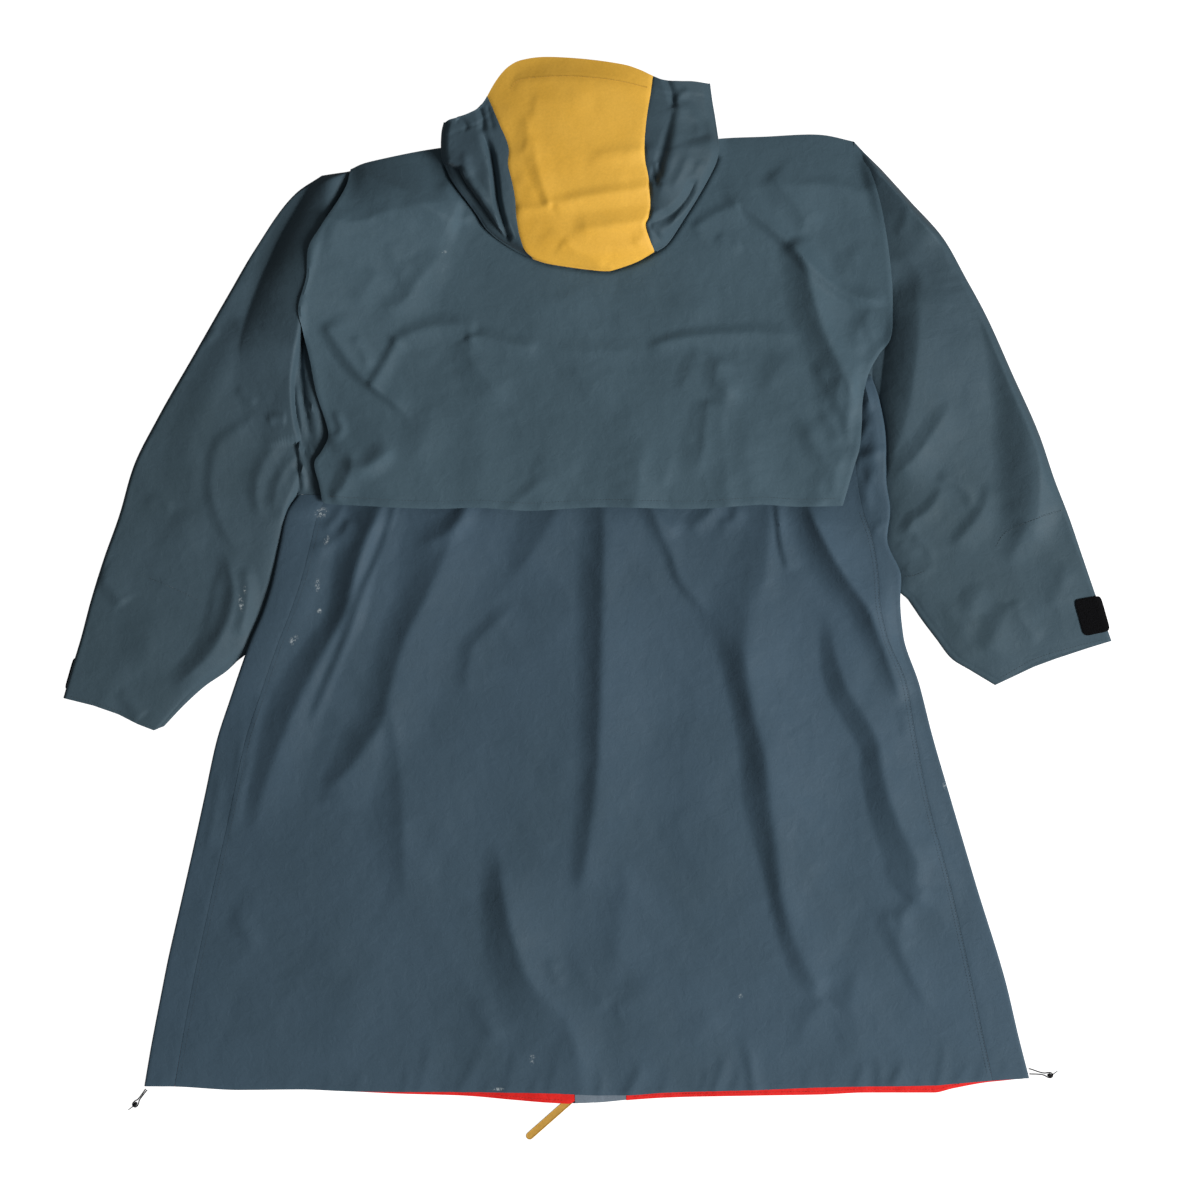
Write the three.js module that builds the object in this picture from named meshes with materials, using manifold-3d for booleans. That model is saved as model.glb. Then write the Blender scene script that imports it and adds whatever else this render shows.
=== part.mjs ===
// Long hooded shell jacket, laid on its front on a flat surface with its back up.
// Millimetres, +Z up. +Y points from the hem to the hood, +X to the right sleeve.
//
// Every outline is given on the cutting table the jacket lies on: "x" runs to the
// right and "d" runs down the table from the hood to the hem. place() turns a table
// position and a height into the part's own frame, whose origin is the middle of
// the jacket's footprint, on the surface.
import * as THREE from 'three';
import Module from 'manifold-3d';

// ------------------------------------------------------------ driving sizes
const TABLE_X = 587.50;        // table position of the origin
const TABLE_D = 598.43;
const CLOTH = 1.2;             // wall of the shell cloth
const THIN = 1.0;              // wall of facings, flap and zip tape
const GAP = 0.3;               // between pieces at a seam
const EDGE_ROUND = 4.0;        // how far the side fold rounds in from its edge
const BACK_HEIGHT = 4.0;       // middle of the back's wall where it lies flattest
const CAPE_HEIGHT = 9.8;       // middle of the cape's wall where it lies flattest
const HOOD_UNDER = 11.8;       // middle of the hood's lower layer, on the cape
const SLEEVE_TIP = 3.4;        // how far a sleeve's inner fold slips under the side
const OVERHANG = 5.2;          // how far the side folds stand out over the sleeve
const ZIP_X = 586;             // centre line of the front zip
const ZIP_HALF = 8.3;          // half of the gap between the two fronts
const ZIP_STOP = 1066;         // lower end of the zip chain
const LIFT_FLAT = 42;           // half width of the lifted part of the hem at the zip
const LIFT_WIDE = 95;           // half width over which it comes down again
const LIFT_FULL = 1062;         // lifted fully from here to the hem
const LIFT_START = 1010;        // flat again from here up
const PIVOT_D = 1086;          // where the puller turns on the slider
const PULL_LIFT = 2.7;         // how far the hem rides over the slider and puller
const PULLER_LENGTH = 75.0;    // from the pivot to the tip
const PULLER_WIDTH = 7.6;
const PULLER_THICK = 2.0;
const PULLER_TURN = 221.4;     // direction it lies in, degrees from +X
const TAB_THICK = 1.2;
const CORD = 1.2;              // drawcord diameter

const COLOUR = {
  slate: 0x44566a, slateDark: 0x3c4d58, mustard: 0xd9a441, red: 0xe32320,
  grey: 0x707c88, black: 0x14181c, metal: 0x4a4d50, puller: 0xc8963a, cord: 0x1a1a1c,
};

// ------------------------------------------------------------------- tables
// The side folds: the outer edge of the laid jacket, and the side seam on its back.
const SIDE_LEFT = [
  { d: 495, edge: 299, seam: 330 }, { d: 513, edge: 287, seam: 319 },
  { d: 545, edge: 280, seam: 311 }, { d: 583, edge: 272, seam: 301 },
  { d: 612, edge: 263, seam: 291 }, { d: 640, edge: 251, seam: 280 },
  { d: 662, edge: 243, seam: 272 }, { d: 700, edge: 230, seam: 259 },
  { d: 740, edge: 217, seam: 246 }, { d: 795, edge: 205, seam: 234 },
  { d: 850, edge: 193, seam: 222 }, { d: 905, edge: 180.5, seam: 210 },
  { d: 960, edge: 168, seam: 198 }, { d: 993, edge: 161.5, seam: 191.5 },
  { d: 1045, edge: 151.5, seam: 182 }, { d: 1086, edge: 144.5, seam: 175 },
];
const SIDE_RIGHT = [
  { d: 376, edge: 871, seam: 850 }, { d: 400, edge: 879, seam: 852 },
  { d: 446, edge: 886, seam: 854 }, { d: 478, edge: 886, seam: 857 },
  { d: 511, edge: 890, seam: 863 }, { d: 539, edge: 887, seam: 872 },
  { d: 578, edge: 901, seam: 878 }, { d: 600, edge: 900, seam: 879 },
  { d: 635, edge: 903, seam: 886 }, { d: 684, edge: 919, seam: 906 },
  { d: 735, edge: 932, seam: 915 }, { d: 797, edge: 950, seam: 927 },
  { d: 885, edge: 976, seam: 950 }, { d: 983.6, edge: 1006, seam: 972 },
  { d: 1036.8, edge: 1018.5, seam: 983 }, { d: 1078, edge: 1029, seam: 992 },
];
// Where along the two side folds a sleeve lies under them.
const UNDER_LEFT = { from: 495, full: 513, until: 662, gone: 700 };
const UNDER_RIGHT = { from: 376, full: 400, until: 600, gone: 635 };
// The two hems, from left to right: the back's, and the fronts' below it.
const HEM = [
  { x: 144, back: 1086, front: 1085 }, { x: 239, back: 1089.5, front: 1088 },
  { x: 300, back: 1089, front: 1088.5 }, { x: 355, back: 1091, front: 1091 },
  { x: 397, back: 1091.5, front: 1093 }, { x: 463, back: 1091.5, front: 1095 },
  { x: 511, back: 1092, front: 1099 }, { x: 550, back: 1092.5, front: 1102 },
  { x: 575, back: 1093.5, front: 1103 }, { x: 600, back: 1095, front: 1102 },
  { x: 626, back: 1095, front: 1099.5 }, { x: 665, back: 1092, front: 1097 },
  { x: 760, back: 1089, front: 1095 }, { x: 820, back: 1087, front: 1094 },
  { x: 866, back: 1086, front: 1092 }, { x: 934, back: 1085, front: 1092 },
  { x: 988, back: 1080.5, front: 1081.5 }, { x: 1003, back: 1079.5, front: 1079 },
  { x: 1029, back: 1078, front: 1077 },
];
// Armholes, from the shoulder down to the armpit: of the back and of the front.
const ARMHOLE_LEFT = {
  back: [
    { x: 361, d: 188 }, { x: 357, d: 220 }, { x: 352, d: 258 }, { x: 347, d: 300 },
    { x: 343, d: 345 }, { x: 339, d: 395 }, { x: 334, d: 445 },
  ],
  front: [
    { x: 356, d: 176 }, { x: 351, d: 250 }, { x: 344, d: 330 }, { x: 336, d: 410 },
    { x: 322, d: 465 },
  ],
};
const ARMHOLE_RIGHT = {
  back: [
    { x: 846, d: 158 }, { x: 850, d: 186 }, { x: 853, d: 216 }, { x: 855, d: 248 },
    { x: 855, d: 281 }, { x: 854, d: 314 }, { x: 852, d: 346 },
  ],
  front: [
    { x: 849, d: 148 }, { x: 861, d: 195 }, { x: 867, d: 245 }, { x: 869, d: 295 },
    { x: 869, d: 340 },
  ],
};
// Shoulder lines and necklines of the fronts and of the back, left to right.
const FRONT_TOP_LEFT = [
  { x: 356, d: 176 }, { x: 400, d: 160 }, { x: 455, d: 151 }, { x: 490, d: 170 },
  { x: 530, d: 186 }, { x: 577.7, d: 194 },
];
const FRONT_TOP_RIGHT = [
  { x: 594.3, d: 194 }, { x: 645, d: 186 }, { x: 690, d: 166 }, { x: 717, d: 144 },
  { x: 790, d: 140 }, { x: 849, d: 148 },
];
const BACK_TOP = [
  { x: 361, d: 188 }, { x: 400, d: 174 }, { x: 452, d: 166 }, { x: 510, d: 178 },
  { x: 588, d: 184 }, { x: 660, d: 176 }, { x: 712, d: 158 }, { x: 790, d: 152 },
  { x: 846, d: 158 },
];
// The cape: its two side edges down to the hem corners, its hem and its top edge.
const CAPE_LEFT = [
  { x: 351, d: 170 }, { x: 350, d: 175 }, { x: 347, d: 187 }, { x: 338, d: 204 },
  { x: 322, d: 229 }, { x: 309, d: 250 }, { x: 308, d: 279 }, { x: 300, d: 309 }, { x: 304, d: 332 },
  { x: 311, d: 361 }, { x: 317, d: 393 }, { x: 327, d: 424 }, { x: 328, d: 440 },
  { x: 315, d: 464 }, { x: 320, d: 485 }, { x: 323, d: 502 },
];
const CAPE_RIGHT = [
  { x: 854, d: 142 }, { x: 857, d: 147 }, { x: 863, d: 158 }, { x: 871, d: 175 }, { x: 880, d: 205 },
  { x: 886, d: 236 }, { x: 890, d: 268 }, { x: 892, d: 300 }, { x: 890, d: 338 },
  { x: 879, d: 354 }, { x: 868, d: 374 }, { x: 862, d: 400 }, { x: 861, d: 425 },
  { x: 858, d: 452 }, { x: 850, d: 478 }, { x: 842, d: 506 },
];
const CAPE_HEM = [
  { x: 323, d: 502 }, { x: 345, d: 505 }, { x: 400, d: 508 }, { x: 440, d: 509 },
  { x: 479, d: 508 }, { x: 528, d: 511 }, { x: 608, d: 507.5 }, { x: 694, d: 509 },
  { x: 757, d: 505.5 }, { x: 800, d: 507 }, { x: 842, d: 506 },
];
const CAPE_TOP = [
  { x: 351, d: 170 }, { x: 372, d: 162 }, { x: 441, d: 148.5 }, { x: 475, d: 152 },
  { x: 520, d: 163 }, { x: 590, d: 168 }, { x: 650, d: 162 }, { x: 690, d: 148 },
  { x: 717, d: 139.5 }, { x: 765, d: 137 }, { x: 818, d: 135 }, { x: 854, d: 142 },
];
// Sleeve sections from the shoulder to the cuff: the outer fold, the inner fold, how
// high the upper layer stands in the middle, and where across it is highest.
const SLEEVE_LEFT = [
  { outX: 322, outD: 176, inX: 298, inD: 500, high: 4.5, peak: 0.50 },
  { outX: 297, outD: 193, inX: 293, inD: 507, high: 6.0, peak: 0.45 },
  { outX: 256, outD: 249, inX: 287, inD: 519, high: 10.0, peak: 0.40 },
  { outX: 229, outD: 295, inX: 283, inD: 533, high: 13.0, peak: 0.38 },
  { outX: 194, outD: 356, inX: 280, inD: 551, high: 14.0, peak: 0.38 },
  { outX: 158, outD: 419, inX: 275, inD: 574, high: 14.0, peak: 0.40 },
  { outX: 134, outD: 467, inX: 268, inD: 597, high: 13.0, peak: 0.42 },
  { outX: 120, outD: 515, inX: 260, inD: 620, high: 12.0, peak: 0.42 },
  { outX: 104, outD: 560, inX: 250, inD: 644, high: 11.0, peak: 0.44 },
  { outX: 91, outD: 602, inX: 229, inD: 669, high: 10.0, peak: 0.46 },
  { outX: 81, outD: 640, inX: 205, inD: 686, high: 9.8, peak: 0.48 },
  { outX: 72, outD: 670, inX: 184, inD: 705, high: 9.6, peak: 0.50 },
  { outX: 64, outD: 698, inX: 164, inD: 726, high: 9.2, peak: 0.50 },
];
const SLEEVE_RIGHT = [
  { outX: 881, outD: 170, inX: 874, inD: 384, high: 4.5, peak: 0.50 },
  { outX: 909, outD: 201, inX: 879, inD: 398, high: 7.0, peak: 0.48 },
  { outX: 943, outD: 239, inX: 884, inD: 424, high: 11.0, peak: 0.45 },
  { outX: 965, outD: 278, inX: 886, inD: 450, high: 13.0, peak: 0.45 },
  { outX: 985, outD: 315, inX: 887, inD: 480, high: 14.0, peak: 0.45 },
  { outX: 1012, outD: 375, inX: 889, inD: 509, high: 14.0, peak: 0.45 },
  { outX: 1039, outD: 436, inX: 888, inD: 538, high: 13.0, peak: 0.45 },
  { outX: 1054, outD: 480, inX: 895, inD: 562, high: 12.0, peak: 0.46 },
  { outX: 1068, outD: 516, inX: 901, inD: 586, high: 11.0, peak: 0.48 },
  { outX: 1082, outD: 557, inX: 917, inD: 613, high: 10.0, peak: 0.50 },
  { outX: 1095, outD: 595, inX: 937, inD: 640, high: 9.0, peak: 0.50 },
  { outX: 1103, outD: 618, inX: 965, inD: 666, high: 8.6, peak: 0.50 },
  { outX: 1111, outD: 641, inX: 995, inD: 685, high: 8.0, peak: 0.50 },
];
// How a sleeve ring is divided: across its upper and its lower layer, 0 at the outer
// fold and 1 at the inner fold.
const SLEEVE_UPPER = [0.03, 0.12, 0.24, 0.37, 0.5, 0.63, 0.76, 0.88, 0.97];
const SLEEVE_LOWER = [0.97, 0.78, 0.55, 0.32, 0.12, 0.03];

// The largest folds of the back: soft ridges (high > 0) and troughs (high < 0), each
// along a bent line from (x0, d0) by (x1, d1) to (x2, d2), with its half width.
const BACK_FOLDS = [
  { x0: 604, d0: 505, x1: 588, d1: 640, x2: 582, d2: 900, half: 26, high: -2.6 },
  { x0: 642, d0: 520, x1: 650, d1: 700, x2: 668, d2: 1000, half: 34, high: 3.5 },
  { x0: 665, d0: 520, x1: 752, d1: 660, x2: 775, d2: 960, half: 20, high: -4.2 },
  { x0: 715, d0: 540, x1: 800, d1: 700, x2: 812, d2: 1010, half: 26, high: 6.5 },
  { x0: 799, d0: 506, x1: 856, d1: 600, x2: 890, d2: 760, half: 16, high: -4.6 },
  { x0: 826, d0: 500, x1: 880, d1: 620, x2: 915, d2: 860, half: 20, high: 4.5 },
  { x0: 830, d0: 640, x1: 850, d1: 780, x2: 930, d2: 960, half: 18, high: -3.6 },
  { x0: 492, d0: 800, x1: 500, d1: 920, x2: 532, d2: 1040, half: 24, high: -2.6 },
  { x0: 545, d0: 520, x1: 515, d1: 700, x2: 500, d2: 860, half: 34, high: 4.0 },
  { x0: 553, d0: 512, x1: 500, d1: 590, x2: 455, d2: 700, half: 18, high: -2.6 },
  { x0: 372, d0: 516, x1: 318, d1: 620, x2: 270, d2: 760, half: 18, high: -4.4 },
  { x0: 398, d0: 510, x1: 352, d1: 640, x2: 300, d2: 800, half: 18, high: 5.5 },
  { x0: 404, d0: 600, x1: 370, d1: 720, x2: 312, d2: 830, half: 18, high: -3.4 },
  { x0: 440, d0: 520, x1: 420, d1: 720, x2: 350, d2: 960, half: 30, high: 5.0 },
];
const CAPE_FOLDS = [
  { x0: 730, d0: 200, x1: 800, d1: 262, x2: 880, d2: 306, half: 16, high: 4.5 },
  { x0: 782, d0: 246, x1: 822, d1: 340, x2: 838, d2: 500, half: 18, high: -2.6 },
  { x0: 770, d0: 300, x1: 790, d1: 400, x2: 800, d2: 506, half: 26, high: 3.5 },
  { x0: 358, d0: 178, x1: 400, d1: 190, x2: 462, d2: 226, half: 16, high: 3.5 },
  { x0: 352, d0: 250, x1: 366, d1: 300, x2: 352, d2: 380, half: 20, high: 4.0 },
  { x0: 326, d0: 330, x1: 366, d1: 385, x2: 412, d2: 432, half: 14, high: 3.0 },
  { x0: 385, d0: 345, x1: 520, d1: 322, x2: 800, d2: 348, half: 22, high: 2.5 },
  { x0: 430, d0: 400, x1: 450, d1: 460, x2: 452, d2: 512, half: 26, high: 3.0 },
  { x0: 600, d0: 380, x1: 620, d1: 450, x2: 625, d2: 512, half: 34, high: 2.0 },
];

// The hood. Rows run from its face opening to the crown fold: each side seam of the
// centre panel on the upper layer, its height, and the same seam on the lower layer.
const HOOD_LEFT = [
  { seamX: 487, seamD: 97, seamZ: 27, outX: 446, outD: 122, outZ: 10, underX: 505, underD: 150 },
  { seamX: 497, seamD: 118, seamZ: 31, outX: 442, outD: 145, outZ: 14, underX: 508, underD: 163 },
  { seamX: 508, seamD: 148, seamZ: 33, outX: 446, outD: 166, outZ: 14, underX: 511, underD: 180 },
  { seamX: 509, seamD: 172, seamZ: 33, outX: 456, outD: 184, outZ: 14, underX: 514, underD: 198 },
  { seamX: 514, seamD: 198, seamZ: 31, outX: 467, outD: 200, outZ: 14, underX: 516, underD: 214 },
  { seamX: 517, seamD: 222, seamZ: 28, outX: 481, outD: 217, outZ: 14, underX: 519, underD: 230 },
  { seamX: 521, seamD: 241, seamZ: 24, outX: 499, outD: 236, outZ: 14, underX: 523, underD: 242 },
  { seamX: 528, seamD: 254, seamZ: 19, outX: 520, outD: 251.5, outZ: 14, underX: 528.5, underD: 252 },
];
const HOOD_RIGHT = [
  { seamX: 653, seamD: 76, seamZ: 26, outX: 708, outD: 84, outZ: 10, underX: 668, underD: 146 },
  { seamX: 647, seamD: 114, seamZ: 31, outX: 713, outD: 119, outZ: 14, underX: 664, underD: 161 },
  { seamX: 645, seamD: 146, seamZ: 33, outX: 717, outD: 148, outZ: 14, underX: 660, underD: 178 },
  { seamX: 648, seamD: 174, seamZ: 33, outX: 710, outD: 172, outZ: 14, underX: 657, underD: 195 },
  { seamX: 650, seamD: 203, seamZ: 30, outX: 694, outD: 200, outZ: 14, underX: 655, underD: 211 },
  { seamX: 646, seamD: 223, seamZ: 27, outX: 681, outD: 221, outZ: 14, underX: 653, underD: 226 },
  { seamX: 650, seamD: 239, seamZ: 24, outX: 668, outD: 238, outZ: 14, underX: 653, underD: 239 },
  { seamX: 653.5, seamD: 250, seamZ: 19, outX: 660, outD: 247, outZ: 14, underX: 653.5, underD: 247.5 },
];
const HOOD_BRIM = [
  { x: 487, d: 97, z: 27 }, { x: 507, d: 68, z: 24 }, { x: 540, d: 57.5, z: 22 },
  { x: 584, d: 59, z: 22 }, { x: 621, d: 64, z: 23 }, { x: 653, d: 76, z: 26 },
];
const HOOD_CROWN = [
  { x: 528, d: 257.5 }, { x: 548, d: 262 }, { x: 575, d: 266.5 },
  { x: 607, d: 269.5 }, { x: 632, d: 262 }, { x: 653.5, d: 253 },
];
// The neck stand, from the neckline to its top edge: its sides, how far it reaches
// above the fronts' neckline in the middle, and how high it stands.
const COLLAR = [
  { left: 473, right: 697, front: 2.0, high: 3.0 },
  { left: 482, right: 692, front: 42, high: 4.0 },
  { left: 496, right: 682, front: 74, high: 4.4 },
];
// Slightly raised folds of the hood's upper layer.
const HOOD_FOLDS = [
  { x0: 545, d0: 203, x1: 600, d1: 196, x2: 648, d2: 184, half: 8, high: -3.0 },
  { x0: 560, d0: 228, x1: 605, d1: 230, x2: 648, d2: 224, half: 8, high: -3.5 },
  { x0: 515, d0: 132, x1: 522, d1: 145, x2: 518, d2: 158, half: 10, high: -3.0 },
];

// ------------------------------------------------------------------ helpers
const lerp = (a, b, t) => a + (b - a) * t;
const clamp = (v, lo, hi) => Math.min(hi, Math.max(lo, v));
const ease = (lo, hi, v) => {
  const t = clamp((v - lo) / (hi - lo), 0, 1);
  return t * t * (3 - 2 * t);
};
const place = (x, d, z) => new THREE.Vector3(x - TABLE_X, TABLE_D - d, z);

// A column of a table at a value of another column, along straight lines.
function look(rows, by, key, value) {
  const up = rows[rows.length - 1][by] >= rows[0][by];
  const list = up ? rows : [...rows].reverse();
  if (value <= list[0][by]) return list[0][key];
  for (let n = 1; n < list.length; n += 1) {
    if (value <= list[n][by]) {
      const a = list[n - 1];
      const b = list[n];
      return lerp(a[key], b[key], (value - a[by]) / (b[by] - a[by] || 1));
    }
  }
  return list[list.length - 1][key];
}

// A point at a share of a line's length, through the rows of a table.
function along(rows, share, keys = ['x', 'd']) {
  const lengths = [0];
  for (let n = 1; n < rows.length; n += 1) {
    lengths.push(lengths[n - 1] + Math.hypot(rows[n].x - rows[n - 1].x, rows[n].d - rows[n - 1].d));
  }
  const target = share * lengths[lengths.length - 1];
  let n = 1;
  while (n < rows.length - 1 && lengths[n] < target) n += 1;
  const t = clamp((target - lengths[n - 1]) / (lengths[n] - lengths[n - 1] || 1), 0, 1);
  return Object.fromEntries(keys.map((key) => [key, lerp(rows[n - 1][key], rows[n][key], t)]));
}

// Height that the folds of a table add at (x, d). Each fades out at its two ends.
function foldHeight(folds, x, d) {
  let sum = 0;
  for (const f of folds) {
    let best = Infinity;
    let where = 0;
    let before = { x: f.x0, d: f.d0 };
    const steps = 8;
    for (let n = 1; n <= steps; n += 1) {
      const t = n / steps;
      const now = {
        x: (1 - t) ** 2 * f.x0 + 2 * t * (1 - t) * f.x1 + t * t * f.x2,
        d: (1 - t) ** 2 * f.d0 + 2 * t * (1 - t) * f.d1 + t * t * f.d2,
      };
      const ex = now.x - before.x;
      const ed = now.d - before.d;
      const s = clamp(((x - before.x) * ex + (d - before.d) * ed) / (ex * ex + ed * ed), 0, 1);
      const far = Math.hypot(x - before.x - s * ex, d - before.d - s * ed);
      if (far < best) {
        best = far;
        where = (n - 1 + s) / steps;
      }
      before = now;
    }
    const fade = ease(0, 0.16, where) * (1 - ease(0.6, 1, where));
    sum += f.high * Math.exp(-((best / f.half) ** 2)) * fade;
  }
  return sum;
}

// A straight ramp from 0 at "from" to 1 at "full".
const ramp = (from, full, v) => clamp((v - from) / (full - from), 0, 1);
// How far the hem at the zip rides up over the slider and the puller.
const zipLift = (x, d) => PULL_LIFT
  * ramp(LIFT_WIDE, LIFT_FLAT, Math.abs(x - ZIP_X)) * ramp(LIFT_START, LIFT_FULL, d);
// The same, wider and softer, for the back that lies on it.
const backLift = (x, d) => (PULL_LIFT + 0.2)
  * (1 - ease(LIFT_FLAT + 22, LIFT_WIDE + 60, Math.abs(x - ZIP_X))) * ease(940, LIFT_START + 22, d);
// 1 where a sleeve lies under a side fold.
const sleeveUnder = (u, d) => ramp(u.from, u.full, d) * ramp(u.gone, u.until, d);

const inset = (x, d) => Math.min(
  x - look(SIDE_LEFT, 'd', 'edge', d),
  look(SIDE_RIGHT, 'd', 'edge', d) - x,
);

// Extra height of the side folds where a sleeve lies under them.
function overSleeve(x, d) {
  const left = x - look(SIDE_LEFT, 'd', 'edge', d);
  const right = look(SIDE_RIGHT, 'd', 'edge', d) - x;
  const up = left < right
    ? ease(488, 512, d) * (1 - ease(668, 730, d))
    : ease(372, 398, d) * (1 - ease(602, 650, d));
  return 3.8 * up * (1 - ease(8, 60, Math.min(left, right)));
}

// Middle of the back's wall.
function backHeight(x, d) {
  const soft = ease(20, 120, inset(x, d)) * ease(505, 580, d);
  const sewn = 1 - ease(1050, 1092, d) * 0.75;
  const folds = foldHeight(BACK_FOLDS, x, d) * ease(496, 530, d) * sewn;
  const high = BACK_HEIGHT + 2.6 * soft * sewn + overSleeve(x, d) + folds;
  return Math.max(high, 2.6 + 1.3 * ease(1010, 1040, d)) + backLift(x, d);
}

// Middle of the cape's wall: flat, with soft folds, rounded down at the shoulders.
function capeHeight(x, d) {
  const flat = 1 - ease(150, 60, Math.abs(x - 582)) * (1 - ease(262, 300, d));
  const folds = foldHeight(CAPE_FOLDS, x, d) * clamp(flat, 0, 1);
  const loose = 2.2 * ease(430, 500, d) * (0.6 + 0.4 * Math.cos((x - 340) / 34));
  return CAPE_HEIGHT + Math.max(folds + loose, -1.2);
}

// ------------------------------------------------------------ solid builders
function solid(points, faces) {
  let volume = 0;
  for (const [a, b, c] of faces) {
    volume += points[a].dot(new THREE.Vector3().crossVectors(points[b], points[c]));
  }
  const positions = new Float32Array(points.length * 3);
  points.forEach((p, n) => positions.set([p.x, p.y, p.z], 3 * n));
  const geometry = new THREE.BufferGeometry();
  geometry.setAttribute('position', new THREE.BufferAttribute(positions, 3));
  geometry.setIndex(faces.flatMap(([a, b, c]) => (volume > 0 ? [a, b, c] : [a, c, b])));
  geometry.computeVertexNormals();
  return geometry;
}

// A cloth wall about a grid of points. keep(i, j) says which cells it has. The edge
// faces of the columns in seams stand square to the seam.
function sheet(columns, rows, at, thick = CLOTH, keep = () => true, seams = [0, columns]) {
  const grid = [];
  for (let i = 0; i <= columns; i += 1) {
    grid.push([]);
    for (let j = 0; j <= rows; j += 1) grid[i].push(at(i, j));
  }
  const has = (i, j) => i >= 0 && j >= 0 && i < columns && j < rows && keep(i, j);
  const used = (i, j) => has(i, j) || has(i - 1, j) || has(i, j - 1) || has(i - 1, j - 1);
  const points = [];
  const top = new Map();
  const low = new Map();
  const key = (i, j) => i * (rows + 1) + j;
  for (let i = 0; i <= columns; i += 1) {
    for (let j = 0; j <= rows; j += 1) {
      if (!used(i, j)) continue;
      const normal = new THREE.Vector3();
      for (const [a, b] of [[0, 0], [-1, 0], [0, -1], [-1, -1]]) {
        if (!has(i + a, j + b)) continue;
        const p = grid[i + a][j + b];
        const q = grid[i + a + 1][j + b];
        const r = grid[i + a + 1][j + b + 1];
        const s = grid[i + a][j + b + 1];
        normal.add(new THREE.Vector3().crossVectors(
          new THREE.Vector3().subVectors(r, p),
          new THREE.Vector3().subVectors(s, q),
        ).normalize());
      }
      if (seams.includes(i)) normal.x = 0;
      normal.normalize().multiplyScalar(thick / 2);
      top.set(key(i, j), points.push(new THREE.Vector3().addVectors(grid[i][j], normal)) - 1);
      low.set(key(i, j), points.push(new THREE.Vector3().subVectors(grid[i][j], normal)) - 1);
    }
  }
  const faces = [];
  const wall = (p, q) => {
    faces.push([low.get(p), low.get(q), top.get(q)], [low.get(p), top.get(q), top.get(p)]);
  };
  for (let i = 0; i < columns; i += 1) {
    for (let j = 0; j < rows; j += 1) {
      if (!has(i, j)) continue;
      const [a, b, c, e] = [key(i, j), key(i + 1, j), key(i + 1, j + 1), key(i, j + 1)];
      faces.push([top.get(a), top.get(b), top.get(c)], [top.get(a), top.get(c), top.get(e)]);
      faces.push([low.get(a), low.get(c), low.get(b)], [low.get(a), low.get(e), low.get(c)]);
      if (!has(i, j - 1)) wall(a, b);
      if (!has(i + 1, j)) wall(b, c);
      if (!has(i, j + 1)) wall(c, e);
      if (!has(i - 1, j)) wall(e, a);
    }
  }
  return solid(points, faces);
}

// A tube of cloth: closed rings of outer and inner points, open at both ends.
function tube(outer, inner) {
  const rings = outer.length;
  const count = outer[0].length;
  const points = [...outer.flat(), ...inner.flat()];
  const out = (k, i) => k * count + (i % count);
  const inn = (k, i) => rings * count + out(k, i);
  const faces = [];
  for (let i = 0; i < count; i += 1) {
    for (let k = 0; k < rings - 1; k += 1) {
      faces.push([out(k, i), out(k, i + 1), out(k + 1, i + 1)], [out(k, i), out(k + 1, i + 1), out(k + 1, i)]);
      faces.push([inn(k, i), inn(k + 1, i + 1), inn(k, i + 1)], [inn(k, i), inn(k + 1, i), inn(k + 1, i + 1)]);
    }
    const z = rings - 1;
    faces.push([out(0, i), inn(0, i), inn(0, i + 1)], [out(0, i), inn(0, i + 1), out(0, i + 1)]);
    faces.push([out(z, i), inn(z, i + 1), inn(z, i)], [out(z, i), out(z, i + 1), inn(z, i + 1)]);
  }
  return solid(points, faces);
}

// ------------------------------------------------------------------- pieces
const jacket = new THREE.Group();
function add(name, geometry, colour, roughness = 0.85, metalness = 0, parent = jacket) {
  const mesh = new THREE.Mesh(geometry, new THREE.MeshStandardMaterial({ color: colour, roughness, metalness }));
  mesh.name = name;
  parent.add(mesh);
  return mesh;
}

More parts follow.
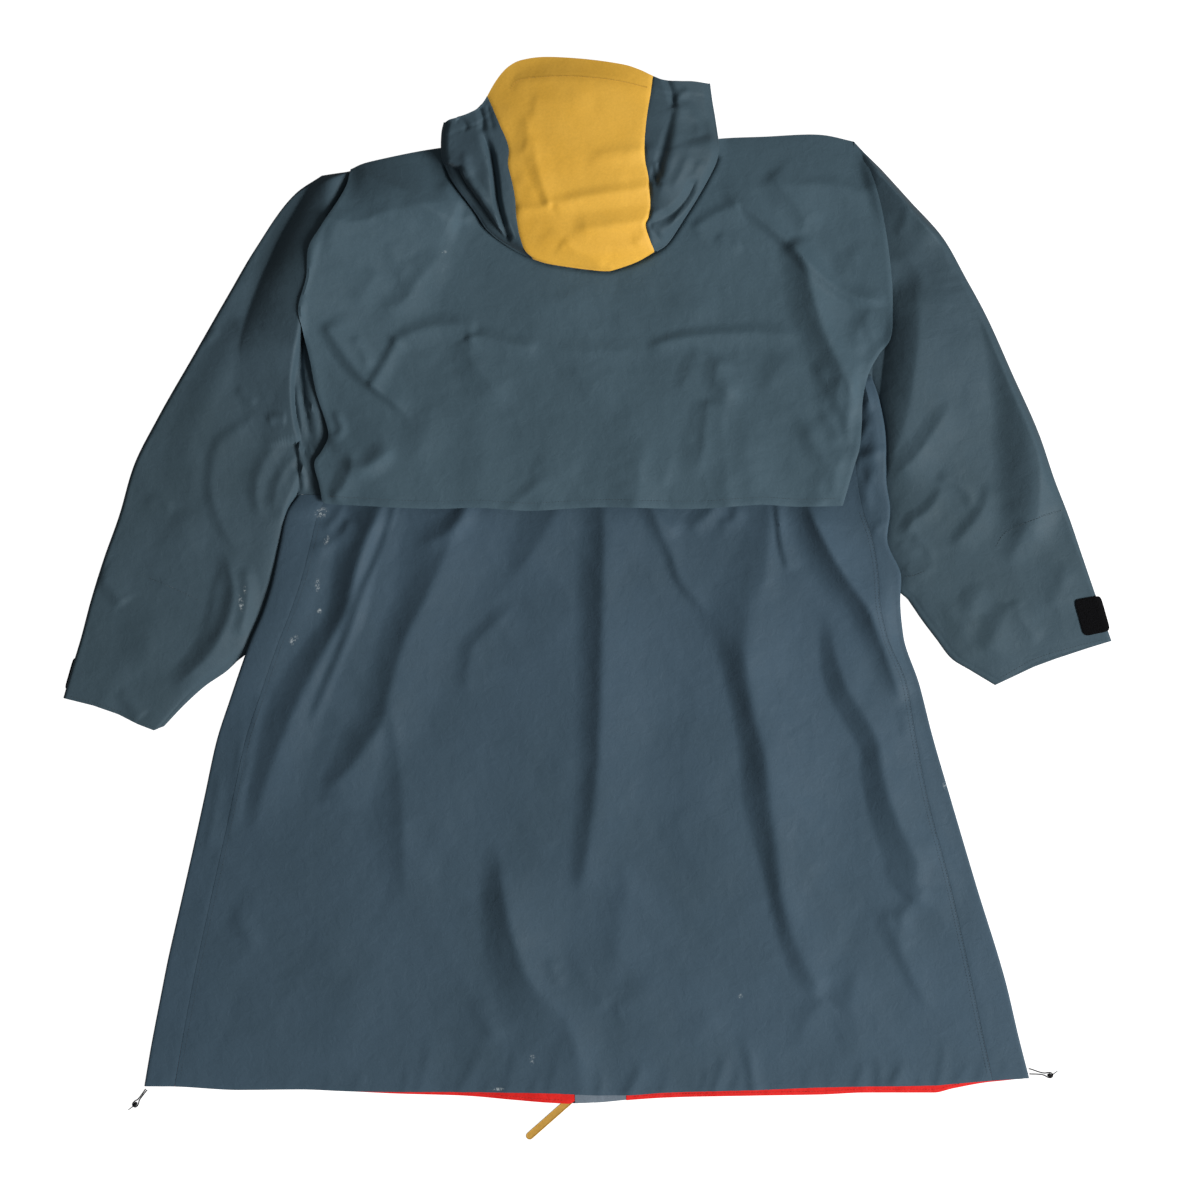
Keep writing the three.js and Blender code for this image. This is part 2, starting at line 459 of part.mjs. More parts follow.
// Fronts: each lies on the surface from the zip to the side, rounds the side fold and
// comes back over itself to the side seam. Above the armpit it ends at the armhole.
function front(side) {
  const left = side === 'left';
  const out = left ? -1 : 1;
  const folds = left ? SIDE_LEFT : SIDE_RIGHT;
  const armhole = (left ? ARMHOLE_LEFT : ARMHOLE_RIGHT).front;
  const topLine = left ? [...FRONT_TOP_LEFT].reverse() : FRONT_TOP_RIGHT;
  const zipEdge = ZIP_X + out * ZIP_HALF;
  const wide = Math.abs(folds[folds.length - 1].edge - zipEdge) - EDGE_ROUND - CLOTH / 2;
  const shares = [0, (LIFT_FLAT - ZIP_HALF) / wide, (LIFT_WIDE - ZIP_HALF) / wide, 0.38, 0.62, 1];
  const arc = [
    { across: 1, over: 1, up: 0 }, { across: 0.3, over: 1, up: 0.16 }, { across: 0, over: 0.5, up: 0.5 },
    { across: 0.3, over: 0, up: 0.86 }, { across: 1, over: 0, up: 1 },
  ];
  const flap = [0.5, 1];
  const flat = shares.length - 1;
  const columns = flat + arc.length - 1 + flap.length;
  const lower = [...folds].reverse();
  const rows = lower.length + armhole.length - 1;
  const hemD = (x) => look(HEM, 'x', 'front', x);
  const topD = armhole[0].d;
  const under = left ? UNDER_LEFT : UNDER_RIGHT;

  const outerPoint = (j) => {
    if (j >= lower.length) {
      const a = armhole[armhole.length - 1 - (j - lower.length)];
      return { x: a.x, d: a.d };
    }
    const row = lower[j];
    const over = OVERHANG * sleeveUnder(under, row.d);
    return { x: row.edge - out * (EDGE_ROUND + over + CLOTH / 2), d: row.d };
  };
  const at = (i, j) => {
    const o = outerPoint(j);
    if (i <= flat) {
      const v = clamp((folds[folds.length - 1].d - o.d) / (folds[folds.length - 1].d - topD), 0, 1);
      const share = shares[i];
      const low = { x: lerp(zipEdge, outerPoint(0).x, share) };
      low.d = hemD(low.x);
      const high = along(topLine, share);
      const inner = { x: zipEdge, d: lerp(hemD(zipEdge), topLine[0].d, v) };
      const x = lerp(inner.x, o.x, share) + v * v * v * (high.x - lerp(zipEdge, armhole[0].x, share));
      const d = lerp(inner.d, o.d, share)
        + (1 - v) * (low.d - lerp(hemD(zipEdge), outerPoint(0).d, share))
        + v * v * v * (high.d - lerp(topLine[0].d, topD, share));
      return place(x, d, CLOTH / 2 + zipLift(x, d));
    }
    const row = lower[Math.min(j, lower.length - 1)];
    const over = OVERHANG * sleeveUnder(under, row.d);
    const rim = row.edge - out * (CLOTH / 2);
    const topX = rim - out * EDGE_ROUND;
    const topZ = backHeight(topX, row.d);
    if (i < flat + arc.length) {
      const p = arc[i - flat];
      return place(rim - out * (p.across * EDGE_ROUND + p.over * over), row.d, lerp(CLOTH / 2, topZ, p.up));
    }
    const share = flap[i - flat - arc.length];
    const x = lerp(topX, row.seam + out * GAP / 2, share);
    return place(x, row.d, backHeight(x, row.d));
  };
  return {
    panel: sheet(columns, rows, at, CLOTH, (i, j) => i < flat || j < lower.length - 1),
    at, flat,
  };
}
const fronts = { left: front('left'), right: front('right') };
add('front_left', fronts.left.panel, COLOUR.slate);
add('front_right', fronts.right.panel, COLOUR.slate);

// Back: between the side seams and the armholes, from the hem to the shoulders.
{
  const leftLine = [
    ...[...SIDE_LEFT].reverse().map((r) => ({ x: r.seam + GAP / 2, d: r.d })),
    ...[...ARMHOLE_LEFT.back].reverse(),
  ];
  const rightLine = [
    ...[...SIDE_RIGHT].reverse().map((r) => ({ x: r.seam - GAP / 2, d: r.d })),
    ...[...ARMHOLE_RIGHT.back].reverse(),
  ];
  // each row joins a corner of the left line to the same corner of the right line
  const columns = 28;
  const rows = leftLine.length - 1;
  const topLeft = leftLine[rows];
  const topRight = rightLine[rows];
  const at = (i, j) => {
    const u = i / columns;
    const a = leftLine[j];
    const b = rightLine[j];
    const v = lerp(
      (leftLine[0].d - a.d) / (leftLine[0].d - topLeft.d),
      (rightLine[0].d - b.d) / (rightLine[0].d - topRight.d),
      u,
    );
    const x = lerp(a.x, b.x, u);
    const hem = look(HEM, 'x', 'back', lerp(leftLine[0].x, rightLine[0].x, u));
    const top = along(BACK_TOP, u);
    const hemShift = hem - lerp(leftLine[0].d, rightLine[0].d, u);
    const topShift = top.d - lerp(topLeft.d, topRight.d, u);
    const d = lerp(a.d, b.d, u) + hemShift * (1 - v) + topShift * v ** 6;
    return place(x, d, backHeight(x, d));
  };
  add('back', sheet(columns, rows, at), COLOUR.slate);
}

// Cape: a loose yoke from the shoulders to its own hem, over the armholes.
{
  const columns = 26;
  const rows = CAPE_LEFT.length - 1;
  const at = (i, j) => {
    const u = i / columns;
    const v = j / rows;
    const a = CAPE_LEFT[rows - j];
    const b = CAPE_RIGHT[rows - j];
    const hem = along(CAPE_HEM, u);
    const top = along(CAPE_TOP, u);
    const x = lerp(a.x, b.x, u)
      + (1 - v) * (hem.x - lerp(CAPE_LEFT[rows].x, CAPE_RIGHT[rows].x, u))
      + v * (top.x - lerp(CAPE_LEFT[0].x, CAPE_RIGHT[0].x, u));
    const d = lerp(a.d, b.d, u)
      + (1 - v) * (hem.d - lerp(CAPE_LEFT[rows].d, CAPE_RIGHT[rows].d, u))
      + v ** 4 * (top.d - lerp(CAPE_LEFT[0].d, CAPE_RIGHT[0].d, u));
    const shoulder = d - top.d;
    const neck = 1 - ease(130, 110, Math.abs(x - 580));
    const drop = (1 - Math.sqrt(clamp(shoulder / 16, 0, 1))) * neck;
    return place(x, d, lerp(capeHeight(x, d), 1.6, drop * 0.9));
  };
  add('cape', sheet(columns, rows, at), COLOUR.slate);
}

// Sleeves: flattened tubes, open at the armhole and at the cuff.
function sleeveRings(side) {
  const left = side === 'left';
  const table = left ? SLEEVE_LEFT : SLEEVE_RIGHT;
  const armhole = left ? ARMHOLE_LEFT : ARMHOLE_RIGHT;
  const out = left ? -1 : 1;
  const folds = left ? SIDE_LEFT : SIDE_RIGHT;
  const under = left ? UNDER_LEFT : UNDER_RIGHT;
  const pit = folds[0];
  const inEdge = pit.edge - out * (EDGE_ROUND + CLOTH / 2);
  const upperLine = [
    ...armhole.back.map((p) => ({ x: p.x + out * GAP, d: p.d })),
    { x: pit.seam + out * GAP, d: pit.d - GAP },
    { x: pit.edge + out * GAP, d: pit.d - GAP },
  ];
  const lowerLine = [
    ...armhole.front.map((p) => ({ x: p.x + out * GAP, d: p.d })),
    { x: inEdge + out * GAP, d: pit.d - GAP },
  ];
  // the underside of the left cuff rides over its tab
  const tabLift = (k, a) => (left && k >= 10 ? (TAB_THICK + GAP) * (1 - ease(0.33, 0.55, a)) : 0);
  const rings = [];
  for (let k = 0; k <= table.length; k += 1) {
    const first = k === 0;
    const row = table[Math.max(0, k - 1)];
    const span = Math.hypot(row.inX - row.outX, row.inD - row.outD);
    // the inner fold slips a little under the side fold where that lies over it
    const tucked = sleeveUnder(under, row.inD);
    const inX = row.inD < under.gone && tucked > 0
      ? look(folds, 'd', 'edge', row.inD) - out * lerp(-1.1, SLEEVE_TIP, ramp(0.4, 1, tucked)) : row.inX;
    const at = (a, layer, n) => {
      if (!first) return { x: lerp(row.outX, inX, a), d: lerp(row.outD, row.inD, a) };
      if (layer > 0) return upperLine[n];
      if (layer < 0) return lowerLine[lowerLine.length - 1 - n];
      return a < 0.5 ? { x: armhole.front[0].x + out * 2 * GAP, d: armhole.front[0].d + 1 }
        : { x: pit.edge + out * 2 * GAP, d: pit.d - 2 * GAP };
    };
    const upper = (a) => {
      if (first) return BACK_HEIGHT;
      const bump = a < row.peak
        ? Math.sin((a / row.peak) * Math.PI / 2) ** 0.8
        : Math.sin(((1 - a) / (1 - row.peak)) * Math.PI / 2) ** 0.8;
      return CLOTH * 1.5 + 0.5 + (row.high - 2.3) * bump;
    };
    const outer = [];
    const inner = [];
    const wall = CLOTH / (first ? 60 : span);
    const push = (a, aIn, layer, z, zIn, n = 0) => {
      const raise = tabLift(k, a);
      const p = at(a, layer, n);
      const q = at(aIn, layer, n);
      const drawn = first && layer === 0 ? (a < 0.5 ? CLOTH : -out * CLOTH) : 0;
      outer.push(place(p.x, p.d, z + raise));
      inner.push(first && a < 0.5 && layer === 0 ? place(q.x, q.d + drawn, zIn + raise)
        : place(q.x + drawn, q.d, zIn + raise));
    };
    const mid = (z) => z * 0.5;
    const zOut = upper(0.03) + CLOTH / 2;
    push(0, Math.min(0.02, wall), 0, mid(zOut), mid(zOut));
    SLEEVE_UPPER.forEach((a, n) => {
      const z = upper(a);
      const aIn = clamp(a, 0.03 + wall * 0.6, 0.97 - wall * 0.6);
      push(a, aIn, 1, z + CLOTH / 2, z - CLOTH / 2, n);
    });
    const zIn = upper(0.97) + CLOTH / 2;
    push(1, 1 - Math.min(0.02, wall), 0, mid(zIn), mid(zIn));
    SLEEVE_LOWER.forEach((a, n) => {
      const aIn = clamp(a, 0.03 + wall * 0.6, 0.97 - wall * 0.6);
      push(a, aIn, -1, 0, CLOTH, n);
    });
    rings.push({ outer, inner });
  }
  return rings;
}
for (const side of ['left', 'right']) {
  const rings = sleeveRings(side);
  add(`sleeve_${side}`, tube(rings.map((r) => r.outer), rings.map((r) => r.inner)), COLOUR.slate);
}

// Hood: three panels, each one sheet from the brim over the crown fold to the neck.
const hoodTop = (x, d) => {
  const share = clamp((x - 487) / 166, 0, 1);
  const crown = Math.sin(Math.PI * share) * 5 * ease(60, 110, d) * (1 - ease(215, 268, d));
  return crown + foldHeight(HOOD_FOLDS, x, d);
};
{
  const columns = 8;
  const upperRows = HOOD_LEFT.length - 1;
  const round = [0.18, 0.5, 0.82];
  const rows = upperRows + round.length + HOOD_LEFT.length;
  const at = (i, j) => {
    const u = i / columns;
    const crown = along(HOOD_CROWN, u);
    crown.x += lerp(GAP / 2, -GAP / 2, u);
    const crownIn = { x: crown.x, d: crown.d - 5.5 };
    const zTop = 21 + 3 * Math.sin(Math.PI * u);
    if (j <= upperRows) {
      const v = j / upperRows;
      const a = HOOD_LEFT[j];
      const b = HOOD_RIGHT[j];
      const g = GAP / 2;
      const brim = along(HOOD_BRIM, u, ['x', 'd', 'z']);
      const s0 = { x: lerp(a.seamX + g, b.seamX - g, u), d: lerp(a.seamD, b.seamD, u), z: lerp(a.seamZ, b.seamZ, u) };
      const t0 = lerp(HOOD_LEFT[0].seamX, HOOD_RIGHT[0].seamX, u);
      const t1 = lerp(HOOD_LEFT[0].seamD, HOOD_RIGHT[0].seamD, u);
      const t2 = lerp(HOOD_LEFT[0].seamZ, HOOD_RIGHT[0].seamZ, u);
      const e = HOOD_LEFT.length - 1;
      const c0 = lerp(HOOD_LEFT[e].seamX, HOOD_RIGHT[e].seamX, u);
      const c1 = lerp(HOOD_LEFT[e].seamD, HOOD_RIGHT[e].seamD, u);
      const c2 = lerp(HOOD_LEFT[e].seamZ, HOOD_RIGHT[e].seamZ, u);
      const x = s0.x + (1 - v) * (brim.x - t0) + v * (crownIn.x - c0);
      const d = s0.d + (1 - v) * (brim.d - t1)
        + v * (crownIn.d + 1.5 - c1) * Math.min(1, 2 * Math.sin(Math.PI * u));
      const z = s0.z + (1 - v) * (brim.z - t2) + v * (zTop - c2) * Math.sin(Math.PI * u) ** 0.5;
      const inner = Math.sin(Math.PI * u);
      return place(x, d, z + hoodTop(x, d) * (u > 0 && u < 1 ? inner : 0));
    }
    const seamTop = lerp(HOOD_LEFT[upperRows].seamZ, HOOD_RIGHT[upperRows].seamZ, u);
    const z1 = lerp(seamTop, zTop, Math.sin(Math.PI * u) ** 0.5);
    const r = j - upperRows - 1;
    if (r < round.length) {
      const angle = Math.PI * (0.5 - round[r]);
      const fold = 4.2;
      return place(crown.x, crown.d - 4.5 + fold * Math.cos(angle), lerp(HOOD_UNDER, z1, 0.5 + 0.5 * Math.sin(angle)));
    }
    const e = HOOD_LEFT.length - 1;
    const n = e - (r - round.length);
    const a = HOOD_LEFT[n];
    const b = HOOD_RIGHT[n];
    const s = 1 - n / e;
    const crownD = lerp(HOOD_LEFT[e].underD, HOOD_RIGHT[e].underD, u);
    const neck = 8 * Math.sin(Math.PI * u) * s;
    const x = lerp(a.underX + GAP / 2, b.underX - GAP / 2, u);
    return place(x, lerp(a.underD, b.underD, u) + (1 - s) * (crownIn.d - crownD) * Math.sin(Math.PI * u) ** 0.5 + neck, HOOD_UNDER);
  };
  add('hood_centre', sheet(columns, rows, at), COLOUR.mustard, 0.7);
}
function hoodSide(side) {
  const left = side === 'left';
  const table = left ? HOOD_LEFT : HOOD_RIGHT;
  const out = left ? -1 : 1;
  // across the upper layer, round the outer fold and back along the lower layer
  const upper = [0, 0.22, 0.45, 0.68, 0.88];
  const under = [0.88, 0.55, 0.25, 0];
  const columns = upper.length + under.length;
  const at = (i, j) => {
    const row = table[j];
    const g = GAP / 2;
    if (i < upper.length) {
      const c = upper[i];
      const x = lerp(row.seamX + out * g, row.outX, c);
      const d = lerp(row.seamD, row.outD, c);
      const puff = 4 * Math.sin(Math.PI * c);
      return place(x, d, lerp(row.seamZ, row.outZ + 4, c ** 1.3) + puff * (1 - j / (table.length - 1)));
    }
    if (i === upper.length) return place(row.outX - out * CLOTH / 2, row.outD, row.outZ);
    const c = under[i - upper.length - 1];
    const x = lerp(row.underX + out * g, row.outX, c);
    const d = lerp(row.underD, row.outD, c);
    const z = lerp(HOOD_UNDER, Math.min(HOOD_UNDER, row.outZ - 2.4), c);
    return place(x, d, z);
  };
  return sheet(columns, table.length - 1, at);
}
add('hood_left', hoodSide('left'), COLOUR.slate);
add('hood_right', hoodSide('right'), COLOUR.slate);

// Neck stand: a flattened ring under the hood.
{
  const shares = [0.04, 0.2, 0.4, 0.6, 0.8, 0.96];
  const neckline = [...FRONT_TOP_LEFT, ...FRONT_TOP_RIGHT];
  const outer = [];
  const inner = [];
  for (const row of COLLAR) {
    const ring = [];
    const hole = [];
    const top = row.high + CLOTH / 2;
    const sideD = (x) => Math.min(look(neckline, 'x', 'd', x), look(BACK_TOP, 'x', 'd', x)) - row.front;
    const point = (x, line, z) => place(x, look(line, 'x', 'd', x) - row.front, z);
    const tuck = (x) => clamp(x, row.left + CLOTH + 2, row.right - CLOTH - 2);
    ring.push(place(row.left, sideD(row.left), top / 2));
    hole.push(place(row.left + CLOTH, sideD(row.left), top / 2));
    for (const a of shares) {
      const x = lerp(row.left, row.right, a);
      ring.push(point(x, BACK_TOP, top));
      hole.push(point(tuck(x), BACK_TOP, top - CLOTH));
    }
    ring.push(place(row.right, sideD(row.right), top / 2));
    hole.push(place(row.right - CLOTH, sideD(row.right), top / 2));
    for (const a of [...shares].reverse()) {
      const x = lerp(row.left, row.right, a);
      ring.push(point(x, neckline, 0));
      hole.push(point(tuck(x), neckline, CLOTH));
    }
    outer.push(ring);
    inner.push(hole);
  }
  add('collar', tube(outer, inner), COLOUR.slateDark);
}

// Red inner facings along the fronts' hems, made from the fronts' own points.
function facing(side) {
  const { at, flat } = fronts[side];
  const raise = CLOTH / 2 + GAP + THIN / 2;
  const inner = side === 'left' ? 574.85 : 626.15;
  const grid = (i, j) => {
    const p = at(i, j);
    if (i === 0) {
      const q = at(1, j);
      const t = (inner - TABLE_X - p.x) / (q.x - p.x);
      p.lerp(q, t);
    }
    return p.add(new THREE.Vector3(0, 0, raise));
  };
  return sheet(flat, 1, grid, THIN);
}
add('hem_facing_left', facing('left'), COLOUR.red);
add('hem_facing_right', facing('right'), COLOUR.red);

// Grey inner flap behind the zip, from the hem to the neck.
{
  const levels = [LIFT_FULL + 40, LIFT_FULL, LIFT_START, 700, 400, 206];
  const lines = [575.15, 586, 600, 612, 625.85];
  const at = (i, j) => {
    const x = lines[i];
    const d = j === 0 ? Math.min(look(HEM, 'x', 'front', x), levels[0] + 0.5) : levels[j];
    return place(x, d, CLOTH + GAP + THIN / 2 + zipLift(x, d));
  };
  add('zip_flap', sheet(lines.length - 1, levels.length - 1, at, THIN), COLOUR.grey);
}

// Zip: two tapes and the closed chain between the fronts.
function strip(x0, x1, d0, d1, z0, z1) {
  const box = new THREE.BoxGeometry(x1 - x0, d1 - d0, z1 - z0);
  const middle = place((x0 + x1) / 2, (d0 + d1) / 2, (z0 + z1) / 2);
  box.translate(middle.x, middle.y, middle.z);
  return box;
}
const ZIP_TOP = 200;
add('zip_tape_left', strip(ZIP_X - ZIP_HALF + GAP, ZIP_X - 2.9, ZIP_TOP, ZIP_STOP, 0.1, 0.1 + THIN), COLOUR.black);
add('zip_tape_right', strip(ZIP_X + 2.9, ZIP_X + ZIP_HALF - GAP, ZIP_TOP, ZIP_STOP, 0.1, 0.1 + THIN), COLOUR.black);
add('zip_chain', strip(ZIP_X - 2.6, ZIP_X + 2.6, ZIP_TOP, ZIP_STOP, 0.0, CLOTH), COLOUR.black, 0.5);

// Slider and puller. The puller's eye turns on the slider's post.
const wasm = await Module();
wasm.setup();
function toManifold(geometry) {
  const source = geometry.index ? geometry.toNonIndexed() : geometry;
  const position = source.getAttribute('position');
  const seen = new Map();
  const vertices = [];
  const triangles = [];
  for (let n = 0; n < position.count; n += 1) {
    const p = [position.getX(n), position.getY(n), position.getZ(n)];
    const key = p.map((c) => c.toFixed(5)).join();
    if (!seen.has(key)) {
      seen.set(key, vertices.length / 3);
      vertices.push(...p);
    }
    triangles.push(seen.get(key));
  }
  return new wasm.Manifold(new wasm.Mesh({
    numProp: 3, vertProperties: new Float32Array(vertices), triVerts: new Uint32Array(triangles),
  }));
}
function fromManifold(body) {
  const mesh = body.getMesh();
  const geometry = new THREE.BufferGeometry();
  geometry.setAttribute('position', new THREE.BufferAttribute(new Float32Array(mesh.vertProperties), 3));
  geometry.setIndex([...mesh.triVerts]);
  geometry.computeVertexNormals();
  return geometry;
}
// An upright prism over a rounded bar from (x0, 0) to (x1, 0), half wide, z0 to z1.
function bar(x0, x1, half, z0, z1, hole = 0) {
  const shape = new THREE.Shape();
  shape.absarc(x1 - half, 0, half, -Math.PI / 2, Math.PI / 2, false);
  shape.absarc(x0 + half, 0, half, Math.PI / 2, Math.PI * 1.5, false);
  if (hole > 0) {
    const ring = new THREE.Path();
    ring.absarc(0, 0, hole, 0, Math.PI * 2, true);
    shape.holes.push(ring);
  }
  const geometry = new THREE.ExtrudeGeometry(shape, { depth: z1 - z0, bevelEnabled: false, curveSegments: 7 });
  geometry.translate(0, 0, z0);
  return geometry;
}
{
  const pivot = place(ZIP_X, PIVOT_D, 0);
  // local +x runs from the slider towards the hem
  const body = toManifold(bar(-18.5, -5.4, 4.6, 0.2, 3.5));
  const arm = toManifold(bar(-12, 3.4, 3.2, 2.5, 3.5));
  const post = toManifold(bar(-1.3, 1.3, 1.3, 0.1, 3.0));
  const head = toManifold(bar(-2.6, 2.6, 2.6, 0.0, 0.35));
  const slider = fromManifold(body.add(arm).add(post).add(head));
  slider.rotateZ(-Math.PI / 2);
  slider.translate(pivot.x, pivot.y, 0);
  add('zip_slider', slider, COLOUR.metal, 0.4, 0.8);

  const eye = toManifold(bar(-3.7, 3.7, 3.7, 0.65, PULLER_THICK, 1.65));
  const neck = toManifold(bar(2.2, 20, 1.7, 0.65, PULLER_THICK));
  const grip = toManifold(bar(16, PULLER_LENGTH + PULLER_WIDTH / 2, PULLER_WIDTH / 2, 0.05, PULLER_THICK));
  const puller = add('zip_puller', fromManifold(eye.add(neck).add(grip)), COLOUR.puller, 0.55);
  puller.position.set(pivot.x, pivot.y, 0);
  puller.rotation.z = THREE.MathUtils.degToRad(PULLER_TURN);
}

// Cuff tabs. The right one lies on the upper face of its cuff; the left one is sewn
// to the lower face of its cuff and stands out a little past the outer fold.
function sleeveTop(side, k, a) {
  // (x, d, z) on the upper layer of section k (a fraction may be given), at share a
  const table = side === 'left' ? SLEEVE_LEFT : SLEEVE_RIGHT;
  const n = Math.min(table.length - 2, Math.floor(k));
  const t = k - n;
  const at = (row) => {
    const bump = a < row.peak
      ? Math.sin((Math.max(a, 0) / row.peak) * Math.PI / 2) ** 0.8
      : Math.sin(((1 - a) / (1 - row.peak)) * Math.PI / 2) ** 0.8;
    return {
      x: lerp(row.outX, row.inX, a), d: lerp(row.outD, row.inD, a),
      z: CLOTH * 2 + 0.5 + (row.high - 2.3) * bump,
    };
  };
  const p = at(table[n]);
  const q = at(table[n + 1]);
  return { x: lerp(p.x, q.x, t), d: lerp(p.d, q.d, t), z: lerp(p.z, q.z, t) };
}
{
  const ks = [9.98, 10.45, 10.95, 11.55];
  const shares = [0.035, 0.10, 0.17, 0.235];
  const at = (i, j) => {
    const p = sleeveTop('right', ks[j], shares[i]);
    return place(p.x, p.d, p.z + 0.75 + TAB_THICK / 2);
  };
  add('cuff_tab_right', sheet(3, 3, at, TAB_THICK), COLOUR.black, 0.95);

  const rows = [{ d: 657, edge: 73.6 }, { d: 669, edge: 70.2 }, { d: 680, edge: 66.6 }, { d: 689, edge: 64.3 }];
  const left = (i, j) => {
    const row = rows[j];
    return place(row.edge + 9 * i, row.d + 2.2 * i, TAB_THICK / 2);
  };
  add('cuff_tab_left', sheet(3, 3, left, TAB_THICK), COLOUR.black, 0.95);
}

// Drawcord ends at the two hem corners: a loop of cord that leaves the hem, goes round
// its knot and comes back. Its points are given along and across its direction.
function cordLoop(points) {
  const curve = new THREE.CatmullRomCurve3(points.map((p) => place(p.x, p.d, p.z)), false, 'centripetal');
  const section = new THREE.Shape();
  section.absarc(0, 0, CORD / 2, 0, Math.PI * 2, false);
  return new THREE.ExtrudeGeometry(section, { steps: 40, curveSegments: 3, bevelEnabled: false, extrudePath: curve });
}
const LOOP_LEFT = {
  x: 146.5, d: 1089.3, toX: -0.600, toD: 0.800, knot: 18.4,
  rows: [
    [0, -0.9, 1.5], [3, -0.9, 1.0], [6.5, -0.9, 0.7], [10, -0.9, 0.65], [13, -1.05, 0.65],
    [15.1, -1.75, 0.65], [17.1, -2.4, 0.65], [19, -2.55, 0.65], [20.7, -1.9, 0.65], [21.5, 0, 0.65],
    [20.7, 1.9, 0.65], [19, 2.55, 0.65], [17.1, 2.4, 0.65], [15.1, 1.75, 0.65], [13, 1.05, 0.65],
    [10, 0.9, 0.65], [6.5, 0.9, 0.7], [3, 0.9, 1.0], [0, 0.9, 1.5],
  ],
};
const LOOP_RIGHT = {
  x: 1028.2, d: 1071.0, toX: 0.982, toD: 0.187, knot: 21.8,
  rows: [
    [0, -2.6, 1.9], [3.4, -2.3, 1.2], [7, -1.7, 0.75], [10.5, -1.2, 0.65], [14, -0.95, 0.65],
    [16.6, -1.15, 0.65], [18.6, -1.8, 0.65], [20.5, -2.4, 0.65], [22.4, -2.55, 0.65],
    [24.1, -1.9, 0.65], [24.9, 0, 0.65], [24.1, 1.9, 0.65], [22.4, 2.55, 0.65], [20.5, 2.4, 0.65],
    [18.6, 1.8, 0.65], [16.6, 1.15, 0.65], [14, 0.95, 0.65], [10.5, 1.2, 0.65], [7, 1.7, 0.75],
    [4.2, 2.2, 1.1], [1.6, 2.5, 1.7],
  ],
};
const loopPoint = (loop, t, s) => ({
  x: loop.x + t * loop.toX - s * loop.toD * Math.sign(loop.toX),
  d: loop.d + t * loop.toD + s * Math.abs(loop.toX),
});
const loopPoints = (loop) => loop.rows.map(([t, s, z]) => ({ ...loopPoint(loop, t, s), z }));
add('hem_cord_left', cordLoop(loopPoints(LOOP_LEFT)), COLOUR.cord, 0.9);
add('hem_cord_right', cordLoop(loopPoints(LOOP_RIGHT)), COLOUR.cord, 0.9);
// A knot lies in the eye of its loop.
function knot(loop) {
  const body = new THREE.SphereGeometry(1, 10, 6);
  body.scale(2.15, 1.6, 1.6);
  body.rotateZ(Math.atan2(-loop.toD, loop.toX));
  const p = loopPoint(loop, loop.knot, 0);
  const at = place(p.x, p.d, 1.75);
  body.translate(at.x, at.y, at.z);
  return fromManifold(toManifold(body));
}
add('hem_knot_left', knot(LOOP_LEFT), COLOUR.cord, 0.9);
add('hem_knot_right', knot(LOOP_RIGHT), COLOUR.cord, 0.9);

export default jacket;
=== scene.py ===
"""Long hooded shell jacket, laid on its front with its back up.

Table coordinates: x runs to the right and d runs from the hood to the hem, both in
millimetres. The frame's own coordinates are metres, +Z up.
"""
import math

import bpy
import numpy as np
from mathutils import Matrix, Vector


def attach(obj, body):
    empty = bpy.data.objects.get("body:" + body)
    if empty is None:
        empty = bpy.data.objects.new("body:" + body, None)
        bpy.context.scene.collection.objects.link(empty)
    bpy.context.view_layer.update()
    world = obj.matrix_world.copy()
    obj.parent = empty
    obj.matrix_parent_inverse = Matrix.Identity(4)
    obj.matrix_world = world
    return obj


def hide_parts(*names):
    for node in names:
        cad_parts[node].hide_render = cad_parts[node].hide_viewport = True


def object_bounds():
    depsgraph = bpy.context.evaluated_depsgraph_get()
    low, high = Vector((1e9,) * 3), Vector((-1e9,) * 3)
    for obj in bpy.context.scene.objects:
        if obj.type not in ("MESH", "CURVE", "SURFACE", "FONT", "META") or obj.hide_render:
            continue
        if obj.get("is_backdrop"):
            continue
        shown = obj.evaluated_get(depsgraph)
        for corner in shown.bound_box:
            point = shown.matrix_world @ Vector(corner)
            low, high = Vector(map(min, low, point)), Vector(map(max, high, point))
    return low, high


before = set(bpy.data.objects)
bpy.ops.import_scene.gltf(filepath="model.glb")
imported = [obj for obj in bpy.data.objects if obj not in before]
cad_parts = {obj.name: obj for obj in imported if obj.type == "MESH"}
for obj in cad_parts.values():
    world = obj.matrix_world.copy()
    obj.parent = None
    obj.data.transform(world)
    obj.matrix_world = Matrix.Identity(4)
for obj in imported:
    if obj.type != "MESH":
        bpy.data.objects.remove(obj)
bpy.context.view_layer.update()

TX, TD = 587.50, 598.43
CLOTH = 0.9
GAP = 0.3
EDGE_ROUND = 4.0
OVERHANG = 5.2
SLEEVE_TIP = 3.4
ZIP_X, ZIP_HALF = 586.0, 8.3
PULL_LIFT = 2.7
CORD = 1.2
PIVOT_D, PULLER_TURN, PULLER_LENGTH = 1086.0, 221.4, 75.0

# ------------------------------------------------------------------ camera, light
camera = bpy.data.cameras.new("camera")
camera.type = "PERSP"
camera.sensor_width = 36.0
camera.lens = 150.0
camera.clip_end = 100.0
eye = bpy.data.objects.new("camera", camera)
eye.location = ((600.0 - TX) / 1000.0, (TD - 600.0) / 1000.0, 5.0)
bpy.context.scene.collection.objects.link(eye)
bpy.context.scene.camera = eye
bpy.context.scene.view_settings.view_transform = "Standard"


# ------------------------------------------------------------------ small maths
def frame_points(x, d, z):
    x, d, z = np.broadcast_arrays(np.asarray(x, float), np.asarray(d, float), np.asarray(z, float))
    return np.stack([(x - TX) / 1000.0, (TD - d) / 1000.0, z / 1000.0], axis=-1)


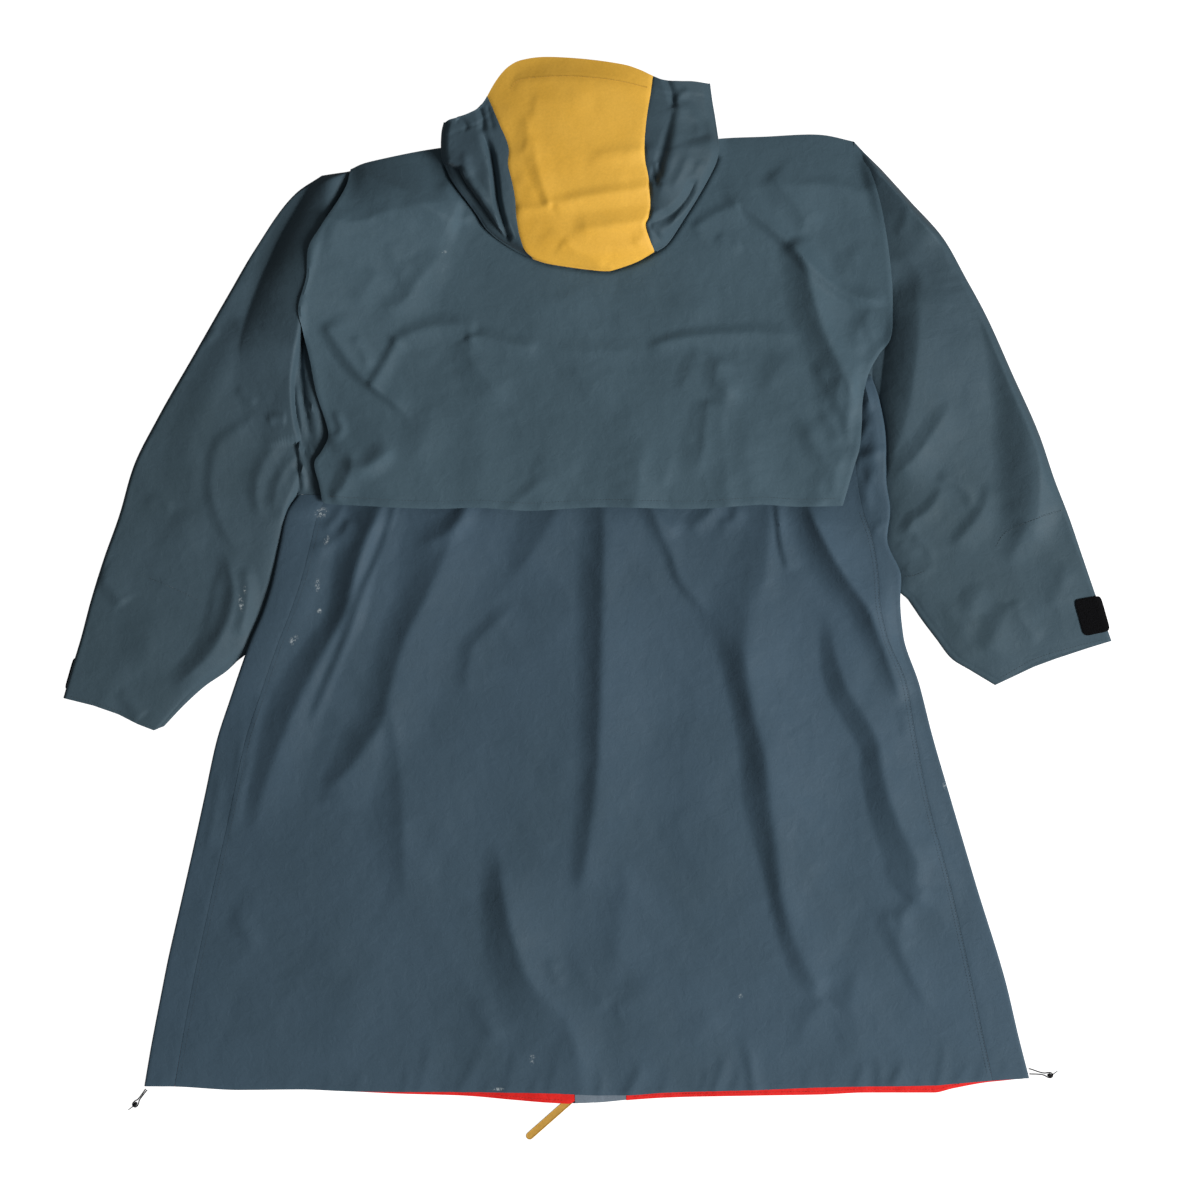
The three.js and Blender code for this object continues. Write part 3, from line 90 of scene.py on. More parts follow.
def ease(lo, hi, v):
    t = np.clip((np.asarray(v, float) - lo) / (hi - lo), 0.0, 1.0)
    return t * t * (3.0 - 2.0 * t)


def ramp(lo, hi, v):
    return np.clip((np.asarray(v, float) - lo) / (hi - lo), 0.0, 1.0)


def lerp(a, b, t):
    return a + (b - a) * t


def spline(xs, ys):
    """A smooth curve through the points that never overshoots between two of them."""
    xs, ys = np.asarray(xs, float), np.asarray(ys, float)
    h = np.diff(xs)
    s = np.diff(ys) / h
    m = np.zeros_like(ys)
    for n in range(1, len(xs) - 1):
        if s[n - 1] * s[n] > 0:
            w1, w2 = 2 * h[n] + h[n - 1], h[n] + 2 * h[n - 1]
            m[n] = (w1 + w2) / (w1 / s[n - 1] + w2 / s[n])
    m[0], m[-1] = s[0], s[-1]

    def at(v):
        v = np.asarray(v, float)
        n = np.clip(np.searchsorted(xs, v, side="right") - 1, 0, len(xs) - 2)
        t = np.clip((v - xs[n]) / h[n], 0.0, 1.0)
        t2, t3 = t * t, t * t * t
        return (
            (2 * t3 - 3 * t2 + 1) * ys[n] + (t3 - 2 * t2 + t) * h[n] * m[n]
            + (-2 * t3 + 3 * t2) * ys[n + 1] + (t3 - t2) * h[n] * m[n + 1]
        )

    return at


def column(rows, by, key):
    rows = sorted(rows, key=lambda r: r[by])
    return spline([r[by] for r in rows], [r[key] for r in rows])


def fine(points, count=26):
    """A Catmull-Rom curve through a few points, as evenly spaced points."""
    p = np.asarray(points, float)
    if len(p) < 3:
        t = np.linspace(0, 1, count)[:, None]
        return p[0] + (p[-1] - p[0]) * t
    p = np.vstack([2 * p[0] - p[1], p, 2 * p[-1] - p[-2]])
    out = []
    for n in range(1, len(p) - 2):
        a, b, c, e = p[n - 1], p[n], p[n + 1], p[n + 2]
        for t in np.linspace(0, 1, 12, endpoint=False):
            out.append(0.5 * (2 * b + (c - a) * t + (2 * a - 5 * b + 4 * c - e) * t * t
                              + (3 * b - a - 3 * c + e) * t ** 3))
    out.append(p[-2])
    out = np.array(out)
    far = np.concatenate([[0], np.cumsum(np.linalg.norm(np.diff(out, axis=0), axis=1))])
    want = np.linspace(0, far[-1], count)
    return np.stack([np.interp(want, far, out[:, k]) for k in range(p.shape[1])], axis=1)


def along(points, share, smooth=True):
    """Points at shares of a line's length."""
    line = fine(points, 160) if smooth else np.asarray(points, float)
    far = np.concatenate([[0], np.cumsum(np.linalg.norm(np.diff(line, axis=0), axis=1))])
    want = np.asarray(share, float) * far[-1]
    return np.stack([np.interp(want, far, line[:, k]) for k in range(line.shape[1])], axis=-1)


def noise(x, d, size, seed, stretch=1.0, turn=0.0):
    """Smooth noise between -1 and 1 with bumps of the given size."""
    rows = np.random.RandomState(seed).rand(61, 61) * 2 - 1
    c, s = math.cos(math.radians(turn)), math.sin(math.radians(turn))
    gx = (x * c + d * s) / size
    gd = (d * c - x * s) / (size * stretch)
    i, j = np.floor(gx).astype(int), np.floor(gd).astype(int)
    f, g = gx - i, gd - j
    f, g = f * f * (3 - 2 * f), g * g * (3 - 2 * g)
    a, b = rows[i % 61, j % 61], rows[(i + 1) % 61, j % 61]
    c0, e = rows[i % 61, (j + 1) % 61], rows[(i + 1) % 61, (j + 1) % 61]
    return (a * (1 - f) + b * f) * (1 - g) + (c0 * (1 - f) + e * f) * g


def fold(at, lee, sun, high, q=1.7, qs=None, crest=3.0, start=0.0, end=0.25, dome=0.0):
    """A ridge along a line. Widths and heights may be lists, spread evenly along it."""
    many = lambda a: np.atleast_1d(np.asarray(a, float))
    return {"at": fine(at, 30), "lee": many(lee), "sun": many(sun), "high": many(high), "q": q,
            "qs": 1.7 if qs is None else qs, "crest": crest, "start": start, "end": end, "dome": dome}


def spread(values, share):
    if len(values) == 1:
        return values[0]
    return np.interp(share, np.linspace(0, 1, len(values)), values)


def folds_at(rows, x, d):
    """Height that the listed folds add. A fold's steep flank is on its left side."""
    x, d = np.broadcast_arrays(np.asarray(x, float), np.asarray(d, float))
    shape = x.shape
    x, d = x.ravel(), d.ravel()
    total = np.zeros(x.size)
    for row in rows:
        line = row["at"]
        reach = max(row["lee"].max(), row["sun"].max()) + 2 * row["crest"]
        near = np.nonzero(
            (x > line[:, 0].min() - reach) & (x < line[:, 0].max() + reach)
            & (d > line[:, 1].min() - reach) & (d < line[:, 1].max() + reach)
        )[0]
        if not near.size:
            continue
        px, pd = x[near], d[near]
        best = np.full(near.size, 1e9)
        side = np.zeros(near.size)
        where = np.zeros(near.size)
        steps = len(line) - 1
        for n in range(steps):
            ex, ed = line[n + 1] - line[n]
            size = math.hypot(ex, ed) or 1e-9
            rx, rd = px - line[n, 0], pd - line[n, 1]
            t = np.clip((rx * ex + rd * ed) / (size * size), 0, 1)
            far = np.hypot(rx - t * ex, rd - t * ed)
            hit = far < best
            best[hit] = far[hit]
            side[hit] = ((rx * ed - rd * ex) / size)[hit]
            where[hit] = ((n + t) / steps)[hit]
        lee = side < 0
        width = np.where(lee, spread(row["lee"], where), spread(row["sun"], where))
        r = row["crest"]
        t = np.clip((np.sqrt(best ** 2 + r * r) - r) / width, 0, 1)
        shape_of = (1 - t) ** np.where(lee, row["q"], row["qs"])
        if row["dome"] > 0:
            shape_of = np.where(lee, 1 - 0.58 * t - 0.42 * t ** row["dome"], shape_of)
        elif row["dome"] < 0:
            shape_of = np.where(lee, 0.5 + 0.5 * np.cos(np.pi * t), shape_of)
        fade = np.ones(near.size)
        if row["start"] > 0:
            fade *= ease(0, row["start"], where)
        if row["end"] > 0:
            fade *= 1 - ease(1 - row["end"], 1, where)
        total[near] += spread(row["high"], where) * shape_of * fade
    return total.reshape(shape)


# A table of heights on the whole layout, used to lay one layer on another.
CELL, LEFT, TOP, WIDE, TALL = 2.0, 40.0, 40.0, 550, 560


def empty(value=0.0):
    return np.full((WIDE, TALL), value)


def stamp(field, x, d, z):
    """Raises the field to the height of a surface given as a grid."""
    def finer(a):
        for _ in range(2):
            a = np.repeat(a, 2, axis=0)[:-1].astype(float)
            a[1::2] = 0.5 * (a[0:-2:2] + a[2::2])
            a = np.repeat(a, 2, axis=1)[:, :-1]
            a[:, 1::2] = 0.5 * (a[:, 0:-2:2] + a[:, 2::2])
        return a
    x, d, z = finer(x), finer(d), finer(z)
    i = np.clip(np.rint((x - LEFT) / CELL).astype(int), 0, WIDE - 1)
    j = np.clip(np.rint((d - TOP) / CELL).astype(int), 0, TALL - 1)
    np.maximum.at(field, (i.ravel(), j.ravel()), z.ravel())
    return field


def sample(field, x, d):
    gx = np.clip((np.asarray(x, float) - LEFT) / CELL, 0, WIDE - 1.001)
    gd = np.clip((np.asarray(d, float) - TOP) / CELL, 0, TALL - 1.001)
    i, j = gx.astype(int), gd.astype(int)
    f, g = gx - i, gd - j
    return ((field[i, j] * (1 - f) + field[i + 1, j] * f) * (1 - g)
            + (field[i, j + 1] * (1 - f) + field[i + 1, j + 1] * f) * g)


def blur(field, radius, passes=3):
    n = max(1, int(round(radius / CELL)))
    for _ in range(passes):
        for axis in (0, 1):
            pad = [(n + 1, n) if a == axis else (0, 0) for a in (0, 1)]
            total = np.cumsum(np.pad(field, pad, mode="edge"), axis=axis)
            hi = np.take(total, range(2 * n + 1, total.shape[axis]), axis=axis)
            lo = np.take(total, range(0, total.shape[axis] - 2 * n - 1), axis=axis)
            field = (hi - lo) / (2 * n + 1)
    return field


def grow(field, radius):
    n = max(1, int(round(radius / CELL)))
    for axis in (0, 1):
        out = field.copy()
        for k in range(1, n + 1):
            a = np.roll(field, k, axis=axis)
            b = np.roll(field, -k, axis=axis)
            out = np.maximum(out, np.maximum(a, b))
        field = out
    return field


# ------------------------------------------------------------------ meshes
AREAS = {}


def put(name, points, faces, material, smooth=True, sharp=38.0):
    points = np.asarray(points, float)
    mesh = bpy.data.meshes.new(name)
    mesh.vertices.add(len(points))
    mesh.vertices.foreach_set("co", points.astype(np.float32).ravel())
    faces = [np.asarray(f) for f in faces if len(f)]
    counts = np.concatenate([np.full(len(f), f.shape[1]) for f in faces])
    loops = np.concatenate([f.ravel() for f in faces]).astype(np.int32)
    mesh.loops.add(len(loops))
    mesh.polygons.add(len(counts))
    starts = np.concatenate([[0], np.cumsum(counts)[:-1]]).astype(np.int32)
    mesh.polygons.foreach_set("loop_start", starts)
    mesh.loops.foreach_set("vertex_index", loops)
    mesh.polygons.foreach_set("use_smooth", np.full(len(counts), smooth))
    mesh.update(calc_edges=True)
    mesh.validate()
    if smooth and sharp:
        mesh.set_sharp_from_angle(angle=math.radians(sharp))
    mesh.materials.append(material)
    piece = bpy.data.objects.new(name, mesh)
    bpy.context.scene.collection.objects.link(piece)
    return piece


def grid_normals(p, wrap=False):
    if wrap:
        du = np.roll(p, -1, axis=0) - np.roll(p, 1, axis=0)
    else:
        du = np.gradient(p, axis=0)
    dv = np.gradient(p, axis=1)
    n = np.cross(du, dv)
    size = np.linalg.norm(n, axis=-1, keepdims=True)
    n = n / np.where(size > 1e-12, size, 1)
    return n


def shell(name, x, d, z, material, thick=CLOTH, keep=None, wrap=False, up=None, flatten=(), sharp=38.0):
    """A closed thin wall about a grid of table points. up is a cell whose outer side faces up."""
    p = frame_points(x, d, z)
    n = grid_normals(p, wrap)
    for u in flatten:
        n[u, :, 0] = 0
        n[u] /= np.linalg.norm(n[u], axis=-1, keepdims=True)
    ref = n[up][2] if up is not None else n[..., 2].mean()
    flip = ref < 0
    if flip:
        n = -n
    half = thick / 2000.0
    outer, inner = p + n * half, p - n * half
    nu, nv = x.shape
    index = np.arange(nu * nv).reshape(nu, nv)
    cu = nu if wrap else nu - 1
    mask = np.ones((cu, nv - 1), bool) if keep is None else keep.copy()
    nxt = np.roll(index, -1, axis=0)[:cu]
    a, b = index[:cu, :-1], nxt[:, :-1]
    c, e = nxt[:, 1:], index[:cu, 1:]
    total = nu * nv
    top = np.stack([a, b, c, e], -1)[mask]
    faces = [top, top[:, ::-1] + total]

    def wall(cells, p0, p1):
        if cells.any():
            m, k = p0[cells], p1[cells]
            faces.append(np.stack([m, m + total, k + total, k], -1))

    below = np.pad(mask, ((0, 0), (1, 0)))[:, :-1]
    above = np.pad(mask, ((0, 0), (0, 1)))[:, 1:]
    wall(mask & ~below, a, b)
    wall(mask & ~above, c, e)
    if not wrap:
        before = np.pad(mask, ((1, 0), (0, 0)))[:-1]
        after = np.pad(mask, ((0, 1), (0, 0)))[1:]
        wall(mask & ~before, e, a)
        wall(mask & ~after, b, c)
    if flip:
        faces = [f[:, ::-1] for f in faces]
    points = np.concatenate([outer.reshape(-1, 3), inner.reshape(-1, 3)])
    used = np.zeros(2 * total, bool)
    for f in faces:
        used[f.ravel()] = True
    fresh = np.cumsum(used) - 1
    faces = [fresh[f] for f in faces]
    quads = np.concatenate([top])
    flat = p.reshape(-1, 3)
    q = flat[quads]
    area = 0.5 * np.linalg.norm(np.cross(q[:, 2] - q[:, 0], q[:, 3] - q[:, 1]), axis=1).sum()
    AREAS[name] = float(area)
    # walls were written for an outer side that faces along the cross product
    return put(name, points[used], faces, material, sharp=sharp)


def cloth(piece, node):
    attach(piece, "root")
    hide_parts(node)


# ------------------------------------------------------------------ materials
def nodes_of(name):
    material = bpy.data.materials.new(name)
    material.use_nodes = True
    tree = material.node_tree
    bsdf = next(n for n in tree.nodes if n.type == "BSDF_PRINCIPLED")
    return material, tree, bsdf


def add_node(tree, kind, **values):
    node = tree.nodes.new(kind)
    for key, value in values.items():
        if hasattr(node, key):
            setattr(node, key, value)
        else:
            node.inputs[key.replace("_", " ")].default_value = value
    return node


def srgb(r, g, b):
    def one(c):
        c = c / 255.0
        return c / 12.92 if c <= 0.04045 else ((c + 0.055) / 1.055) ** 2.4
    return (one(r), one(g), one(b), 1.0)


def blotches(tree, where, size, detail=3.0, rough=0.55):
    node = add_node(tree, "ShaderNodeTexNoise", noise_dimensions="3D")
    node.inputs["Scale"].default_value = 1.0 / size
    node.inputs["Detail"].default_value = detail
    node.inputs["Roughness"].default_value = rough
    tree.links.new(where.outputs[0], node.inputs["Vector"])
    return node


def levels(tree, source, lo, hi, to_lo=0.0, to_hi=1.0):
    node = add_node(tree, "ShaderNodeMapRange")
    node.inputs["From Min"].default_value = lo
    node.inputs["From Max"].default_value = hi
    node.inputs["To Min"].default_value = to_lo
    node.inputs["To Max"].default_value = to_hi
    tree.links.new(source, node.inputs["Value"])
    return node


def mix_colour(tree, share, a, b, blend="MIX"):
    node = add_node(tree, "ShaderNodeMix", data_type="RGBA", blend_type=blend)
    for socket, value in ((node.inputs[0], share), (node.inputs[6], a), (node.inputs[7], b)):
        if isinstance(value, (int, float, tuple)):
            socket.default_value = value
        else:
            tree.links.new(value, socket)
    return node.outputs[2]


def maths(tree, operation, a, b=None):
    node = add_node(tree, "ShaderNodeMath", operation=operation)
    for socket, value in ((node.inputs[0], a), (node.inputs[1], b)):
        if value is None:
            continue
        if isinstance(value, (int, float)):
            socket.default_value = value
        else:
            tree.links.new(value, socket)
    return node.outputs[0]


def weave(tree, where, period, turn=0.0):
    """Height of a plain weave: warp and weft threads crossing."""
    spin = add_node(tree, "ShaderNodeMapping")
    spin.inputs["Rotation"].default_value = (0, 0, math.radians(turn))
    tree.links.new(where.outputs[0], spin.inputs["Vector"])
    waves = []
    for axis in ("X", "Y"):
        wave = add_node(tree, "ShaderNodeTexWave", wave_type="BANDS", bands_direction=axis,
                        wave_profile="SIN")
        wave.inputs["Scale"].default_value = 0.314 / period
        wave.inputs["Distortion"].default_value = 0.6
        wave.inputs["Detail"].default_value = 1.0
        tree.links.new(spin.outputs[0], wave.inputs["Vector"])
        waves.append(wave.outputs["Fac"])
    return maths(tree, "MULTIPLY", waves[0], waves[1])


def fabric(name, base, light, dark, roughness=0.66, sheen=0.08, weave_size=0.0011, turn=0.0,
           crinkle=0.35, specular=0.22, scuffs=()):
    material, tree, bsdf = nodes_of(name)
    where = add_node(tree, "ShaderNodeTexCoord")
    place = add_node(tree, "ShaderNodeVectorMath", operation="ADD")
    tree.links.new(where.outputs["Object"], place.inputs[0])
    large = levels(tree, blotches(tree, place, 0.16, 2.0).outputs["Fac"], 0.36, 0.64)
    middle = levels(tree, blotches(tree, place, 0.030, 4.0, 0.6).outputs["Fac"], 0.34, 0.68)
    grain = levels(tree, blotches(tree, place, 0.0022, 3.0, 0.7).outputs["Fac"], 0.25, 0.75)
    colour = mix_colour(tree, large.outputs[0], dark, light)
    colour = mix_colour(tree, 0.5, colour, base)
    colour = mix_colour(tree, maths(tree, "MULTIPLY", middle.outputs[0], 0.35), colour, light)
    speck = mix_colour(tree, grain.outputs[0], (0.86, 0.86, 0.86, 1), (1.12, 1.12, 1.12, 1))
    colour = mix_colour(tree, 0.55, colour, speck, "MULTIPLY")
    if scuffs:
        share = None
        for sx, sd, size_x, size_y, angle in scuffs:
            spot = add_node(tree, "ShaderNodeMapping", vector_type="TEXTURE")
            spot.inputs["Location"].default_value = ((sx - TX) / 1000.0, (TD - sd) / 1000.0, 0.01)
            spot.inputs["Rotation"].default_value = (0, 0, math.radians(angle))
            spot.inputs["Scale"].default_value = (size_x / 1000.0, size_y / 1000.0, 1.0)
            tree.links.new(where.outputs["Object"], spot.inputs["Vector"])
            far = add_node(tree, "ShaderNodeVectorMath", operation="LENGTH")
            tree.links.new(spot.outputs[0], far.inputs[0])
            near = levels(tree, far.outputs["Value"], 1.0, 0.15)
            share = near.outputs[0] if share is None else maths(tree, "MAXIMUM", share, near.outputs[0])
        rub = blotches(tree, place, 0.0028, 4.0, 0.75)
        torn = levels(tree, rub.outputs["Fac"], 0.50, 0.60)
        share = maths(tree, "MULTIPLY", share, torn.outputs[0])
        share = maths(tree, "MULTIPLY", share, 0.8)
        colour = mix_colour(tree, share, colour, srgb(190, 198, 200))
    tree.links.new(colour, bsdf.inputs["Base Color"])
    rough = levels(tree, middle.outputs[0], 0.0, 1.0, roughness - 0.05, roughness + 0.08)
    tree.links.new(rough.outputs[0], bsdf.inputs["Roughness"])
    bsdf.inputs["Specular IOR Level"].default_value = specular
    bsdf.inputs["Sheen Weight"].default_value = sheen
    bsdf.inputs["Sheen Roughness"].default_value = 0.45
    threads = add_node(tree, "ShaderNodeBump")
    threads.inputs["Strength"].default_value = 0.35
    threads.inputs["Distance"].default_value = 0.00012
    tree.links.new(weave(tree, place, weave_size, turn), threads.inputs["Height"])
    fuzz = add_node(tree, "ShaderNodeBump")
    fuzz.inputs["Strength"].default_value = crinkle
    fuzz.inputs["Distance"].default_value = 0.0009
    wrinkle = blotches(tree, place, 0.011, 4.0, 0.62)
    wrinkle.inputs["Distortion"].default_value = 0.6
    tree.links.new(wrinkle.outputs["Fac"], fuzz.inputs["Height"])
    tree.links.new(threads.outputs["Normal"], fuzz.inputs["Normal"])
    tree.links.new(fuzz.outputs["Normal"], bsdf.inputs["Normal"])
    return material


SCUFFS = [
    (322, 513, 8, 6, 20), (327, 540, 6, 3, 70), (318, 585, 3, 9, 0), (320, 611, 3, 3, 0),
    (294, 640, 7, 4, 50), (242, 603, 3, 10, 10), (532, 1056, 4, 3, 0), (532, 1062, 2.5, 3.5, 0),
    (498, 1088.5, 7, 2.2, 0), (740, 995, 3, 3, 0), (945, 785, 3, 6, 20), (246, 590, 2, 5, 0),
    (443, 253, 5, 2, 10),
]
SLATE = fabric("shell_slate", srgb(59, 79, 93), srgb(63, 83, 98), srgb(55, 74, 86), scuffs=SCUFFS, crinkle=0.6)
# the cape's cloth is given a slightly lighter tone than the back
SLEEVE_SLATE = fabric("shell_slate_worn", srgb(61, 80, 90), srgb(65, 84, 95), srgb(57, 75, 83), scuffs=SCUFFS, crinkle=0.6)
CAPE_SLATE = fabric("shell_slate_lighter", srgb(66, 87, 98), srgb(70, 91, 102), srgb(62, 82, 92), scuffs=SCUFFS, crinkle=0.6)
MUSTARD = fabric("shell_mustard", srgb(230, 177, 66), srgb(236, 184, 76), srgb(222, 167, 57),
                 roughness=0.58, turn=8, crinkle=0.3)
RED = fabric("facing_red", srgb(226, 30, 26), srgb(236, 40, 34), srgb(205, 22, 20), roughness=0.55,
             sheen=0.1, weave_size=0.0007, crinkle=0.8)
GREY = fabric("flap_grey", srgb(112, 124, 136), srgb(122, 134, 145), srgb(98, 110, 122),
              roughness=0.6, sheen=0.15, weave_size=0.0008, crinkle=0.7)
TAPE = fabric("zip_tape", srgb(34, 38, 42), srgb(42, 46, 50), srgb(26, 30, 33), roughness=0.8,
              weave_size=0.0009)
INNER = fabric("neck_lining", srgb(58, 74, 84), srgb(66, 82, 92), srgb(50, 66, 74), roughness=0.7)


def plastic(name, base, roughness=0.4, metal=0.0, size=0.004, bump=0.15):
    material, tree, bsdf = nodes_of(name)
    where = add_node(tree, "ShaderNodeTexCoord")
    place = add_node(tree, "ShaderNodeVectorMath", operation="ADD")
    tree.links.new(where.outputs["Object"], place.inputs[0])
    spots = blotches(tree, place, size, 4.0, 0.6)
    share = levels(tree, spots.outputs["Fac"], 0.3, 0.7)
    dark = tuple(c * 0.82 for c in base[:3]) + (1,)
    tree.links.new(mix_colour(tree, share.outputs[0], dark, base), bsdf.inputs["Base Color"])
    rough = levels(tree, spots.outputs["Fac"], 0.3, 0.7, roughness - 0.06, roughness + 0.1)
    tree.links.new(rough.outputs[0], bsdf.inputs["Roughness"])
    bsdf.inputs["Metallic"].default_value = metal
    dents = add_node(tree, "ShaderNodeBump")
    dents.inputs["Strength"].default_value = bump
    dents.inputs["Distance"].default_value = 0.0003
    tree.links.new(spots.outputs["Fac"], dents.inputs["Height"])
    tree.links.new(dents.outputs["Normal"], bsdf.inputs["Normal"])
    return material


TEETH = plastic("zip_teeth", srgb(38, 40, 44), 0.35)
METAL = plastic("slider_metal", srgb(84, 88, 92), 0.38, metal=0.85, size=0.002)
RUBBER = plastic("puller_rubber", srgb(205, 156, 62), 0.55, size=0.003)


def looped(name):
    material, tree, bsdf = nodes_of(name)
    where = add_node(tree, "ShaderNodeTexCoord")
    place = add_node(tree, "ShaderNodeVectorMath", operation="ADD")
    tree.links.new(where.outputs["Object"], place.inputs[0])
    pile = add_node(tree, "ShaderNodeTexVoronoi")
    pile.inputs["Scale"].default_value = 900.0
    tree.links.new(place.outputs[0], pile.inputs["Vector"])
    share = levels(tree, pile.outputs["Distance"], 0.0, 0.7)
    tree.links.new(mix_colour(tree, share.outputs[0], srgb(14, 14, 17), srgb(4, 4, 5)),
                   bsdf.inputs["Base Color"])
    bsdf.inputs["Roughness"].default_value = 0.92
    bsdf.inputs["Specular IOR Level"].default_value = 0.1
    bsdf.inputs["Sheen Weight"].default_value = 0.02
    dents = add_node(tree, "ShaderNodeBump", invert=True)
    dents.inputs["Strength"].default_value = 0.8
    dents.inputs["Distance"].default_value = 0.0006
    tree.links.new(pile.outputs["Distance"], dents.inputs["Height"])
    tree.links.new(dents.outputs["Normal"], bsdf.inputs["Normal"])
    return material


LOOPED = looped("hook_loop_black")


def braided(name):
    material, tree, bsdf = nodes_of(name)
    where = add_node(tree, "ShaderNodeTexCoord")
    waves = []
    for turn in (38, -38):
        spin = add_node(tree, "ShaderNodeMapping")
        spin.inputs["Rotation"].default_value = (0, 0, math.radians(turn))
        tree.links.new(where.outputs["Object"], spin.inputs["Vector"])
        wave = add_node(tree, "ShaderNodeTexWave", wave_type="BANDS", bands_direction="X")
        wave.inputs["Scale"].default_value = 520.0
        tree.links.new(spin.outputs[0], wave.inputs["Vector"])
        waves.append(wave.outputs["Fac"])
    both = maths(tree, "MAXIMUM", waves[0], waves[1])
    tree.links.new(mix_colour(tree, both, srgb(12, 12, 14), srgb(30, 31, 33)), bsdf.inputs["Base Color"])
    bsdf.inputs["Roughness"].default_value = 0.85
    bsdf.inputs["Specular IOR Level"].default_value = 0.15
    dents = add_node(tree, "ShaderNodeBump")
    dents.inputs["Strength"].default_value = 0.6
    dents.inputs["Distance"].default_value = 0.0002
    tree.links.new(both, dents.inputs["Height"])
    tree.links.new(dents.outputs["Normal"], bsdf.inputs["Normal"])
    return material


BRAID = braided("drawcord")


def thread(name, base):
    material, tree, bsdf = nodes_of(name)
    where = add_node(tree, "ShaderNodeTexCoord")
    spots = blotches(tree, where, 0.0012, 3.0, 0.6)
    tree.links.new(where.outputs["Object"], spots.inputs["Vector"])
    share = levels(tree, spots.outputs["Fac"], 0.3, 0.7)
    dark = tuple(c * 0.7 for c in base[:3]) + (1,)
    tree.links.new(mix_colour(tree, share.outputs[0], dark, base), bsdf.inputs["Base Color"])
    bsdf.inputs["Roughness"].default_value = 0.6
    bsdf.inputs["Sheen Weight"].default_value = 0.2
    return material


THREAD_SLATE = thread("thread_slate", srgb(40, 54, 63))
THREAD_MUSTARD = thread("thread_mustard", srgb(202, 150, 50))
THREAD_RED = thread("thread_red", srgb(200, 26, 24))

# ------------------------------------------------------------------ drawcords
LOOP_LEFT = {
    "x": 146.5, "d": 1089.3, "to": (-0.600, 0.800), "knot": 18.4,
    "rows": [
        (0, -0.9, 1.5), (3, -0.75, 1.0), (6.5, -0.66, 0.7), (10, -0.66, 0.65), (13, -0.9, 0.65),
        (15.1, -1.75, 0.65), (17.1, -2.4, 0.65), (19, -2.55, 0.65), (20.7, -1.9, 0.65), (21.5, 0, 0.65),
        (20.7, 1.9, 0.65), (19, 2.55, 0.65), (17.1, 2.4, 0.65), (15.1, 1.75, 0.65), (13, 0.9, 0.65),
        (10, 0.66, 0.65), (6.5, 0.66, 0.7), (3, 0.75, 1.0), (0, 0.9, 1.5),
    ],
}
LOOP_RIGHT = {
    "x": 1028.2, "d": 1071.0, "to": (0.982, 0.187), "knot": 21.8,
    "rows": [
        (0, -2.6, 1.9), (3.4, -2.3, 1.2), (7, -1.7, 0.75), (10.5, -1.2, 0.65), (14, -0.95, 0.65),
        (16.6, -1.15, 0.65), (18.6, -1.8, 0.65), (20.5, -2.4, 0.65), (22.4, -2.55, 0.65),
        (24.1, -1.9, 0.65), (24.9, 0, 0.65), (24.1, 1.9, 0.65), (22.4, 2.55, 0.65), (20.5, 2.4, 0.65),
        (18.6, 1.8, 0.65), (16.6, 1.15, 0.65), (14, 0.95, 0.65), (10.5, 1.2, 0.65), (7, 1.7, 0.75),
        (4.2, 2.2, 1.1), (1.6, 2.5, 1.7),
    ],
}


def loop_point(loop, t, s):
    tx, td = loop["to"]
    sign = 1.0 if tx > 0 else -1.0
    return loop["x"] + t * tx - s * td * sign, loop["d"] + t * td + s * abs(tx)


def tapered(points, radii, sides=10):
    """A closed tube through points with a radius at each."""
    points, radii = np.asarray(points, float), np.asarray(radii, float)
    tangent = np.gradient(points, axis=0)
    tangent /= np.linalg.norm(tangent, axis=1, keepdims=True)
    side = np.cross(tangent, [0, 0, 1.0])
    side /= np.linalg.norm(side, axis=1, keepdims=True)
    over = np.cross(side, tangent)
    turn = np.linspace(0, 2 * math.pi, sides, endpoint=False)
    ring = (points[:, None] + radii[:, None, None]
            * (np.cos(turn)[None, :, None] * side[:, None] + np.sin(turn)[None, :, None] * over[:, None]))
    count = len(points)
    index = np.arange(count * sides).reshape(count, sides)
    a, b = index[:-1], np.roll(index, -1, axis=1)[:-1]
    c, e = np.roll(index, -1, axis=1)[1:], index[1:]
    quads = np.stack([a, e, c, b], -1).reshape(-1, 4)
    ends = [index[0][None, :], index[-1][None, ::-1]]
    return ring.reshape(-1, 3), [quads] + ends


def join_parts(parts):
    points, faces, base = [], [], 0
    for p, f in parts:
        points.append(p)
        faces.extend(np.asarray(rows) + base for rows in f)
        base += len(p)
    return np.concatenate(points), faces


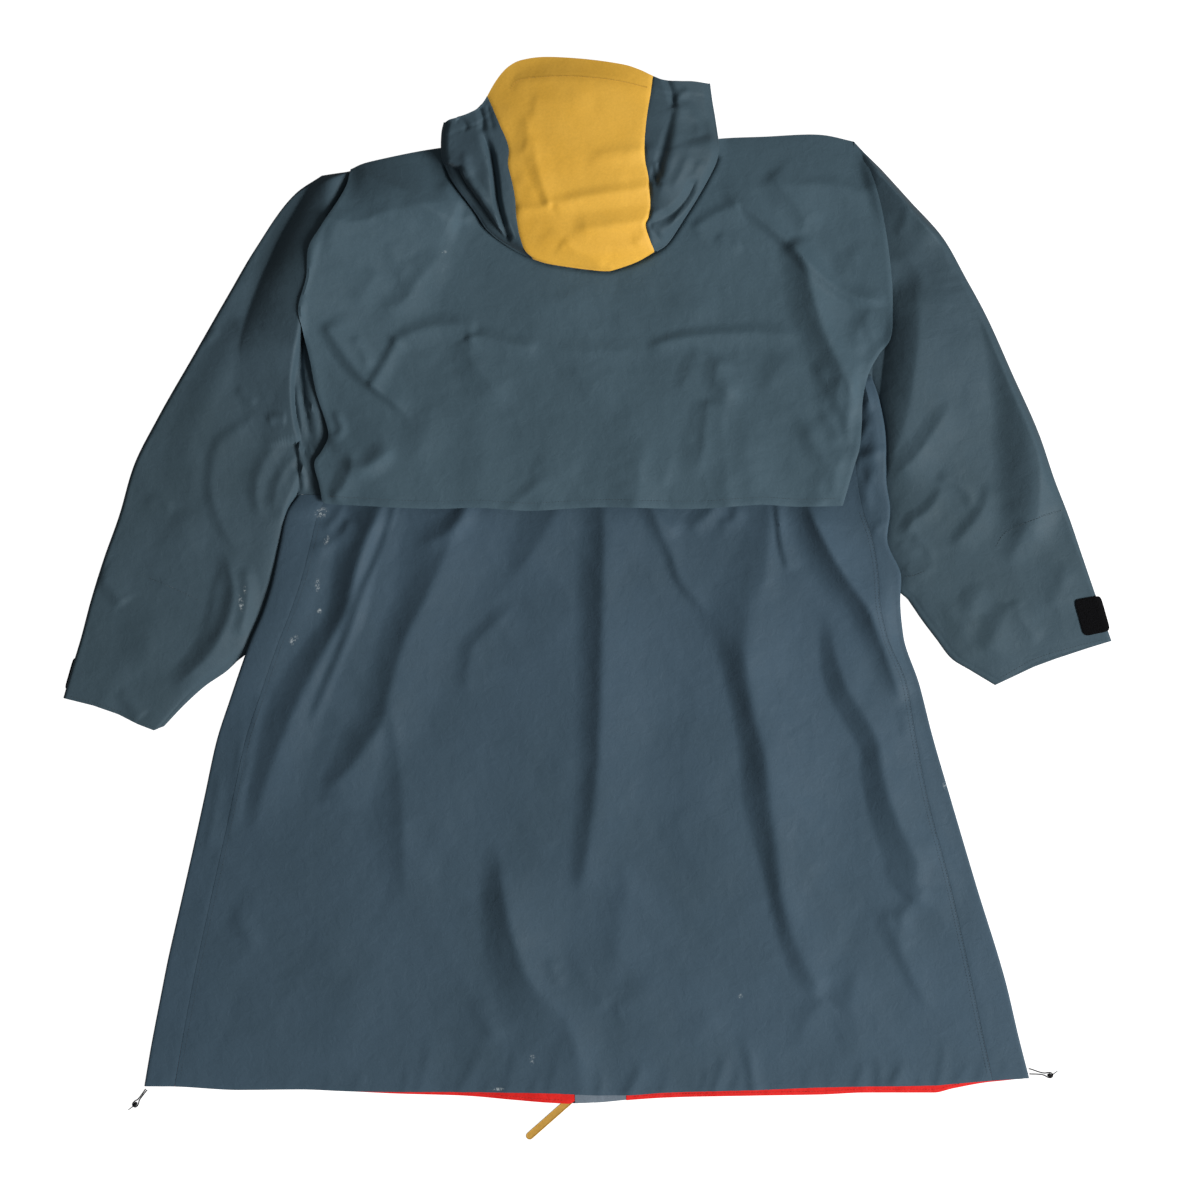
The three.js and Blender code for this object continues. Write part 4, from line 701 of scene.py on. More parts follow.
for side, loop in (("left", LOOP_LEFT), ("right", LOOP_RIGHT)):
    route = np.array([(*loop_point(loop, t, s), z) for t, s, z in loop["rows"]])
    route = fine(route, 38)
    points = frame_points(route[:, 0], route[:, 1], route[:, 2])
    # a knot of two wraps with a short tail
    parts = []
    tx, td = loop["to"]
    axis = np.array([tx, -td, 0.0])
    cross = np.array([td, tx, 0.0])
    cx, cd = loop_point(loop, loop["knot"], 0)
    centre = frame_points(cx, cd, 1.95)
    body = np.linspace(-1, 1, 13)
    radii = 1.8 * np.sqrt(np.clip(1 - body ** 2, 0.02, 1)) * (1 + 0.10 * np.cos(body * 9.0))
    parts.append(tapered(centre + axis * body[:, None] * 0.0027, radii / 1000.0, 14))
    for shift, lean in ((-0.75, 0.35), (0.45, -0.35)):
        turn = np.linspace(0, 2 * math.pi, 22)
        wrap = (centre + axis * (shift + lean * np.cos(turn))[:, None] / 1000.0
                + cross * (1.62 * np.cos(turn))[:, None] / 1000.0
                + np.array([0, 0, 1.0]) * (1.5 * np.sin(turn))[:, None] / 1000.0)
        parts.append(tapered(wrap, np.full(22, 0.42 / 1000), 8))
    tail_to = (-0.8, -0.6) if side == "left" else (0.83, 0.56)
    tail = [centre + axis * 0.0012 + np.array([0, 0, 0.0010])]
    for step, drop in ((2.0, 1.2), (4.0, 0.6), (6.2, -0.2), (8.2, -0.75)):
        tail.append(centre + axis * 0.0012 + np.array([tail_to[0], tail_to[1], 0]) * step / 1000
                    + np.array([0, 0, drop / 1000]))
    tail = fine(np.array(tail), 12)
    tail[:, 2] = np.maximum(tail[:, 2], 0.0006)
    parts.append(tapered(tail, np.linspace(0.62, 0.34, 12) / 1000, 8))
    knot = put(f"knot_{side}", *join_parts(parts), BRAID)
    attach(knot, "root")
    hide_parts(f"hem_knot_{side}")

    curve = bpy.data.curves.new(f"drawcord_{side}", "CURVE")
    curve.dimensions = "3D"
    line = curve.splines.new("POLY")
    line.points.add(len(points) - 1)
    for n, p in enumerate(points):
        line.points[n].co = (*p, 1.0)
    curve.bevel_depth = CORD / 2000.0
    curve.bevel_resolution = 3
    curve.use_fill_caps = True
    curve.materials.append(BRAID)
    cord = bpy.data.objects.new(f"drawcord_{side}", curve)
    bpy.context.scene.collection.objects.link(cord)
    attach(cord, "root")
    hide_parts(f"hem_cord_{side}")

# ------------------------------------------------------------------ outlines
SIDE_LEFT = [
    (495, 299, 330), (513, 287, 319), (545, 280, 311), (583, 272, 301), (612, 263, 291),
    (640, 251, 280), (662, 243, 272), (700, 230, 259), (740, 217, 246), (795, 205, 234),
    (850, 193, 222), (905, 180.5, 210), (960, 168, 198), (993, 161.5, 191.5), (1045, 151.5, 182),
    (1086, 144.5, 175),
]
SIDE_RIGHT = [
    (376, 871, 850), (400, 879, 852), (446, 886, 854), (478, 886, 857), (511, 890, 863),
    (539, 887, 872), (578, 901, 878), (600, 900, 879), (635, 903, 886), (684, 919, 906),
    (735, 932, 915), (797, 950, 927), (885, 976, 950), (983.6, 1006, 972), (1036.8, 1018.5, 983),
    (1078, 1029, 992),
]
EDGE_L = spline([r[0] for r in SIDE_LEFT], [r[1] for r in SIDE_LEFT])
SEAM_L = spline([r[0] for r in SIDE_LEFT], [r[2] for r in SIDE_LEFT])
EDGE_R = spline([r[0] for r in SIDE_RIGHT], [r[1] for r in SIDE_RIGHT])
SEAM_R = spline([r[0] for r in SIDE_RIGHT], [r[2] for r in SIDE_RIGHT])
HEM = [
    (144, 1086, 1085), (168, 1086, 1085.5), (239, 1089.5, 1088), (300, 1089, 1088.5), (355, 1091, 1091),
    (397, 1091.5, 1093), (463, 1091.5, 1095), (511, 1092, 1099), (550, 1092.5, 1102), (575, 1093.5, 1103),
    (600, 1094.5, 1102), (626, 1094.5, 1099.5), (665, 1092, 1097), (760, 1089.5, 1095), (820, 1087, 1094),
    (866, 1086, 1092), (934, 1085, 1092), (952, 1083.5, 1088), (988, 1080.5, 1081.5), (1003, 1079.5, 1080),
    (1029, 1078, 1077),
]
HEM_BACK = spline([r[0] for r in HEM], [r[1] for r in HEM])
HEM_FRONT = spline([r[0] for r in HEM], [r[2] for r in HEM])
HOLE_BACK_L = [(361, 188), (357, 220), (352, 258), (347, 300), (343, 345), (339, 395), (334, 445)]
HOLE_BACK_R = [(846, 158), (850, 186), (853, 216), (855, 248), (855, 281), (854, 314), (852, 346)]
HOLE_FRONT_L = [(356, 176), (351, 250), (344, 330), (336, 410), (322, 465)]
HOLE_FRONT_R = [(849, 148), (861, 195), (867, 245), (869, 295), (869, 340)]
TOP_FRONT_L = [(356, 176), (400, 160), (455, 151), (490, 170), (530, 186), (577.7, 194)]
TOP_FRONT_R = [(594.3, 194), (645, 186), (690, 166), (717, 144), (790, 140), (849, 148)]
TOP_BACK = [(361, 188), (400, 174), (452, 166), (510, 178), (588, 184), (660, 176), (712, 158),
            (790, 152), (846, 158)]
CAPE_LEFT = [
    (351, 170), (350, 175), (347, 187), (338, 204), (322, 229), (310, 250), (308, 279), (300, 309),
    (304, 332), (311, 361), (317, 393), (327, 424), (329, 438), (322, 452), (315, 464), (320, 485), (323, 502),
]
CAPE_RIGHT = [
    (854, 142), (857, 147), (863, 158), (871, 175), (880, 205), (886, 236), (890, 268), (892, 300),
    (890, 338), (879, 354), (868, 374), (862, 400), (861, 425), (859, 448), (853, 468), (842, 506),
]
CAPE_HEM = [
    (323, 502), (328, 504), (364, 506), (400, 508), (440, 509), (479, 508), (528, 511), (574, 508.5),
    (608, 507.5), (694, 509), (749, 505.5), (766, 505), (798, 507), (842, 506),
]
CAPE_TOP = [
    (351, 170), (372, 162), (441, 148.5), (475, 152), (520, 163), (590, 168), (650, 162), (690, 148),
    (717, 139.5), (765, 137), (818, 135), (854, 142),
]


def zip_lift(x, d):
    return PULL_LIFT * ramp(95, 42, np.abs(x - ZIP_X)) * ramp(1010, 1062, d)


def back_lift(x, d):
    return (PULL_LIFT + 0.2) * (1 - ease(64, 155, np.abs(x - ZIP_X))) * ease(940, 1032, d)


def sleeve_under(d, left):
    start, full, until, gone = (495, 513, 662, 700) if left else (376, 400, 600, 635)
    return ramp(start, full, d) * ramp(gone, until, d)


# ------------------------------------------------------------------ folds
BACK_FOLDS = [
    # the long pleats that hang from under the cape's hem
    fold([(606, 488), (605, 560), (603, 640), (601, 720), (598, 780), (591, 835), (580, 895)],
         (27, 27, 25, 23, 19, 13), 78, (9, 10, 10, 9.5, 8, 6, 4), q=1.8, crest=3.2, end=0.06),
    fold([(648, 492), (659, 528), (671, 552), (681, 580), (704, 607), (716, 618)],
         (16, 14, 9, 8, 11), 40, (3.5, 4.5, 4.5, 4, 1.5), q=1.7, crest=1.4, end=0.2),
    fold([(694, 592), (718, 618), (740, 648), (756, 690)], (12, 22, 26, 20), 50, (1, 2.6, 3.4, 2), start=0.3, end=0.3,
         crest=3, dome=-1),
    fold([(760, 540), (752, 594), (747, 630), (746, 660), (754, 710), (766, 757), (770, 800), (777, 846), (782, 890),
          (793, 934), (811, 973), (826, 997)], (50, 46, 34, 21, 19, 22, 25, 20, 13, 12, 15, 12),
         (60, 70, 74, 80, 84, 76, 64, 54, 42), (0.5, 3.5, 8, 11.5, 12.5, 12.5, 12.5, 11, 9, 7, 6, 3), q=1.5,
         crest=5.0, start=0.14, end=0.04),
    fold([(769, 490), (769, 530), (765, 570), (757, 608)], (16, 24, 28, 22), 16, (3.5, 4, 3.4, 1.6), q=1.5,
         crest=3, end=0.25),
    fold([(776, 490), (779, 520), (782, 545), (789, 572)], 4.5, 26, (5, 5, 4, 2), q=1.3, crest=1.1, end=0.1),
    fold([(803, 488), (812, 515), (829, 550), (847, 579), (867, 607), (874, 624), (885, 652), (895, 682),
          (903, 708)], (34, 32, 31, 30, 28, 26, 20, 12), 44, (15, 16, 16.5, 16, 15, 12.5, 10, 6.5, 2.5),
         q=2.2, crest=1.4, end=0.1),
    fold([(822, 600), (828, 618), (836, 655), (846, 685), (862, 712), (877, 740), (881, 765), (890, 801),
          (905, 838), (916, 860), (915, 885), (905, 903)], (6, 11, 17, 20, 20, 18, 22, 24, 28, 32, 22),
         (50, 56, 60, 60, 56, 50), (0, 3, 7, 10, 10.5, 10, 10.5, 10.5, 10.5, 10, 7, 3), q=1.15, crest=1.6,
         start=0.16, end=0.04),
    fold([(926, 884), (917, 898), (905, 910), (896, 926)], 10, 16, 2.0, q=1.4, crest=1.2, start=0.15, end=0.2),
    fold([(884, 906), (893, 935), (906, 962), (919, 990), (936, 1012)], (13, 12, 10, 8), 30, (2.4, 3.0, 2.4, 1.4),
         q=1.5, crest=1.3, start=0.12, end=0.2),
    fold([(906, 916), (900, 934), (908, 950)], 9, 18, 1.4, q=1.4, crest=1.2, start=0.2, end=0.3),
    fold([(900, 706), (905, 724), (904, 744)], 8, 16, 1.4, q=1.4, crest=1.6, start=0.3, end=0.4),
    fold([(496, 822), (500, 868), (506, 902), (513, 935), (524, 968), (538, 991), (553, 1006), (566, 1020),
          (574, 1038), (578, 1060), (582, 1096)], (8, 16, 22, 26, 32, 36, 44, 56, 66, 70, 70),
         (76, 76, 74, 66, 56, 46, 40, 36, 36, 36), (0, 4, 8, 11, 12, 11, 8.5, 6, 5, 4, 3.4), q=1.4,
         crest=1.4, start=0.2, end=0.0),
    fold([(470, 488), (459, 520), (450, 545), (425, 602), (407, 638), (396, 672), (390, 696), (384, 720),
          (366, 748), (348, 772), (321, 796)], (30, 50, 50, 36, 27, 25, 26, 28, 28, 20, 9),
         (60, 60, 64, 64, 60, 40, 40, 30), (7, 8.5, 9.5, 10.5, 10.5, 9.5, 8.5, 8, 8, 6, 2.5), q=1.6,
         crest=3.0, end=0.06),
    fold([(389, 690), (394, 725), (399, 752), (403, 800), (404, 850), (408, 910)], (6, 12, 26, 34, 34, 18), 70,
         (1.5, 2.6, 4, 5, 4.6, 2.4), q=1.7, crest=1.6, start=0.2, end=0.2),
    # the narrow pleats at the left
    fold([(386, 488), (378, 515), (365, 545), (355, 578), (347, 612), (325, 652), (302, 696), (285, 735),
          (271, 772), (262, 800), (254, 842)], (34, 30, 25, 20, 17, 23, 27, 25, 19, 14, 10),
         (17, 17, 18, 20, 26, 32, 34, 30), (11, 13, 12, 10.5, 8, 8, 8, 7, 5, 3.4, 2), q=1.4, qs=1.3, crest=2.2, end=0.12),
    fold([(401, 488), (391, 528), (379, 560), (366, 590), (349, 637), (324, 696), (309, 730)],
         (8, 8, 8, 9, 8, 8, 6), (50, 54, 58, 58, 50, 40), (5.5, 6, 6, 5.5, 5, 4, 2), q=1.35, crest=1.1, end=0.1),
    fold([(352, 520), (338, 540), (322, 548), (306, 545)], 9, 14, 2.6, q=1.4, crest=1.3, start=0.1, end=0.3),
    fold([(344, 506), (334, 522), (322, 532)], 8, 10, 2.4, q=1.4, crest=1.3, start=0.1, end=0.3),
    fold([(330, 520), (314, 572), (298, 620), (288, 664)], 30, 28, 2.8, crest=6, start=0.1, end=0.4),
    fold([(318, 798), (342, 801), (362, 808)], 12, 10, 1.4, crest=1.6, start=0.2, end=0.5),
    fold([(243, 735), (236, 790), (229, 845)], 5, 9, 1.1, crest=1.4, start=0.2, end=0.3),
    fold([(252, 752), (241, 792), (236, 830)], 5, 7, 0.9, crest=1.4, start=0.2, end=0.3),
    fold([(262, 690), (252, 735), (247, 770)], 5, 7, 0.8, crest=1.4, start=0.2, end=0.3),
    fold([(220, 770), (214, 815), (206, 856)], 6, 9, 0.9, crest=1.4, start=0.2, end=0.3),
    fold([(238, 900), (246, 930), (262, 948)], 14, 16, 1.6, crest=3, start=0.4, end=0.3),
    # the middle
    fold([(564, 492), (551, 524), (532, 554), (503, 592)], (30, 32, 26, 14), 52, (5, 5, 4, 1.6), q=1.6,
         crest=2.4, end=0.4),
    fold([(526, 598), (500, 620), (482, 637), (472, 650), (468, 680), (474, 706)], (10, 12, 13, 12),
         (34, 36, 50), (0.6, 2.2, 3.2, 3, 2.2, 1.2), q=1.5, crest=1.6, start=0.2, end=0.25),
    fold([(560, 950), (585, 978), (609, 1009)], (26, 30, 22), 34, (1, 2.2, 2.6), q=1.5, crest=1.8, start=0.5, end=0.15),
    fold([(664, 982), (634, 997), (610, 1010)], (18, 22, 14), 30, 1.8, q=1.5, crest=1.8, start=0.5, end=0.15),
    fold([(632, 850), (622, 920), (616, 985)], 26, 50, 2.6, crest=4, start=0.4, end=0.3),
    fold([(826, 998), (808, 1020), (794, 1056)], (14, 18, 12), 44, 2.2, q=1.5, crest=1.5, start=0.08, end=0.6),
    fold([(470, 488), (465, 514), (451, 531), (432, 541), (411, 547)], (10, 13, 15, 12), 15,
         (5, 5, 4, 3, 1.6), q=1.3, crest=1.6, end=0.25),
    fold([(716, 488), (714, 506), (702, 520), (686, 533)], (12, 14, 12), 14, (4.5, 4.5, 3.4, 2), q=1.4, crest=1.4,
         end=0.2),
    fold([(738, 506), (733, 520), (716, 526)], 7, 12, 2.4, q=1.4, crest=1.3, start=0.1, end=0.3),
    fold([(640, 488), (650, 506), (664, 524), (682, 534)], (14, 14, 10), 18, (4.5, 4.5, 3, 1.6), q=1.5, crest=1.4,
         end=0.2),
    # right of the cape's edge, by the armhole
    fold([(867, 372), (878, 398), (884, 430), (885, 468), (884, 500)], (14, 20, 24, 22, 14), 4,
         (8, 10, 10, 8, 4), q=1.2, crest=1.2, start=0.06, end=0.2, dome=1.7),
    fold([(884, 450), (870, 456), (856, 461)], 9, 9, 3.6, q=1.3, crest=1.0, start=0.05, end=0.1),
    fold([(868, 422), (862, 436), (858, 446)], 6, 7, 2.6, q=1.3, crest=1.0, start=0.1, end=0.2),
    fold([(862, 378), (868, 398), (866, 414)], 5, 7, 3.2, q=1.2, crest=1.0, start=0.1, end=0.3),
    fold([(886, 520), (878, 528), (870, 530)], 6, 8, 1.8, q=1.3, crest=1.1, start=0.1, end=0.3),
    fold([(872, 470), (866, 492), (870, 512)], 9, 8, 2.0, q=1.4, crest=1.4, start=0.2, end=0.3),
    # wide soft swells
    fold([(330, 890), (340, 960), (352, 1040)], 60, 60, 1.6, crest=16, start=0.3, end=0.3),
    fold([(452, 700), (446, 800), (452, 900)], 50, 60, 1.8, crest=14, start=0.3, end=0.3),
    fold([(690, 720), (700, 820), (716, 920)], 46, 40, 1.6, crest=14, start=0.3, end=0.3),
    fold([(858, 950), (852, 1010), (868, 1060)], 24, 44, 2.6, crest=4, start=0.3, end=0.3),
    fold([(470, 1000), (486, 1020), (500, 1044)], 14, 20, 2.0, crest=2, start=0.3, end=0.3),
    fold([(720, 1010), (700, 1030), (690, 1050)], 20, 30, 1.4, crest=3, start=0.3, end=0.3),
    fold([(548, 955), (556, 975), (566, 990)], 10, 16, 1.6, crest=2, start=0.3, end=0.4),
]
# puckers of the hem: short ridges up from the hem
CHANCE = np.random.RandomState(5)
for foot, head, high, wide in (
    ((160, 1086), (164, 1066), 1.2, 1.0), ((196, 1088), (199, 1070), 1.1, 1.0), ((236, 1090), (238, 1068), 1.1, 1.0),
    ((285, 1089), (289, 1066), 2.2, 0.9), ((326, 1090), (330, 1068), 2.0, 0.9), ((354, 1090), (361, 1066), 2.0, 1.0),
    ((404, 1091), (409, 1066), 2.4, 0.9), ((419, 1091), (433, 1024), 4.2, 1.7), ((446, 1092), (450, 1072), 1.6, 0.9),
    ((460, 1092), (478, 1054), 2.6, 1.2), ((486, 1092), (490, 1070), 1.4, 0.8), ((506, 1092), (514, 1048), 3.0, 1.4),
    ((532, 1092), (536, 1070), 1.4, 0.9), ((548, 1092), (555, 1060), 1.8, 0.9), ((600, 1094), (600, 1072), 1.4, 0.8),
    ((628, 1094), (642, 1060), 2.6, 1.2), ((663, 1092), (667, 1072), 1.2, 0.8), ((694, 1090), (690, 1068), 1.3, 0.8),
    ((702, 1090), (710, 1056), 2.8, 1.1), ((714, 1090), (724, 1058), 2.2, 0.9), ((734, 1090), (738, 1066), 1.4, 0.8),
    ((754, 1089), (747, 1052), 3.0, 1.1), ((776, 1089), (780, 1070), 1.3, 0.9), ((804, 1088), (808, 1068), 1.8, 1.0),
    ((828, 1087), (830, 1070), 1.2, 0.9), ((856, 1086), (863, 1058), 2.4, 1.0), ((880, 1086), (876, 1060), 1.8, 0.9),
    ((893, 1086), (904, 1050), 3.6, 1.5), ((920, 1085), (914, 1064), 1.6, 0.9), ((938, 1085), (942, 1052), 2.0, 1.0),
    ((954, 1083), (966, 1064), 2.2, 1.0), ((978, 1081), (984, 1062), 1.6, 0.9), ((1000, 1080), (1004, 1066), 1.2, 0.9),
):
    luck = CHANCE.rand(3)
    reach = 0.75 + 0.9 * luck[0]
    head = tuple(np.array(foot) + (np.array(head) - np.array(foot)) * reach)
    BACK_FOLDS.append(fold([head, lerp(np.array(head), np.array(foot), 0.5) + (1.5, 0), foot], (4 + 4 * luck[1]) * wide,
                           (10 + 10 * luck[2]) * wide, high * (0.3 + 0.55 * luck[1]) * (0.6 if foot[0] < 480 else 1.0), crest=1.2, start=0.6, end=0.0))

CAPE_FOLDS = [
    fold([(718, 193), (748, 210), (782, 238), (805, 262), (829, 284), (852, 297), (888, 304)],
         (10, 10, 9, 9, 10, 9, 6), (18, 20, 18, 16, 14), (2, 4, 5, 5, 4.5, 4, 3), q=1.5, crest=1.1, start=0.1, end=0.1),
    fold([(790, 238), (804, 264), (813, 297), (823, 330), (839, 366), (853, 396), (860, 436)],
         (20, 26, 30, 30, 28, 24, 18), (22, 28, 34, 34, 24), (5, 9, 10.5, 10.5, 10, 8, 4), q=1.6, crest=1.6, start=0.06,
         end=0.2),
    fold([(768, 172), (780, 186), (796, 206), (812, 230)], (16, 20, 18, 12), 34, 3.2, q=1.5, crest=1.5, start=0.15, end=0.2),
    fold([(880, 198), (840, 187), (806, 186), (786, 188)], (10, 12, 10), 26, 1.6, q=1.5, crest=1.3, start=0.15, end=0.3),
    fold([(740, 205), (714, 216), (690, 232)], (7, 9, 6), 24, 2.2, q=1.4, crest=1.2, start=0.1, end=0.15),
    fold([(716, 236), (730, 246), (742, 244)], 10, 14, 1.3, q=1.4, crest=1.3, start=0.2, end=0.2),
    fold([(462, 225), (450, 221), (428, 208), (409, 194), (391, 187), (349, 168)], (30, 34, 32, 26, 12), (34, 40, 40, 30),
         (6, 10, 11, 11, 10, 8), q=1.1, qs=1.5, crest=1.2, start=0.1, end=0.0),
    fold([(479, 329), (452, 326), (428, 329), (384, 345)], (11, 13, 12, 6), (20, 18, 14), (2.6, 3, 2.8, 2), q=1.4, crest=1.3,
         start=0.1, end=0.15),
    fold([(540, 348), (510, 345), (482, 338), (464, 340)], (8, 12, 12, 8), 16, (1.6, 2.6, 3, 3), q=1.4, crest=1.2, start=0.15,
         end=0.1),
    fold([(650, 350), (600, 352), (548, 348)], 12, 16, 1.2, q=1.5, crest=2, start=0.3, end=0.3),
    fold([(806, 338), (770, 334), (740, 334), (706, 336), (676, 340), (646, 349)], (12, 12, 10, 9, 8), (20, 18, 14),
         (2.2, 2.4, 2.8, 3, 3, 2.4), q=1.4, crest=1.3, start=0.15, end=0.1),
    fold([(463, 340), (474, 362), (490, 384), (512, 408)], (12, 22, 26, 14), 36, (1.5, 3.4, 3.2, 1.6), q=1.3, crest=1.2,
         start=0.03, end=0.3),
    fold([(324, 322), (340, 346), (356, 369), (374, 386), (392, 400), (416, 422)], (10, 12, 10, 8, 8, 6),
         (30, 28, 24, 20), (4, 5, 5, 4.6, 4, 2.4), q=1.4, crest=1.2, start=0.1, end=0.2),
    fold([(400, 338), (387, 362), (370, 391)], (6, 8, 6), 14, 3.2, q=1.3, crest=1.1, start=0.1, end=0.1),
    fold([(352, 336), (364, 352), (372, 372)], 8, 10, 2.0, q=1.4, crest=1.4, start=0.2, end=0.3),
    fold([(448, 246), (420, 280), (400, 306), (370, 309)], (14, 18, 16, 10), 24, (2, 3, 3.2, 2), q=1.4, crest=1.6,
         start=0.2, end=0.2),
    fold([(388, 244), (397, 264), (402, 280)], (8, 12, 8), 20, 0.9, q=1.3, crest=1.1, start=0.15, end=0.2),
    fold([(409, 262), (404, 272), (400, 282)], 7, 16, 1.0, q=1.3, crest=1.1, start=0.2, end=0.2),
    fold([(380, 270), (366, 292), (356, 312)], (12, 18, 12), 26, 1.7, q=1.4, crest=1.4, start=0.2, end=0.3),
    fold([(442, 180), (452, 200), (460, 226)], (12, 14, 8), 30, 2.0, q=1.4, crest=1.3, start=0.2, end=0.1),
    fold([(464, 196), (470, 212), (462, 226)], 8, 18, 1.4, q=1.4, crest=1.2, start=0.2, end=0.1),
    fold([(326, 440), (340, 448), (352, 458), (348, 480), (332, 502)], (8, 12, 14, 10), 16, 3.4, q=1.4, crest=1.2,
         start=0.1, end=0.1),
    fold([(334, 410), (342, 430), (330, 440)], 6, 8, 2.2, q=1.3, crest=1.1, start=0.2, end=0.1),
    fold([(396, 446), (374, 462), (352, 482)], 14, 14, 2.0, crest=2, start=0.3, end=0.3),
    fold([(474, 366), (478, 440), (482, 512)], 44, 40, 2.0, crest=10, start=0.4, end=0.0),
    fold([(620, 386), (630, 450), (640, 512)], 46, 44, 1.8, crest=10, start=0.4, end=0.0),
    fold([(720, 350), (726, 392), (722, 430), (730, 512)], (10, 20, 26, 26), 30, 2.4, q=1.5, crest=2.4, start=0.25, end=0.0),
    fold([(752, 396), (748, 450), (756, 512)], 20, 34, 2.2, crest=6, start=0.4, end=0.0),
    fold([(556, 400), (548, 450), (552, 512)], 36, 30, 1.4, crest=10, start=0.4, end=0.0),
    # crumples at the right edge
    fold([(812, 360), (828, 388), (820, 414)], 12, 22, 2.4, q=1.3, crest=1.6, start=0.3, end=0.3),
    fold([(843, 372), (836, 398), (848, 424)], 10, 16, 2.6, q=1.3, crest=1.5, start=0.3, end=0.3),
    fold([(818, 410), (834, 428), (840, 450)], 12, 18, 2.2, q=1.3, crest=1.5, start=0.3, end=0.3),
    fold([(853, 400), (847, 424), (851, 448)], 8, 12, 2.0, q=1.3, crest=1.3, start=0.3, end=0.3),
    fold([(802, 420), (816, 450), (838, 474)], 14, 22, 2.6, q=1.4, crest=1.6, start=0.3, end=0.3),
    fold([(847, 448), (834, 476), (840, 504)], 12, 18, 2.0, q=1.3, crest=1.5, start=0.3, end=0.3),
    fold([(862, 316), (856, 340), (866, 354)], 12, 18, 1.8, q=1.3, crest=1.5, start=0.3, end=0.3),
    fold([(872, 304), (867, 326), (878, 342)], 8, 12, 1.3, q=1.3, crest=1.3, start=0.3, end=0.3),
    fold([(828, 468), (818, 488), (822, 506)], 12, 18, 1.5, q=1.3, crest=1.4, start=0.3, end=0.1),
    fold([(794, 236), (806, 228), (822, 228)], 8, 12, 1.2, q=1.3, crest=1.3, start=0.3, end=0.3),
    # flat facets of the lower half
    fold([(700, 344), (690, 372), (676, 398)], (8, 14, 10), 60, (1.2, 2.2, 1.2), q=1.4, crest=1.4, start=0.2, end=0.3),
    fold([(708, 398), (704, 440), (696, 484)], (14, 22, 26), 20, (2.0, 3.0, 2.4), q=1.2, crest=1.4, start=0.1, end=0.3),
    fold([(650, 430), (640, 468), (636, 508)], (20, 30, 30), 30, (1.0, 2.4, 2.6), q=1.3, crest=2, start=0.3, end=0.0),
    fold([(434, 396), (428, 430), (412, 470)], (18, 26, 18), 30, (1.0, 2.2, 1.2), q=1.3, crest=2, start=0.3, end=0.3),
    fold([(560, 364), (600, 392), (616, 420)], (14, 22, 12), 36, (1.0, 2.0, 1.2), q=1.3, crest=1.6, start=0.3, end=0.4),
    fold([(346, 470), (372, 466), (396, 448)], (10, 12, 8), 20, (1.6, 2.2, 1.4), q=1.3, crest=1.4, start=0.2, end=0.3),
    fold([(722, 356), (716, 380), (734, 394), (742, 398)], (12, 16, 8), 20, 2.4, q=1.4, crest=1.5, start=0.2, end=0.3),
    fold([(790, 352), (774, 378), (760, 396)], 18, 20, 1.6, crest=3, start=0.3, end=0.4),
    fold([(596, 284), (560, 300), (520, 304)], 26, 30, 1.2, crest=5, start=0.4, end=0.4),
    fold([(660, 300), (690, 312), (720, 310)], 24, 30, 1.4, crest=4, start=0.4, end=0.4),
    fold([(342, 200), (334, 232), (332, 262)], 12, 30, 2.4, crest=4, start=0.3, end=0.4),
    fold([(378, 206), (396, 222), (424, 226)], 12, 30, 1.2, crest=2, start=0.3, end=0.4),
    fold([(870, 240), (850, 262), (838, 286)], 14, 30, 1.2, crest=2, start=0.3, end=0.3),
    fold([(552, 474), (520, 500), (508, 511)], 10, 16, 1.4, crest=2, start=0.4, end=0.0),
    fold([(656, 490), (668, 470), (672, 444)], 14, 20, 1.6, crest=2, start=0.3, end=0.4),
]

